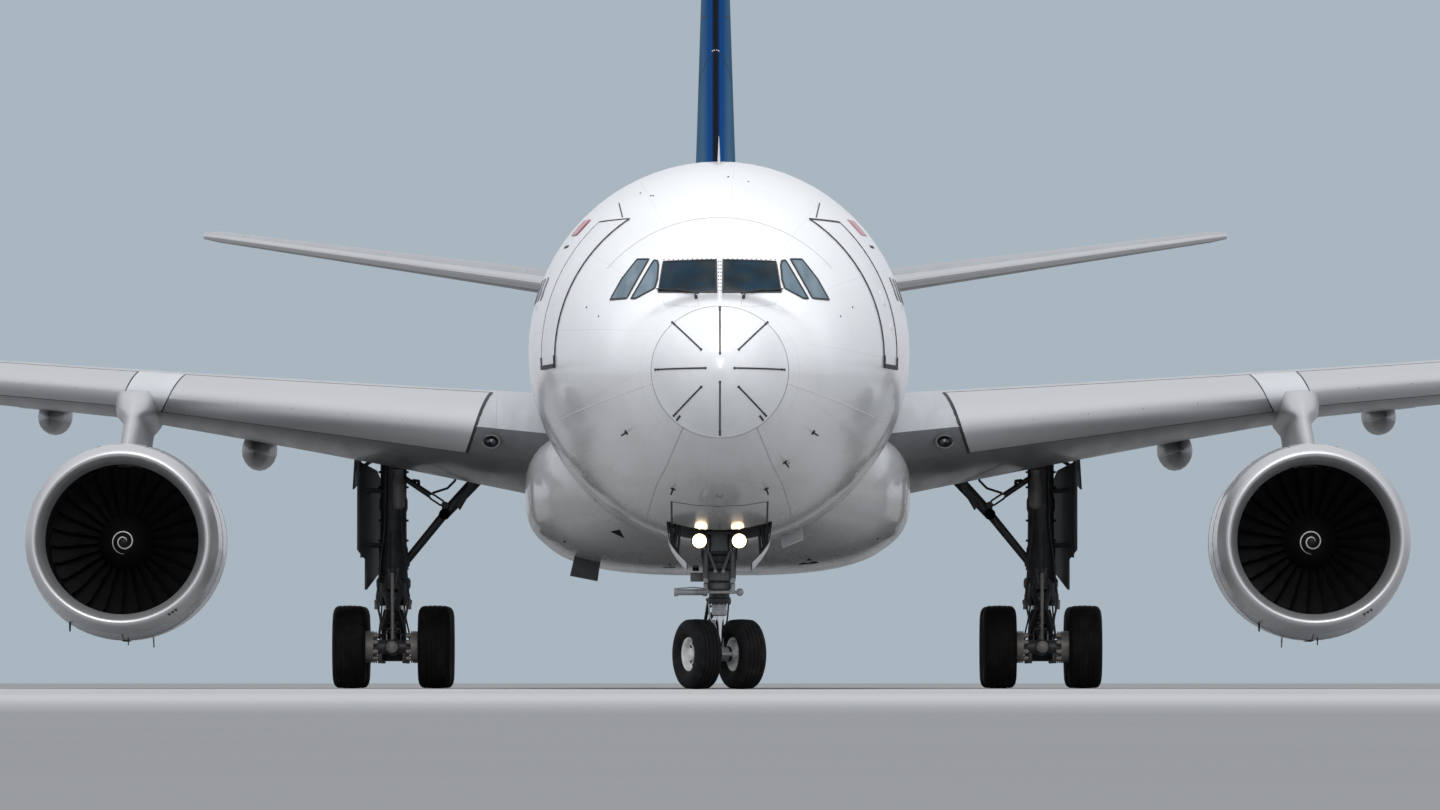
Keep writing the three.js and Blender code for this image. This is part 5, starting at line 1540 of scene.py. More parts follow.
class AIRLINER_OT_engines(bpy.types.Operator):
    """Engines: intake lip, cowl, fan with its spinner, outlet vanes, core and plug"""

    bl_idname = "airliner.engines"
    bl_label = "Engines"

    def execute(self, context):
        lip = squashed_inlet(spun(bmesh.new(), eased_line(LIP, 3), engine_centre(), segments=ENGINE_SEGMENTS))
        pair(lip, "intake_lip_skin", FINISHES["lip"], replaces=["intake_lip_{}"], slot="bare_metal", sharp=60)
        profile = eased_line(COWL_OUTSIDE, 4) + eased_line(COWL_INSIDE, 4)
        cowl = squashed_inlet(spun(bmesh.new(), profile, engine_centre(), segments=ENGINE_SEGMENTS))
        # The cowl's inside wall takes the near-black lining, painted shade inside the intake
        paint_where(cowl, lambda p: round_radius(p) < inner_wall(p.y), 1)
        pair(cowl, "cowl_skin", [FINISHES["cowl"], FINISHES["duct"]], replaces=["nacelle_{}"], slot="grey_paint",
             sharp=50)
        fan = spun(bmesh.new(), [*SPINNER, (0.0, SPINNER_REAR)], engine_centre(), segments=48)
        for angle in turns(sizes().fan_blades):
            fan_blade(fan, angle)
        first = len(fan.faces)
        painted_from(spinner_spiral(fan), first, 1)
        for (side, sign), made in zip(SIDES, (fan, fan.copy())):
            piece(at_engine(made, sign), "fan_and_spinner_" + side, "fan_" + side,
                  [FINISHES["fan"], FINISHES["marking"]], ["fan_" + side], 30)
        outline = [(0.0, CORE_ENDS[0]), *eased_line(CORE, 5), (0.0, CORE_ENDS[1])]
        core = spun(bmesh.new(), outline, engine_centre(), segments=64)
        spun(core, [(0.0, 25.7), (0.44, 25.7), *eased_line(CORE_PLUG, 4)], engine_centre(), segments=48)
        for angle in turns(VANES, 0.5):
            made = brick(bmesh.new(), *VANE_BOX)
            made.transform(Matrix.Translation(engine_centre()) @ Matrix.Rotation(angle, 4, "Y"))
            absorbed(core, made)
        pair(core, "engine_core_and_vanes", FINISHES["nozzle"], replaces=["engine_core_{}"], slot="dark_metal",
             sharp=40)
        make_cowl_details()
        make_pylon()
        return {"FINISHED"}


def inner_wall(station):
    """Radius that parts the cowl's outside from its inside"""
    outer = eased_at([(s, r) for r, s in COWL_OUTSIDE], min(station, 26.4))[1]
    return outer - 0.012 if station < 26.399 else 1.045


def make_cowl_details():
    """Cowl door seams, latches, drain mast, and the small fittings of the lip"""
    dark = bmesh.new()
    outside = [(s, r) for r, s in COWL_OUTSIDE]

    def on_cowl(station, angle, out=0.0):
        r = eased_at(outside, station)[1] + out
        p = engine_centre(station) + Vector((math.cos(angle) * r, 0, math.sin(angle) * r))
        p.z = ENGINE_Z + (p.z - ENGINE_Z) * flat_share(p)
        return p

    def seam(places, width):
        line = [(on_cowl(s, a, 0.001), (on_cowl(s, a, 1.0) - on_cowl(s, a)).normalized()) for s, a in places]
        ribbon(dark, line, width, 0.003)

    for station in COWL_SEAMS:
        for low, high in COWL_DOORS:
            seam([(station, a) for a in steps(low, high, 30)], 0.016)
    for angle in (-math.pi / 2, math.pi * 0.42, math.pi * 0.58):
        seam([(s, angle) for s in steps(*COWL_SEAM_ENDS, 26)], 0.016)
    for station in steps(*LATCHES):
        centre = on_cowl(station, -math.pi / 2, 0.004)
        brick(dark, centre - Vector((0.045, 0.06, 0.012)), centre + Vector((0.045, 0.06, 0.008)), 0.006)
    pair(dark, "cowl_seams_and_latches", FINISHES["seal"], slot="dark_metal")
    for side, sign in SIDES:
        fittings = bmesh.new()
        for angle in steps(math.radians(-58), math.radians(-53), 2):
            p = engine_centre(19.6) + Vector((math.cos(angle), 0, math.sin(angle) * 0.94)) * 1.445
            rod(fittings, p, p + Vector((0, -0.125, 0)), 0.022, segments=14)
        for across, length, radius in ((-0.84, 0.12, 0.022), (0.08, 0.1, 0.014)):
            pin = on_cowl(20.4, -math.pi / 2 + across * -0.6, -0.02)
            pin.x = ENGINE_X + across
            pin.z = ENGINE_Z - math.sqrt(1.57 ** 2 - across ** 2) * 0.98
            rod(fittings, pin + Vector((0, 0, 0.1)), pin - Vector((0, 0, length)), radius, radius * 0.6,
                segments=10)
        piece(at_engine(fittings, sign), "lip_fittings_" + side, "airframe", FINISHES["seal"])
    mast = bmesh.new()
    foot = on_cowl(22.2, math.radians(-104), -0.03)
    slab(mast, [foot + Vector((-0.012, -0.14, 0)), foot + Vector((-0.012, 0.16, 0)),
                foot + Vector((-0.012, 0.12, -0.19)), foot + Vector((-0.012, 0.02, -0.19))], 0.024)
    pair(mast, "drain_mast", FINISHES["cowl"], slot="grey_paint")


def make_pylon():
    """Pylon: narrow over the cowl, flared where it meets the wing's leading edge"""
    table = [(i, *row) for i, row in enumerate(PYLON)]
    rings = []
    for t in steps(0, len(PYLON) - 1, 18):
        z_front, z_rear, front, rear, half = eased_at(table, t)[1:]
        outline = eased_line(PYLON_ACROSS, 2)
        side = [full(ENGINE_X + w * half, mix(front, rear, k), mix(z_front, z_rear, k)) for k, w in outline]
        rings.append(side + [full(2 * ENGINE_X - p.x, p.y, p.z) for p in reversed(side)])
    pair(loft(bmesh.new(), rings), "pylon_skin", FINISHES["metal"], replaces=["pylon_{}"], slot="bare_metal",
         sharp=40)


# Tail
FIN_FOOT, FIN_HEAD = FIN[1][0], FIN[2][0]
BARE_EDGE_SHARE = 0.06
ELEVATOR_SHARE, ELEVATOR_TRAVEL, ELEVATOR_X, ELEVATOR_ROOM = 0.7, 30, (1.75, 9.1), (2.4, 1.0)
RUDDER_SHARE, RUDDER_TRAVEL, RUDDER_ROOM = 0.68, 35, (3.8, 1.6)
RUDDER_LEVELS, RUDDER_HINGE, RUDDER_FOOT_GAP = (7.96, 17.39), (7.4, 19.2), 0.12
RUDDER_INSET = 0.006
CAP_TOP, CAP_DROP = 11.67, 5.8
FIN_SEAMS, ELEVATOR_WICKS = (9.4, 12.4, 15.2), (2.4, 8.8, 5)
PIVOT_SHARE, PIVOT_R, PIVOT_DROP = 0.66, 0.14, 0.1


def fin_point(z, u, side, out=0.0):
    """A point of the fin's skin at a height and a share of its chord"""
    _, station, chord, thickness = section_at(FIN, z)
    return full(side * (chord * thickness * foil_half(u) + out), station + u * chord, z)


def fin_ring(z):
    shares = sorted(FOIL_SHARES)
    return [fin_point(z, u, 1) for u in reversed(shares)] + [fin_point(z, u, -1) for u in shares[1:]]


def hinge_at(z):
    """Where the rudder's hinge line is at a height, and half the fin's thickness there"""
    _, station, chord, thickness = section_at(FIN, z)
    return full(0, station + RUDDER_SHARE * chord, z), chord * thickness * foil_half(RUDDER_SHARE)


class AIRLINER_OT_fin(bpy.types.Operator):
    """Fin and rudder, with their seams, the arched seam of the fin's cap and two fasteners"""

    bl_idname = "airliner.fin"
    bl_label = "Fin and rudder"

    def execute(self, context):
        levels = [FIN[0][0], FIN_FOOT, *steps(FIN_FOOT, FIN_HEAD, 12)[1:], 17.25, FIN[-1][0]]
        whole = loft(bmesh.new(), [fin_ring(z) for z in levels])
        (low, _), (high, top_half) = hinge_at(FIN_FOOT), hinge_at(FIN_HEAD)
        foot, foot_half = RUDDER_LEVELS[0], hinge_at(RUDDER_LEVELS[0])[1]
        ends = [low.lerp(high, (z - FIN_FOOT) / (FIN_HEAD - FIN_FOOT)) for z in RUDDER_HINGE]
        radii = [mix(foot_half, top_half, (z - foot) / (FIN_HEAD - foot)) - RUDDER_INSET for z in RUDDER_HINGE]
        moving, fixed = split_surface(
            whole, *ends, radii, Vector((-1, 0, 0)), RUDDER_ROOM, RUDDER_TRAVEL, (*RUDDER_LEVELS, RUDDER_FOOT_GAP),
        )
        piece(fixed, "fin_skin", "airframe", FINISHES["fin"], ["fin"], 30)
        piece(moving, "rudder_skin", "rudder", FINISHES["fin"], ["rudder"], 30)
        make_fin_details()
        return {"FINISHED"}


def cap_height(u):
    """Height of the arched seam across the leading edge at a share of the fin's chord"""
    return CAP_TOP - CAP_DROP * fin_point(CAP_TOP, u, 1).x ** 2


def make_fin_details():
    seams, dots = bmesh.new(), bmesh.new()

    def seam(side, spots, width):
        ribbon(seams, [(fin_point(z, u, side, 0.001), Vector((side, 0, 0))) for z, u in spots], width, 0.003)

    for _, side in SIDES:
        seam(side, [(z, 0.3) for z in steps(8.4, 17.0, 22)], 0.014)
        seam(side, [(cap_height(u), u) for u in steps(0.0, 0.25, 24)], 0.02)
        for z in FIN_SEAMS:
            seam(side, [(z, u) for u in steps(0.0, 0.62, 16)], 0.012)
        for u in (0.0006, 0.004):
            p = fin_point(cap_height(u) + 0.05, u, side)
            rod(dots, p, p + Vector((side * 0.004, -0.01, 0)), 0.012, segments=8)
    piece(seams, "fin_seams", "airframe", FINISHES["seal"])
    piece(dots, "fin_fasteners", "airframe", FINISHES["marking"])


class AIRLINER_OT_tailplane(bpy.types.Operator):
    """Trimming tailplane with its bare leading edges, pivot shaft and elevators"""

    bl_idname = "airliner.tailplane"
    bl_label = "Tailplane and elevators"

    def execute(self, context):
        rows = [section_at(TAILPLANE, x) for x in [TAIL_FLAT_X + MOVING_GAP, *steps(1.75, 9.4, 12), 9.55, 9.7]]
        whole = loft(bmesh.new(), [foil_ring(row) for row in rows])
        start, end = (middle_point(TAILPLANE, x, ELEVATOR_SHARE, 0) for x in ELEVATOR_X)
        radii = [half_at(TAILPLANE, x, ELEVATOR_SHARE) - NOSE_INSET for x in ELEVATOR_X]
        moving, fixed = split_surface(whole, start, end, radii, UP, ELEVATOR_ROOM, ELEVATOR_TRAVEL)
        paints = [FINISHES["wing"], FINISHES["wing_low"]]
        control_surface(moving, "elevator", paints)
        paint_where(fixed, lambda p: tail_share(p) < BARE_EDGE_SHARE, 2)
        shade_painted_below(fixed, 1)
        mirrored_copy(fixed)
        pivot = middle_point(TAILPLANE, TAIL_FLAT_X, PIVOT_SHARE, 0) - Vector((0, 0, PIVOT_DROP))
        rod(fixed, full(-1.6, pivot.y, pivot.z), full(1.6, pivot.y, pivot.z), PIVOT_R, segments=32)
        piece(fixed, "tailplane_skin", "tailplane", [*paints, FINISHES["metal"]], ["tailplane"],
              28, recalculate=False)
        wicks = bmesh.new()
        for x in steps(*ELEVATOR_WICKS):
            tail = foil_point(section_at(TAILPLANE, x), 1.0, 1, 0)
            rod(wicks, tail - Vector((0, 0.05, 0)), tail + Vector((0.02, 0.14, 0)), 0.006, 0.003, segments=6)
        pair(wicks, "elevator_wicks", FINISHES["seal"], "elevator_{}", slot="dark_metal")
        return {"FINISHED"}


def tail_share(p):
    start, along, _ = foil_frame(section_at(TAILPLANE, clamped(p.x, 0.0, TAILPLANE[-1][0])))
    return (p - start).dot(along) / along.length_squared


# Wheels: outer radius, half width, bead radius and hub radius
NOSE_WHEEL = (0.5087, 0.2, 0.235, 0.088)
MAIN_WHEEL = (0.6815, 0.272, 0.315, 0.125)
GROOVE_SHARES = (-0.46, -0.16, 0.16, 0.46)
GROOVE_WIDTH, GROOVE_DEPTH = 0.014, 0.012
WHEEL_SEGMENTS = 72
ALONG_X = (1, 0, 0)


def tyre(bm, centre, wheel):
    """A tyre on an axle along x, with round shoulders and grooves round its tread"""
    outer, half, bead, _ = wheel
    wall = [(0.0, 0.6), (0.05, 0.72), (0.2, 0.9), (0.42, 0.995), (0.62, 1.0), (0.78, 0.955), (0.9, 0.86), (0.965, 0.74)]
    side = [(mix(bead, outer, r), w * half) for r, w in wall]
    tread = []
    for share in GROOVE_SHARES:
        edge = outer - 0.02 * share * share
        for r, w in ((edge, -1), (edge - GROOVE_DEPTH, -0.8), (edge - GROOVE_DEPTH, 0.8), (edge, 1)):
            tread.append((r, share * half + w * GROOVE_WIDTH / 2))
    profile = [(r, -w) for r, w in side] + [(outer - 0.006, -0.6 * half), *tread, (outer - 0.006, 0.6 * half)]
    return spun(bm, profile + side[::-1], centre, ALONG_X, WHEEL_SEGMENTS)


def rim(bm, centre, wheel, side):
    """A dished rim with its hub cap, bolts and vent holes, its outer face towards a side"""
    _, half, bead, hub = wheel
    shape = [
        (0, 0.6), (hub * 0.7, 0.59), (hub * 0.93, 0.55), (hub, 0.47), (hub * 1.02, 0.3), (hub * 1.5, 0.22),
        (bead * 0.8, 0.26), (bead * 0.87, 0.34), (bead - 0.024, 0.56), (bead - 0.008, 0.66), (bead + 0.012, 0.69),
        (bead + 0.02, 0.66), (bead + 0.006, 0.6), (bead + 0.006, -0.6), (bead + 0.02, -0.66), (bead + 0.01, -0.69),
        (bead - 0.012, -0.64), (bead - 0.03, -0.5), (bead * 0.84, -0.3), (hub * 1.4, -0.26), (hub * 1.1, -0.4),
        (0, -0.4),
    ]
    spun(bm, [(r, w * half * side) for r, w in shape], centre, ALONG_X, WHEEL_SEGMENTS)
    first = len(bm.faces)
    reach = Vector((side * half, 0, 0))
    for radius, turn, depth, size, segments in ((mix(hub * 1.5, bead * 0.8, 0.55), 0.5, 0.256, 0.11 * bead, 12),
                                                (hub * 1.3, 0.0, 0.31, 0.045 * bead, 6)):
        for a in turns(sizes().rim_bolts, turn):
            spot = Vector(centre) + Vector((0, math.cos(a) * radius, math.sin(a) * radius))
            rod(bm, spot + reach * (depth - 0.08), spot + reach * depth, size, segments=segments)
    return painted_from(bm, first, 1)


def plate(bm, outline, thickness, bevel=0.004):
    """A flat plate with softened edges"""
    made = slab(bmesh.new(), outline, thickness)
    if bevel:
        bmesh.ops.bevel(
            made, geom=made.edges[:], offset=bevel, segments=1, profile=0.5, affect="EDGES", material=-1,
        )
    return absorbed(bm, made)


def beside(x, y, side, *spots):
    """Points on one side of a leg, each (sideways, aft, height) and counted from its axis"""
    return [full(x + side * a, y + b, z) for a, b, z in spots]


def hose(bm, points, radius, segments=10):
    """A tube on a smooth curve through its points"""
    points = [Vector(p) for p in points]
    ends = [points[0] * 2 - points[1], *points, points[-1] * 2 - points[-2]]
    line = []
    for a, b, c, d in zip(ends, ends[1:], ends[2:], ends[3:]):
        for t in (i / 6 for i in range(6)):
            line.append((b * 2 + (c - a) * t + (a * 2 - b * 5 + c * 4 - d) * t**2
                         + (b * 3 - a - c * 3 + d) * t**3) / 2)
    line.append(points[-1])
    rings, aside = [], None
    for i, p in enumerate(line):
        run = run_at(line, i).normalized()
        aside = (run.orthogonal() if aside is None else aside - run * aside.dot(run)).normalized()
        other = run.cross(aside)
        rings.append([p + (aside * math.cos(a) + other * math.sin(a)) * radius for a in turns(segments)])
    return loft(bm, rings)


def pin_through(bm, p, reach, radius, segments=20):
    """A rod that reaches as far past a point on both sides of it"""
    return rod(bm, p - Vector(reach), p + Vector(reach), radius, segments=segments)


def link(bm, start, end, half_start, half_end, radius):
    """Two bars that draw together from one pin to the next, joined across"""
    start, end = Vector(start), Vector(end)
    for sign in (1, -1):
        a, b = start + Vector((sign * half_start, 0, 0)), end + Vector((sign * half_end, 0, 0))
        rod(bm, a, b, radius, radius * 0.85)
    for share in (0.3, 0.62):
        p = start.lerp(end, share)
        half = mix(half_start, half_end, share)
        pin_through(bm, p, (half, 0, 0), radius * 0.55, 12)
    for p, half in ((start, half_start), (end, half_end)):
        pin_through(bm, p, (half + 0.04, 0, 0), radius * 0.8, 16)
    return bm


def bolts_round(bm, centre, radius, size, low, high, count):
    """A ring of bolts along z about a centre"""
    for a in turns(count):
        x, y = centre[0] + math.cos(a) * radius, centre[1] + math.sin(a) * radius
        rod(bm, (x, y, low), (x, y, high), size, segments=6)
    return bm


# Nose gear, about its leg's centre line
NOSE_STATION = 6.67
STEER_ANGLE = math.radians(25)
NOSE_SPREAD = 0.355
UPRIGHT = (0, 0, 1)
NOSE_DOOR = [(0.757, 2.5), (0.753, 2.3), (0.735, 2.1), (0.692, 2.0), (0.62, 1.89), (0.55, 1.805), (0.475, 1.72),
             (0.465, 1.728), (0.54, 1.813), (0.61, 1.898), (0.68, 2.007), (0.722, 2.105), (0.74, 2.3), (0.744, 2.5)]
NOSE_DOOR_STATIONS = (5.75, 7.35)
# Lamps on the nose gear: x, height, radius
NOSE_LAMPS = [(0.288, 2.144, 0.113), (0.283, 2.36, 0.05)]
LAMP_STATION = 5.98


def steered(bm):
    """Turns what is drawn straight ahead to where the nose wheels stand"""
    bmesh.ops.rotate(
        bm, cent=(0, NOSE_STATION, 0), matrix=Matrix.Rotation(STEER_ANGLE, 3, "Z"), verts=bm.verts,
    )
    return bm


class AIRLINER_OT_nose_gear(bpy.types.Operator):
    """Nose leg with its stay, lamps and doors, the steered piston and its wheels"""

    bl_idname = "airliner.nose_gear"
    bl_label = "Nose gear"

    def execute(self, context):
        make_nose_leg()
        make_nose_stay()
        make_nose_lamps()
        make_nose_doors()
        make_nose_piston()
        axle_z = NOSE_WHEEL[0]
        for (side, sign) in SIDES:
            centre = full(sign * NOSE_SPREAD, NOSE_STATION, axle_z)
            piece(steered(tyre(bmesh.new(), centre, NOSE_WHEEL)), "nose_tyre_rubber_" + side, "nose_wheels",
                  FINISHES["rubber"], ["nose_tyre_" + side], 50)
        bm = bmesh.new()
        for _, sign in SIDES:
            rim(bm, full(sign * NOSE_SPREAD, NOSE_STATION, axle_z), NOSE_WHEEL, sign)
        rod(bm, full(-0.36, NOSE_STATION, axle_z), full(0.36, NOSE_STATION, axle_z), 0.055)
        piece(steered(bm), "nose_rims", "nose_wheels", [FINISHES["rim"], FINISHES["seal"]], ["nose_wheels"],
              35)
        return {"FINISHED"}


def make_nose_leg():
    y = NOSE_STATION
    bm = spun(bmesh.new(), [
        (0, 1.42), (0.15, 1.42), (0.163, 1.44), (0.163, 1.9), (0.178, 1.92), (0.178, 2.0), (0.163, 2.03),
        (0.163, 2.84), (0.2, 2.92), (0.2, 3.24), (0.165, 3.32), (0.165, 3.55), (0, 3.55),
    ], full(0, y, 0), UPRIGHT, 40)
    for low, high, radius in ((1.45, 1.55, 0.23), (1.745, 1.835, 0.23), (1.63, 1.665, 0.19)):
        spun(bm, [(0.15, low), (radius - 0.012, low), (radius, low + 0.012), (radius, high - 0.012),
                  (radius - 0.012, high), (0.15, high)], full(0, y, 0), UPRIGHT, 40)
    bolts_round(bm, (0, y), 0.2, 0.014, 1.43, 1.572, 14)
    bolts_round(bm, (0, y), 0.2, 0.012, 1.728, 1.85, 12)
    rod(bm, (-0.757, y, 3.1), (0.757, y, 3.1), 0.1)
    brick(bm, (-0.235, y - 0.3, 1.575), (0.235, y + 0.08, 1.72), 0.02)
    brick(bm, (-0.13, y - 0.36, 2.0), (0.13, y - 0.05, 2.34), 0.02)
    brick(bm, (-0.42, y - 0.22, 1.56), (-0.2, y - 0.02, 1.69), 0.012)
    for side in (1, -1):
        brick(bm, (side * 0.15, y - 0.42, 1.98), (side * 0.185, y - 0.1, 2.36), 0.006)
        rod(bm, (side * 0.2, y - 0.34, 1.6), (side * 0.2, y - 0.34, 2.02), 0.042)
        rod(bm, (side * 0.15, y - 0.36, 1.98), (side * 0.035, y - 0.37, 1.68), 0.026)
        hose(bm, beside(0, y, side, (0.19, -0.12, 1.74), (0.25, -0.16, 1.95), (0.22, -0.1, 2.3), (0.2, -0.05, 2.8)),
             0.014)
    piece(bm, "nose_leg_casting", "airframe", FINISHES["gear_mid"], ["nose_leg"], 40)
    bright = bmesh.new()
    rod(bright, (-0.64, y - 0.25, 1.406), (-0.2, y - 0.25, 1.406), 0.045, segments=28)
    rod(bright, (-0.655, y - 0.25, 1.406), (-0.6, y - 0.25, 1.406), 0.06, segments=28)
    rod(bright, (-0.24, y - 0.25, 1.406), (-0.17, y - 0.25, 1.406), 0.058, segments=28)
    rod(bright, (-0.2, y - 0.25, 1.406), (0.27, y - 0.25, 1.406), 0.022)
    ball = Matrix.Translation((0.3, y - 0.25, 1.406))
    bmesh.ops.create_icosphere(bright, subdivisions=3, radius=0.056, matrix=ball)
    for x in (-0.2, 0.2):
        rod(bright, (x, y - 0.4, 1.575), (x, y - 0.28, 1.575), 0.036)
        rod(bright, (x * 0.3, y - 0.4, 1.71), (x * 0.3, y - 0.3, 1.71), 0.022)
        brick(bright, (x - 0.03, y - 0.28, 1.38), (x + 0.03, y - 0.16, 1.53), 0.01)
    pipe(bright, beside(0, y, -1, (0.6, -0.26, 1.46), (0.4, -0.27, 1.475), (0.22, -0.26, 1.46)), 0.01)
    piece(bright, "steering_cylinder", "airframe", FINISHES["gear"], sharp=40)


def make_nose_stay():
    y = NOSE_STATION
    bm = bmesh.new()
    for side in (1, -1):
        low, high = full(side * 0.13, y - 0.27, 2.0), full(side * 0.5, y - 1.05, 3.35)
        rod(bm, low, high, 0.052, 0.062)
        for share in (0.0, 0.48, 1.0):
            p = low.lerp(high, share)
            pin_through(bm, p, (0.07, 0, 0), 0.075)
    rod(bm, full(-0.2, y - 0.27, 2.0), full(0.2, y - 0.27, 2.0), 0.072)
    rod(bm, full(-0.757, y - 1.05, 3.35), full(0.757, y - 1.05, 3.35), 0.068)
    brick(bm, (-0.09, y - 0.3, 1.93), (0.09, y - 0.12, 2.07), 0.01)
    piece(bm, "nose_drag_stay", "airframe", FINISHES["gear_dark"], ["nose_stay"], 40)


def make_nose_lamps():
    """Four lit lamps in their housings, on an arm from the leg"""
    y = NOSE_STATION
    bm = bmesh.new()
    glass = bmesh.new()
    for side in (1, -1):
        for x, z, r in NOSE_LAMPS:
            spun(bm, [(r * 0.9, -0.012), (r, -0.02), (r * 1.06, 0), (r * 1.04, 0.03), (r * 0.82, 0.1), (r * 0.35, 0.15),
                      (0, 0.16), (0, 0.02), (r * 0.9, 0.02)], full(side * x, LAMP_STATION, z), (0, 1, 0), 36)
            spun(glass, [(0, -0.03), (r * 0.35, -0.027), (r * 0.7, -0.018), (r * 0.92, -0.004), (r * 0.92, 0.03),
                         (0, 0.03)], full(side * x, LAMP_STATION, z), (0, 1, 0), 36)
            rod(bm, (side * x, LAMP_STATION + 0.1, z), (side * 0.2, y - 0.28, 2.27), 0.02)
        brick(bm, (side * 0.24, LAMP_STATION + 0.12, 2.1), (side * 0.32, LAMP_STATION + 0.16, 2.4), 0.008)
        hose(bm, [(side * 0.28, LAMP_STATION + 0.15, 2.14), *beside(0, y, side, (0.33, -0.4, 2.2), (0.24, -0.2, 2.3))],
             0.01)
    brick(bm, (-0.3, LAMP_STATION + 0.14, 2.24), (0.3, LAMP_STATION + 0.2, 2.29), 0.008)
    brick(bm, (-0.06, LAMP_STATION + 0.18, 2.24), (0.06, y - 0.15, 2.3), 0.008)
    piece(bm, "nose_lamp_housings", "airframe", FINISHES["gear_dark"], ["nose_lamps"], 40)
    piece(glass, "nose_lamp_glass", "airframe", FINISHES["lit"], sharp=50)


def make_nose_doors():
    """Both bay doors that hang beside the leg, thin curved panels with ribs inside"""
    front, rear = NOSE_DOOR_STATIONS
    rings = []
    for t in steps(0, 1, 14):
        ease = 1 - (1 - min(1, 6 * t)) ** 2 * 0.14 - (1 - min(1, 6 * (1 - t))) ** 2 * 0.1
        rings.append([full(x, mix(front, rear, t), 2.5 + (z - 2.5) * ease) for x, z in NOSE_DOOR])
    bm = loft(bmesh.new(), rings)
    for face in straightened(bm).faces:
        face.material_index = int(face.normal.x < 0.15)
    pair(bm, "nose_bay_door", [FINISHES["white"], FINISHES["gear_dark"]], replaces=["nose_gear_door_{}"],
         slot="white_paint", sharp=40)
    ribs = bmesh.new()
    for share in (0.12, 0.38, 0.62, 0.88):
        s = mix(front, rear, share)
        plate(ribs, [full(0.731, s, 2.44), full(0.708, s, 2.12), full(0.605, s, 1.915), full(0.53, s, 1.83),
                     full(0.56, s, 1.92), full(0.65, s, 2.14), full(0.68, s, 2.44)], 0.016, 0)
    for s in (6.0, 7.1):
        pipe(ribs, [full(0.66, s, 2.05), full(0.62, s, 2.3), full(0.66, s, 2.66)], 0.026)
        rod(ribs, full(0.6, s, 1.95), full(0.56, s, 2.5), 0.016)
    pair(ribs, "nose_door_ribs", FINISHES["gear_dark"], slot="dark_metal", sharp=40)
    inside = bmesh.new()
    for s in steps(5.62, 7.45, 7):
        brick(inside, (0.72, s - 0.02, 2.45), (0.758, s + 0.02, 3.5))
    for k, z in enumerate((2.7, 2.95, 3.25)):
        line = [(0.66 - 0.05 * k, 5.56, z), (0.7, 6.1, z), (0.67, 6.8, z + 0.05), (0.62, 7.5, z)]
        hose(inside, line, 0.016)
    brick(inside, (0.2, 5.6, 3.42), (0.55, 6.2, 3.545), 0.01)
    brick(inside, (0.3, 6.9, 3.3), (0.6, 7.3, 3.545), 0.01)
    pair(inside, "nose_bay_fittings", FINISHES["bay"], slot="grey_paint", sharp=40)


def make_nose_piston():
    """The steered column: flange, light upper cylinder, chrome piston, axle housing, links and hoses"""
    y, axle = NOSE_STATION, NOSE_WHEEL[0]
    centre = full(0, y, 0)
    dark = bmesh.new()
    spun(dark, [
        (0.06, 1.24), (0.165, 1.24), (0.172, 1.25), (0.172, 1.31), (0.15, 1.33), (0.15, 1.415), (0.06, 1.415),
    ], centre, UPRIGHT, 40)
    bolts_round(dark, (0, y), 0.15, 0.012, 1.225, 1.335, 14)
    link(dark, (0, y + 0.16, 1.3), (0, y + 0.42, 0.98), 0.09, 0.03, 0.028)
    link(dark, (0, y + 0.1, 0.66), (0, y + 0.42, 0.98), 0.09, 0.03, 0.028)
    brick(dark, (-0.05, y + 0.05, 0.6), (0.05, y + 0.14, 0.7), 0.01)
    brick(dark, (-0.05, y + 0.08, 1.26), (0.05, y + 0.18, 1.36), 0.01)
    rod(dark, full(-0.12, y + 0.42, 0.98), full(0.12, y + 0.42, 0.98), 0.026)
    rod(dark, full(-0.16, y, axle), full(-0.12, y, axle), 0.112, segments=32)
    rod(dark, full(0.12, y, axle), full(0.16, y, axle), 0.112, segments=32)
    hose(dark, beside(0, y, 1, (0.16, 0.02, 1.26), (0.2, 0.16, 1.0), (0.12, 0.14, 0.72), (0.1, 0, 0.55)), 0.012)
    piece(steered(dark), "nose_piston_links", "nose_steering", FINISHES["gear_dark"], sharp=40)
    light = spun(bmesh.new(), [
        (0, 1.3), (0.1, 1.3), (0.109, 1.235), (0.109, 1.19), (0.1, 1.185), (0.1, 1.16), (0.109, 1.155), (0.109, 1.08),
        (0.094, 1.066), (0.066, 1.06), (0.066, 0.62), (0.088, 0.6), (0.1, axle + 0.06), (0.1, axle - 0.03),
        (0, axle - 0.06),
    ], centre, UPRIGHT, 40)
    rod(light, full(-0.14, y, axle), full(0.14, y, axle), 0.104, segments=32)
    rod(light, full(-0.12, y - 0.2, axle), full(0.12, y - 0.2, axle), 0.026)
    for x in (-0.1, 0.1):
        brick(light, (x - 0.02, y - 0.22, axle - 0.03), (x + 0.02, y - 0.04, axle + 0.03), 0.008)
    hose(light, beside(0, y, -1, (0.2, -0.07, 1.24), (0.19, -0.1, 1.02), (0.12, -0.12, 0.93), (0.09, -0.09, 0.72),
                       (0.07, -0.03, 0.6)), 0.013)
    paint_where(light, lambda p: 0.61 < p.z < 1.062 and (p - full(0, y, p.z)).length < 0.068, 1)
    piece(steered(light), "nose_piston_column", "nose_steering", [FINISHES["gear"], FINISHES["chrome"]],
          ["nose_piston"], 40)


# Main gear, drawn on the port side
MAIN_X, MAIN_STATION, LEG_STATION = 5.34, 28.85, 28.57
BOGIE_REACH, MAIN_SPREAD = 0.99, 0.7
LEG_DOOR = [(27.75, 3.735), (27.75, 2.27), (28.2, 2.12), (28.2, 1.62), (29.1, 1.96), (29.1, 3.4), (28.8, 3.6)]
STAY_FOOT, STAY_ELBOW, STAY_HEAD = full(5.16, 28.57, 2.06), full(4.5, 28.52, 2.87), full(3.86, 28.47, 3.55)


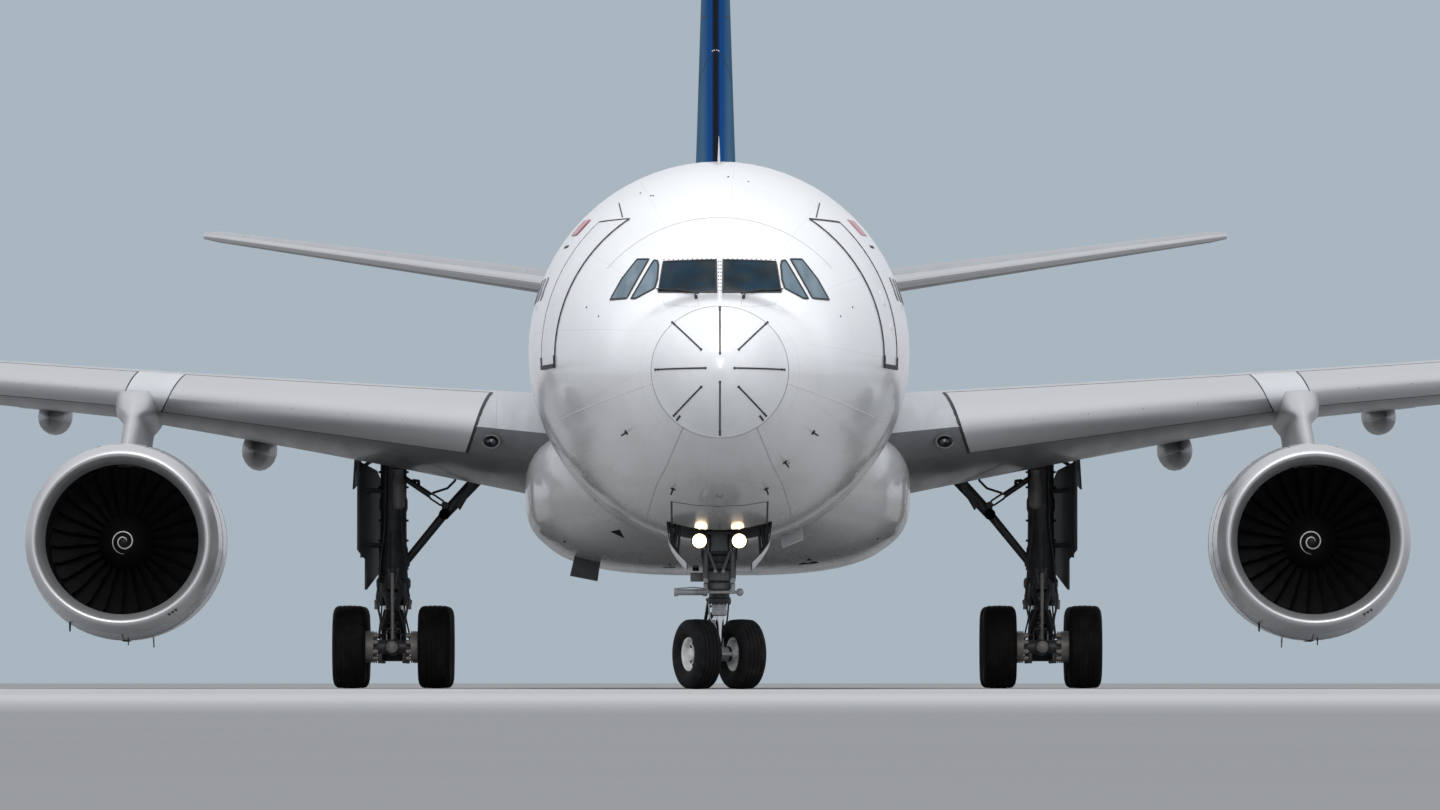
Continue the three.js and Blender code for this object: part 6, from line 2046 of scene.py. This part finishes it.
class AIRLINER_OT_main_gear(bpy.types.Operator):
    """Main legs with their stays, torque links, doors, bogies, brakes and wheels"""

    bl_idname = "airliner.main_gear"
    bl_label = "Main gear"

    def execute(self, context):
        make_main_leg()
        make_side_stay()
        make_bogie()
        make_leg_door()
        axle_z = MAIN_WHEEL[0]
        for end, station in (("front", MAIN_STATION - BOGIE_REACH), ("rear", MAIN_STATION + BOGIE_REACH)):
            tyres, rims = bmesh.new(), bmesh.new()
            for side in (1, -1):
                centre = full(MAIN_X + side * MAIN_SPREAD, station, axle_z)
                tyre(tyres, centre, MAIN_WHEEL)
                rim(rims, centre, MAIN_WHEEL, side)
            rod(rims, full(MAIN_X - 0.7, station, axle_z), full(MAIN_X + 0.7, station, axle_z), 0.08)
            body = "main_wheels_" + end + "_{}"
            pair(tyres, "main_tyres_" + end, FINISHES["rubber"], body,
                 ["main_tyre_" + end + "_outer_{}", "main_tyre_" + end + "_inner_{}"], "tyre", 50)
            pair(rims, "main_rims_" + end, [FINISHES["rim"], FINISHES["seal"]], body, [body], "wheel_paint")
        return {"FINISHED"}


def make_main_leg():
    x, y, axle = MAIN_X, LEG_STATION, MAIN_WHEEL[0]
    centre = full(x, y, 0)
    bm = spun(bmesh.new(), [
        (0, 1.72), (0.2, 1.72), (0.228, 1.75), (0.228, 2.1), (0.24, 2.14), (0.24, 2.3), (0.22, 2.36), (0.215, 2.9),
        (0.235, 2.96), (0.235, 3.1), (0.215, 3.16), (0.22, 4.0), (0, 4.0),
    ], centre, UPRIGHT, 44)
    spun(bm, [(0.17, 1.66), (0.27, 1.66), (0.285, 1.675), (0.285, 1.785), (0.27, 1.8), (0.17, 1.8)],
         centre, UPRIGHT, 44)
    bolts_round(bm, (x, y), 0.255, 0.016, 1.64, 1.82, 16)
    brick(bm, (x - 0.26, y - 0.13, 2.0), (x - 0.02, y + 0.13, 2.22), 0.03)
    for side in (1, -1):
        rod(bm, *beside(x, y, side, (0.17, -0.22, 1.42), (0.29, -0.22, 1.42)), 0.06)
        rod(bm, *beside(x, y, side, (0.25, -0.22, 1.42), (0.31, -0.22, 1.42)), 0.035)
        brick(bm, (x + side * 0.2 - 0.04, y - 0.28, 1.36), (x + side * 0.2 + 0.04, y + 0.1, 1.74), 0.01)
        hose(bm, beside(x, y, side, (0.12, -0.23, 3.7), (0.14, -0.26, 2.7), (0.2, -0.24, 2.2), (0.23, -0.26, 1.8),
                        (0.26, -0.4, 1.45), (0.2, -0.4, 1.1), (0.22, -0.5, 0.86)), 0.018)
        hose(bm, beside(x, y, side, (0.05, -0.25, 2.6), (0.07, -0.28, 2.0), (0.16, -0.35, 1.6), (0.2, -0.1, 1.2),
                        (0.25, 0.4, 0.9), (0.24, 0.9, 0.8)), 0.014)
        plate(bm, beside(x, y, side, (0.1, -0.27, 1.98), (0.055, -0.27, 1.98), (0.03, -0.3, 1.74),
                         (0.065, -0.3, 1.74)), 0.03 * side, 0)
    for z in (1.95, 2.42, 2.75, 3.3, 3.55):
        spun(bm, [(0.2, z), (0.25, z), (0.25, z + 0.035), (0.2, z + 0.035)], centre, UPRIGHT, 44)
    link(bm, (x, y - 0.26, 1.66), (x, y - 0.55, 1.3), 0.14, 0.06, 0.05)
    link(bm, (x, y - 0.02, 0.98), (x, y - 0.55, 1.3), 0.16, 0.06, 0.05)
    rod(bm, full(x, y - 0.36, 1.98), full(x, y - 0.36, 1.9), 0.05)
    rod(bm, full(x, y - 0.62, 1.86), full(x, y - 0.64, 1.0), 0.018, segments=12)
    rod(bm, full(x, y - 0.2, 1.95), full(x, y - 0.62, 1.86), 0.024, segments=12)
    rod(bm, full(x, y - 0.64, 1.0), full(x, y - 0.5, 0.8), 0.024, segments=12)
    pin_y = MAIN_STATION
    rod(bm, full(x - 0.2, pin_y, axle), full(x + 0.2, pin_y, axle), 0.235, segments=40)
    rod(bm, full(x - 0.23, pin_y, axle), full(x + 0.23, pin_y, axle), 0.11, segments=28)
    for side in (1, -1):
        plate(bm, [full(x + side * 0.2, pin_y - 0.2, axle), full(x + side * 0.2, pin_y - 0.28, 1.12),
                   full(x + side * 0.16, y - 0.1, 1.3), full(x + side * 0.16, y + 0.2, 1.3),
                   full(x + side * 0.2, pin_y + 0.18, 1.0), full(x + side * 0.2, pin_y + 0.2, axle)], 0.05 * side)
    pair(bm, "main_leg_casting", FINISHES["strut_in_shade"], replaces=["main_leg_{}"], slot="gear_metal", sharp=40)
    shaft = rod(bmesh.new(), full(x, MAIN_STATION - 0.1, axle), full(x, y, 1.7), 0.165, segments=40)
    pair(shaft, "main_piston_chrome", FINISHES["chrome"], slot="bare_metal", sharp=40)
    steel = spun(bmesh.new(), [
        (0, 2.95), (0.05, 2.955), (0.09, 2.985), (0.11, 3.04), (0.11, 3.42), (0.085, 3.45), (0.085, 3.6), (0, 3.6),
    ], full(x - 0.09, y - 0.3, 0), UPRIGHT, 28)
    rod(steel, full(x, y - 0.62, 1.9), full(x, y - 0.64, 0.78), 0.026, segments=14)
    for side in (1, -1):
        for low, high, radius in ((1.3, 1.42, 0.045), (1.42, 1.55, 0.024)):
            rod(steel, *beside(x, y, side, (0.26, -0.36, low), (0.26, -0.36, high)), radius, segments=16)
    spun(steel, [(0, -0.2), (0.07, -0.195), (0.1, -0.17), (0.1, 0.0), (0, 0.0)],
         full(x, MAIN_STATION - BOGIE_REACH, axle), (0, 1, 0), 24)
    pair(steel, "main_leg_actuators", FINISHES["brake"], slot="gear_metal", sharp=40)


def make_side_stay():
    """The folding side stay, its drilled lock links, its spring and the fairing strip beside its head"""
    bm = bmesh.new()
    for low, high, r0, r1 in ((STAY_FOOT, STAY_ELBOW, 0.066, 0.072), (STAY_ELBOW, STAY_HEAD, 0.09, 0.105)):
        rod(bm, low, high, r0, r1)
        for p in (low, high):
            pin_through(bm, p, (0, 0.13, 0), 0.09)
    lock_foot, lock_head = full(4.49, 28.5, 3.02), full(5.36, 28.57, 3.6)
    for gap in (-0.09, 0.09):
        # A flat link with a lightening hole near its foot, drawn as two bars round it and one beyond
        along = (lock_head - lock_foot).normalized()
        aside = Vector((-along.z, 0, along.x))
        off = Vector((0, gap, 0))
        near, far = lock_foot + along * 0.07 + off, lock_foot + along * 0.26 + off
        for sign in (1, -1):
            wide = aside * sign * 0.042
            pipe(bm, [lock_foot + off, near + wide, far + wide, far + along * 0.1], 0.016)
        rod(bm, far + along * 0.04, lock_head + off, 0.05, 0.045)
    pin_through(bm, lock_foot, (0, 0.13, 0), 0.06)
    rod(bm, STAY_ELBOW, lock_foot, 0.05)
    knob = lock_foot.lerp(lock_head, 0.5)
    pipe(bm, [knob + Vector(p) for p in ((0, 0, 0), (0, 0, 0.11), (0.09, 0, 0.12), (0.12, 0, 0.03))], 0.026)
    pipe(bm, [full(4.7, 28.5, 3.22), full(4.45, 28.5, 3.3), full(4.33, 28.5, 3.42), full(4.28, 28.5, 3.56)], 0.02)
    plate(bm, [full(3.98, 28.35, 3.42), full(4.02, 28.35, 3.3), full(4.24, 28.35, 2.93), full(4.3, 28.35, 3.01),
               full(4.12, 28.35, 3.34), full(4.08, 28.35, 3.46)], 0.03)
    pair(bm, "side_stay_links", FINISHES["strut_in_shade"], replaces=["side_stay_{}"], slot="gear_metal", sharp=40)


def make_bogie():
    """The bogie beam with its axle sleeves, brake packs, brake rods and hoses"""
    x, axle = MAIN_X, MAIN_WHEEL[0]
    front, rear = MAIN_STATION - BOGIE_REACH, MAIN_STATION + BOGIE_REACH
    beam = [(0, front - 0.16), (0.1, front - 0.16), (0.12, front - 0.14), (0.125, front + 0.15), (0.14, front + 0.4),
            (0.15, MAIN_STATION), (0.14, rear - 0.4), (0.125, rear - 0.15), (0.12, rear + 0.14), (0.1, rear + 0.16),
            (0, rear + 0.16)]
    bm = spun(bmesh.new(), beam, full(x, 0, axle), (0, 1, 0), 36)
    for station in (front, rear):
        rod(bm, full(x - 0.5, station, axle), full(x + 0.5, station, axle), 0.115, segments=32)
        spun(bm, [(0.06, -0.172), (0.085, -0.172), (0.085, -0.15), (0.06, -0.15)],
             full(x, station, axle), (0, math.copysign(1, station - MAIN_STATION) * -1, 0), 24)
    for side in (1, -1):
        rod(bm, full(x + side * 0.2, front, axle - 0.24), full(x + side * 0.15, MAIN_STATION, axle - 0.2), 0.03)
        rod(bm, full(x + side * 0.2, rear, axle - 0.24), full(x + side * 0.15, MAIN_STATION, axle - 0.2), 0.03)
        for station in (front, rear):
            lug = x + side * 0.2
            brick(bm, (lug - 0.035, station - 0.05, axle - 0.27), (lug + 0.035, station + 0.05, axle), 0.01)
            hose(bm, [full(x + side * 0.12, MAIN_STATION, axle + 0.26),
                      full(x + side * 0.16, mix(station, MAIN_STATION, 0.5), axle + 0.2),
                      full(x + side * 0.3, station, axle + 0.21)], 0.014)
    pair(bm, "bogie_casting", FINISHES["strut_in_shade"], replaces=["bogie_beam_{}"], slot="gear_metal", sharp=40)
    brakes = bmesh.new()
    for station in (front, rear):
        for side in (1, -1):
            stack = [
                (radius, side * (0.31 + 0.03 * k + rise)) for k in range(6)
                for radius, rise in ((0.262, 0), (0.262, 0.018), (0.235, 0.019), (0.235, 0.029))
            ]
            spun(brakes, [(0.1, side * 0.3), *stack, (0.1, side * 0.492)], full(x, station, axle), ALONG_X, 40)
            for a in turns(8, 0.5):
                p = full(x, station + math.cos(a) * 0.2, axle + math.sin(a) * 0.2)
                rod(brakes, p + Vector((side * 0.24, 0, 0)), p + Vector((side * 0.31, 0, 0)), 0.042, segments=16)
                rod(brakes, p + Vector((side * 0.225, 0, 0)), p + Vector((side * 0.25, 0, 0)), 0.02, segments=10)
    pair(brakes, "brake_packs", FINISHES["brake"], slot="dark_metal", sharp=35)


def make_leg_door():
    """The leg door and the small door above it, with ribs and the links that hold them"""
    def on_door(s, z, out=0.0):
        return full(5.92 - 0.25 * (s - 27.75) + out, s, z)

    bm = bmesh.new()
    plate(bm, [on_door(s, z) for s, z in LEG_DOOR], -0.045, 0.008)
    for s, z in ((27.95, 3.6), (28.35, 3.5), (28.7, 3.3)):
        rod(bm, on_door(s, z, -0.02), on_door(s, 2.15, -0.02), 0.022, segments=12)
    for z in (2.3, 2.75, 3.2):
        rod(bm, on_door(27.85, z, -0.02), on_door(28.9, z, -0.02), 0.02, segments=12)
    for z in (2.36, 3.26):
        rod(bm, full(5.5, LEG_STATION, z), on_door(LEG_STATION, z, -0.01), 0.04)
        rod(bm, full(5.5, LEG_STATION - 0.1, z), on_door(28.1, z + 0.02, -0.01), 0.025)
    plate(bm, [full(5.93, 27.95, 3.93), full(5.97, 27.95, 3.27), full(5.9, 28.85, 3.4), full(5.87, 28.85, 3.93)],
          0.03)
    rod(bm, full(5.6, 28.3, 3.8), full(5.93, 28.3, 3.6), 0.03)
    pair(bm, "leg_door_panels", FINISHES["under"], replaces=["leg_door_{}"], slot="grey_paint", sharp=40)


# Small fittings of the nose and crown, placed as seen from ahead: x and height
RADOME_STRIPS = [
    (0, 1, 0.193, 0.887), (0, -1, 0.182, 0.92), (1, 0, 0.19, 0.915), (-1, 0, 0.19, 0.915),
    (0.707, 0.707, 0.357, 0.956), (-0.707, 0.707, 0.357, 0.956), (0.707, -0.707, 0.354, 0.924),
    (-0.707, -0.707, 0.354, 0.924),
]
STRIP_CENTRE_Z = 4.476
STRIP_WIDTH = 0.022
PROBES = [(1.32, 3.63), (-1.32, 3.63), (0.925, 3.21), (0.66, 2.845), (-0.66, 2.845)]
PORTS = [(-1.144, 7.19), (-0.99, 7.13), (-0.955, 7.125), (0.98, 3.2), (0.13, 7.42), (0.42, 7.34), (1.9, 5.45),
         (-1.9, 5.45), (1.72, 5.3), (-1.72, 5.3)]
FORWARD_BAY = [(0.686, 2.3), (0.686, 2.675), (0.35, 2.62), (0.0, 2.605)]
CHIN_SEAM = [(0.52, 3.66), (0.76, 3.13), (0.9, 2.9), (1.08, 2.4)]
CHEEK_SEAM_HIGHLIGHT = [(0.93, 4.3), (1.87, 4.02), (2.43, 3.85)]
HATCH_DOTS = [(0.305, 5.47), (0.305, 5.38), (0.424, 5.366), (0.79, 5.437), (0.8, 5.51)]
GUTTER = [(1.395, 6.8), (1.455, 7.05)]
# Blade antennas: station, height and chord, above for 1 and below for -1
ANTENNAS = [(10.0, 0.44, 0.4, 1), (17.5, 0.3, 0.34, 1), (38.0, 0.3, 0.34, 1), (12.6, 0.28, 0.32, -1),
            (38.2, 0.28, 0.32, -1)]
BEACONS = [(24.0, 1), (25.0, -1)]
DRAINS = [(-0.35, 1.84, 0.05), (-2.4, 2.3, 0.02), (2.5, 2.35, 0.02)]
# Belly inlets as triangles, and drain fittings as (x, height, size), all seen from ahead
FLAP_STATION = 20.5
INLETS = [
    [(-1.66, 2.43), (-1.52, 2.46), (-1.45, 2.33)], [(-0.87, 1.905), (-0.76, 1.955), (-0.66, 1.905)],
    [(1.26, 1.945), (1.42, 2.035), (1.58, 1.975)],
]


def probe(bm, x, z):
    """An air-data probe: an oval foot on the skin, a mast and a forward tube"""
    station, angle = facing(x, z)
    foot, tip = on_skin(station, angle, 0), on_skin(station, angle, 0.085)
    knob(bm, x, z, 0.038, 0.007, -0.01, 20)
    rod(bm, foot, tip, 0.016, 0.012, segments=14)
    rod(bm, tip + Vector((0, 0.05, 0)), tip - Vector((0, 0.12, 0)), 0.013, 0.009, segments=14)
    return bm


def blade(bm, foot, height, chord):
    """A swept blade antenna with a lens-shaped section, up for a positive height and down for a negative one"""
    rings = []
    for t in steps(0, 1, 6):
        length, half = chord * mix(1, 0.12, t), 0.03 * mix(1, 0.15, t)
        rings.append([
            foot + Vector((half * math.sin(a) * math.sin(a / 2 if a < math.pi else math.pi - a / 2),
                           mix(0, chord * 0.55, t) - length * math.cos(a) / 2, height * t))
            for a in turns(16)
        ])
    return loft(bm, rings)


class AIRLINER_OT_nose_fittings(bpy.types.Operator):
    """Radome strips, probes, ports, seams and gutters of the nose, and the red patch behind each front door"""

    bl_idname = "airliner.nose_fittings"
    bl_label = "Nose fittings"

    def execute(self, context):
        dark = bmesh.new()
        for across, up, low, high in RADOME_STRIPS:
            ends = [(across * r, STRIP_CENTRE_Z + up * r) for r in (low, high)]
            strip(dark, front_places(ends, 1, 12), STRIP_WIDTH, 0.005)
            for r in (high - 0.012, high - 0.05, low + 0.012):
                knob(dark, across * r, STRIP_CENTRE_Z + up * r, 0.0165, 0.012)
        for side in (1, -1):
            strip(dark, front_places([(side * 0.556, 3.828), (side * 0.606, 3.766)], 1, 2), 0.03, 0.006)
            strip(dark, front_places(FORWARD_BAY[:2], side, 8), 0.024, 0.004)
            strip(dark, front_places(FORWARD_BAY[1:], side, 8), 0.011, 0.003)
            strip(dark, front_places(GUTTER, side, 6), 0.014, 0.008)
            for (x0, z0), (x1, z1) in zip(HATCH_DOTS, HATCH_DOTS[1:]):
                for t in steps(0, 1, max(2, round(math.hypot(x1 - x0, z1 - z0) / 0.035)))[:-1]:
                    knob(dark, side * mix(x0, x1, t), mix(z0, z1, t), 0.0055, 0.002)
            hook = [(side * 0.04, 2.765), (side * 0.034, 2.735), (0, 2.733)]
            strip(dark, front_places(hook, 1, 2), 0.008, 0.003)
            dash = [(s, angle_at_height(s, 6.45, side)) for s in (7.1, 7.5)]
            strip(dark, dash, 0.04, 0.004)
        strip(dark, front_places([(0, 2.38), (0, 2.3)], 1, 3), 0.009, 0.003)
        for x, z in PORTS:
            knob(dark, x, z, 0.014, 0.004)
        for x, z in PROBES:
            probe(dark, x, z)
        piece(dark, "nose_strips_and_probes", "airframe", FINISHES["seal"])
        seams, light, red = bmesh.new(), bmesh.new(), bmesh.new()
        strip(seams, [(RADOME_STATION - 0.001, a) for a in steps(0, math.tau, 120)], 0.014, 0.002)
        strip(seams, [(3.9, a) for a in steps(math.radians(40), math.radians(140), 40)], 0.008, 0.001)
        for side in (1, -1):
            strip(seams, front_places(CHIN_SEAM, side, 8), 0.009, 0.002)
            # Painted highlight: the cheek's lap joint is a white strip, standing for the light it catches
            strip(light, front_places(CHEEK_SEAM_HIGHLIGHT, side, 16), 0.012, 0.003)
            patch(red, ((7.05, 7.7), (6.62, 6.84)), 4, 3, side_place(side), 0.02, 0.005)
        piece(seams, "nose_seams", "airframe", FINISHES["gear"])
        piece(light, "cheek_seam_highlights", "airframe", FINISHES["marking"])
        piece(red, "red_patches", "airframe", FINISHES["patch"])
        return {"FINISHED"}


def facing_belly(x, z, out=0.0):
    """The point of the belly fairing that is met at (x, z) by looking aft"""
    low, high = BELLY[0][0], BELLY[3][0]
    power = 1 / BELLY_SQUARENESS
    for _ in range(40):
        station = (low + high) / 2
        _, half, bottom, top = eased_at(BELLY, station)
        across, rise = x / half, (2 * z - bottom - top) / (top - bottom)
        if abs(across) ** (2 * power) + abs(rise) ** (2 * power) > 1:
            low = station
        else:
            high = station
    angle = math.atan2(math.copysign(abs(rise) ** power, rise), math.copysign(abs(across) ** power, across))
    return belly_point(station, angle, out)


class AIRLINER_OT_antennas(bpy.types.Operator):
    """Blade antennas, beacons, belly inlets, drain fittings and a belly flap"""

    bl_idname = "airliner.antennas"
    bl_label = "Antennas and belly fittings"

    def execute(self, context):
        white, dark, red = bmesh.new(), bmesh.new(), bmesh.new()
        for station, height, chord, up in ANTENNAS:
            foot = skin_point(station, up * math.pi / 2) - Vector((0, 0, up * 0.02))
            blade(white, foot, up * height, chord)
            plate(white, [foot + Vector((x * 0.055, y * chord * 0.6, up * 0.02)) for x, y in
                          ((-1, -0.8), (0, -1), (1, -0.8), (1, 0.8), (0, 1), (-1, 0.8))], 0.012, 0.003)
        for station, up in BEACONS:
            foot = skin_point(station, math.pi / 2) if up > 0 else belly_point(station, -math.pi / 2)
            spun(red, [(0, up * 0.11), (0.05, up * 0.1), (0.085, up * 0.06), (0.095, 0.0), (0.095, -up * 0.03),
                       (0, -up * 0.03)], foot, UPRIGHT, 32)
            spun(white, [(0, up * 0.015), (0.115, up * 0.012), (0.125, -up * 0.005), (0, -up * 0.03)],
                 foot, UPRIGHT, 32)
        for corners in INLETS:
            # Inlets are dark plates: painted shade of their openings
            slab(dark, [facing_belly(x, z, 0.004) for x, z in corners], 0.01)
        for x, z, size in DRAINS:
            p = facing_belly(x, max(z, 1.9), -0.01)
            brick(dark, p - Vector((size, size, size * 1.2)), p + Vector((size, size * 2, size * 0.6)), 0.005)
        flap = bmesh.new()
        plate(flap, beside(0, FLAP_STATION, -1, (2.26, 0.1, 2.1), (1.85, 0.1, 2.02), (1.895, -0.15, 1.7),
                           (2.33, -0.15, 1.785)), 0.02, 0.004)
        plate(white, [full(0.93, 12.2, 2.31), full(1.25, 12.2, 2.41), full(1.27, 12.0, 2.25), full(0.95, 12.0, 2.12)],
              0.016, 0.003)
        piece(white, "antennas", "airframe", FINISHES["white"], sharp=40)
        piece(dark, "belly_inlets", "airframe", FINISHES["duct"])
        piece(flap, "belly_flap", "airframe", FINISHES["gear_mid"])
        piece(red, "beacons", "airframe", FINISHES["red"], sharp=60)
        return {"FINISHED"}


# Stage: the photo's camera stood at floor level, far ahead of the nose, with a very long lens
FOCAL_PX = 11064.0
PHOTO_SIZE = (1440, 810)
HORIZON_ROW = 682.3
CAMERA_TO_NOSE = 154.0
CAMERA_HEIGHT = 0.1
CAMERA_ASIDE = -0.25
SENSOR_MM = 36.0
FLOOR_HALF = 400.0
SKY_TOP, SKY_EDGE, SKY_LOW = (0.9, 0.92, 0.95), (0.6, 0.62, 0.66), (0.14, 0.14, 0.14)
BACKDROP = (0.4, 0.47, 0.53)
CAMERA_CLIP = (1.0, 1500.0)
# Name, place, aim, size and power of each lamp, in the model's metres
LAMPS = [("overhead_lamp", (0, -20, 22), (0, -10, 3), 14, 2300),
         ("front_lamp", (0, -62, 26), (0, -14, 2.5), 16, 7000)]


def make_world():
    """An even sky, brightest overhead and dimmer towards the floor, seen as one plain tone"""
    world = bpy.data.worlds.new("studio_sky")
    world.use_nodes = True
    bpy.context.scene.world = world
    nodes, links = world.node_tree.nodes, world.node_tree.links
    light = nodes["Background"]
    direction = nodes.new("ShaderNodeTexCoord").outputs["Generated"]
    apart = nodes.new("ShaderNodeSeparateXYZ")
    links.new(direction, apart.inputs[0])
    rise = nodes.new("ShaderNodeMapRange")
    rise.inputs["From Min"].default_value = -1.0
    links.new(apart.outputs[2], rise.inputs["Value"])
    ramp = nodes.new("ShaderNodeValToRGB")
    links.new(rise.outputs[0], ramp.inputs[0])
    stops = ramp.color_ramp.elements
    stops[0].position, stops[0].color = 0.4, (*SKY_LOW, 1)
    stops[1].position, stops[1].color = 0.95, (*SKY_TOP, 1)
    stops.new(0.52).color = (*SKY_EDGE, 1)
    links.new(ramp.outputs[0], light.inputs["Color"])
    plain = nodes.new("ShaderNodeBackground")
    plain.inputs["Color"].default_value = (*BACKDROP, 1)
    either = nodes.new("ShaderNodeMixShader")
    links.new(nodes.new("ShaderNodeLightPath").outputs["Is Camera Ray"], either.inputs[0])
    links.new(light.outputs[0], either.inputs[1])
    links.new(plain.outputs[0], either.inputs[2])
    links.new(either.outputs[0], nodes["World Output"].inputs["Surface"])


def area_light(name, place, aim, size, power):
    light = bpy.data.lights.new(name, "AREA")
    light.size = size
    light.energy = power
    obj = bpy.data.objects.new(name, light)
    obj.location = place
    obj.rotation_euler = (Vector(aim) - Vector(place)).to_track_quat("-Z", "Y").to_euler()
    bpy.context.collection.objects.link(obj)


class AIRLINER_OT_stage(bpy.types.Operator):
    """Pale floor, soft sky and lamps, and the camera of the photograph"""

    bl_idname = "airliner.stage"
    bl_label = "Stage"

    def execute(self, context):
        bm = bmesh.new()
        bmesh.ops.create_grid(bm, x_segments=1, y_segments=1, size=FLOOR_HALF)
        mesh = as_mesh(bm, "floor")
        s = Shader("floor_paint", colours().floor, 0.9)
        s.mirror(0.0)
        worn(s, 0.97, 1.0, 0.4)
        mesh.materials.append(s.material)
        floor = bpy.data.objects.new("floor", mesh)
        context.collection.objects.link(floor)
        make_world()
        for lamp in LAMPS:
            area_light(*lamp)
        camera = bpy.data.cameras.new("photo_camera")
        camera.sensor_width = SENSOR_MM
        camera.lens = SENSOR_MM * FOCAL_PX / PHOTO_SIZE[0]
        camera.clip_start, camera.clip_end = CAMERA_CLIP
        obj = bpy.data.objects.new("photo_camera", camera)
        place = Vector((CAMERA_ASIDE, -CAMERA_TO_NOSE, CAMERA_HEIGHT)) * MODEL_SCALE
        obj.location = place + Vector((0, CAD_BOX[0].y, 0))
        pitch = math.atan((HORIZON_ROW - PHOTO_SIZE[1] / 2) / FOCAL_PX)
        obj.rotation_euler = (math.pi / 2 + pitch, 0, math.atan(CAMERA_ASIDE / CAMERA_TO_NOSE))
        context.collection.objects.link(obj)
        context.scene.camera = obj
        context.scene.view_settings.view_transform = "Standard"
        return {"FINISHED"}


# The sidebar panel, and the run of all the steps
STEPS = (
    AIRLINER_OT_fuselage, AIRLINER_OT_cockpit, AIRLINER_OT_doors, AIRLINER_OT_windows, AIRLINER_OT_wings,
    AIRLINER_OT_engines, AIRLINER_OT_fin, AIRLINER_OT_tailplane, AIRLINER_OT_nose_gear, AIRLINER_OT_main_gear,
    AIRLINER_OT_nose_fittings, AIRLINER_OT_antennas,
    AIRLINER_OT_stage,
)


class AIRLINER_PT_panel(bpy.types.Panel):
    """The airliner's steps, colours and sizes"""

    bl_idname = "AIRLINER_PT_panel"
    bl_label = "Airliner"
    bl_space_type = "VIEW_3D"
    bl_region_type = "UI"
    bl_category = "Airliner"

    def draw(self, context):
        layout = self.layout
        for step in STEPS:
            layout.operator(step.bl_idname)
        for group in (context.scene.airliner_colours, context.scene.airliner_sizes):
            box = layout.box()
            for name in group.bl_rna.properties.keys():
                if name not in ("rna_type", "name"):
                    box.prop(group, name)


CLASSES = (AirlinerColours, AirlinerSizes, *STEPS, AIRLINER_PT_panel)


def register():
    for cls in CLASSES:
        bpy.utils.register_class(cls)
    bpy.types.Scene.airliner_colours = PointerProperty(type=AirlinerColours)
    bpy.types.Scene.airliner_sizes = PointerProperty(type=AirlinerSizes)


def unregister():
    del bpy.types.Scene.airliner_sizes
    del bpy.types.Scene.airliner_colours
    for cls in reversed(CLASSES):
        bpy.utils.unregister_class(cls)


def main():
    register()
    make_finishes()
    for step in STEPS:
        group, name = step.bl_idname.split(".")
        getattr(getattr(bpy.ops, group), name)()


if __name__ == "__main__":
    main()
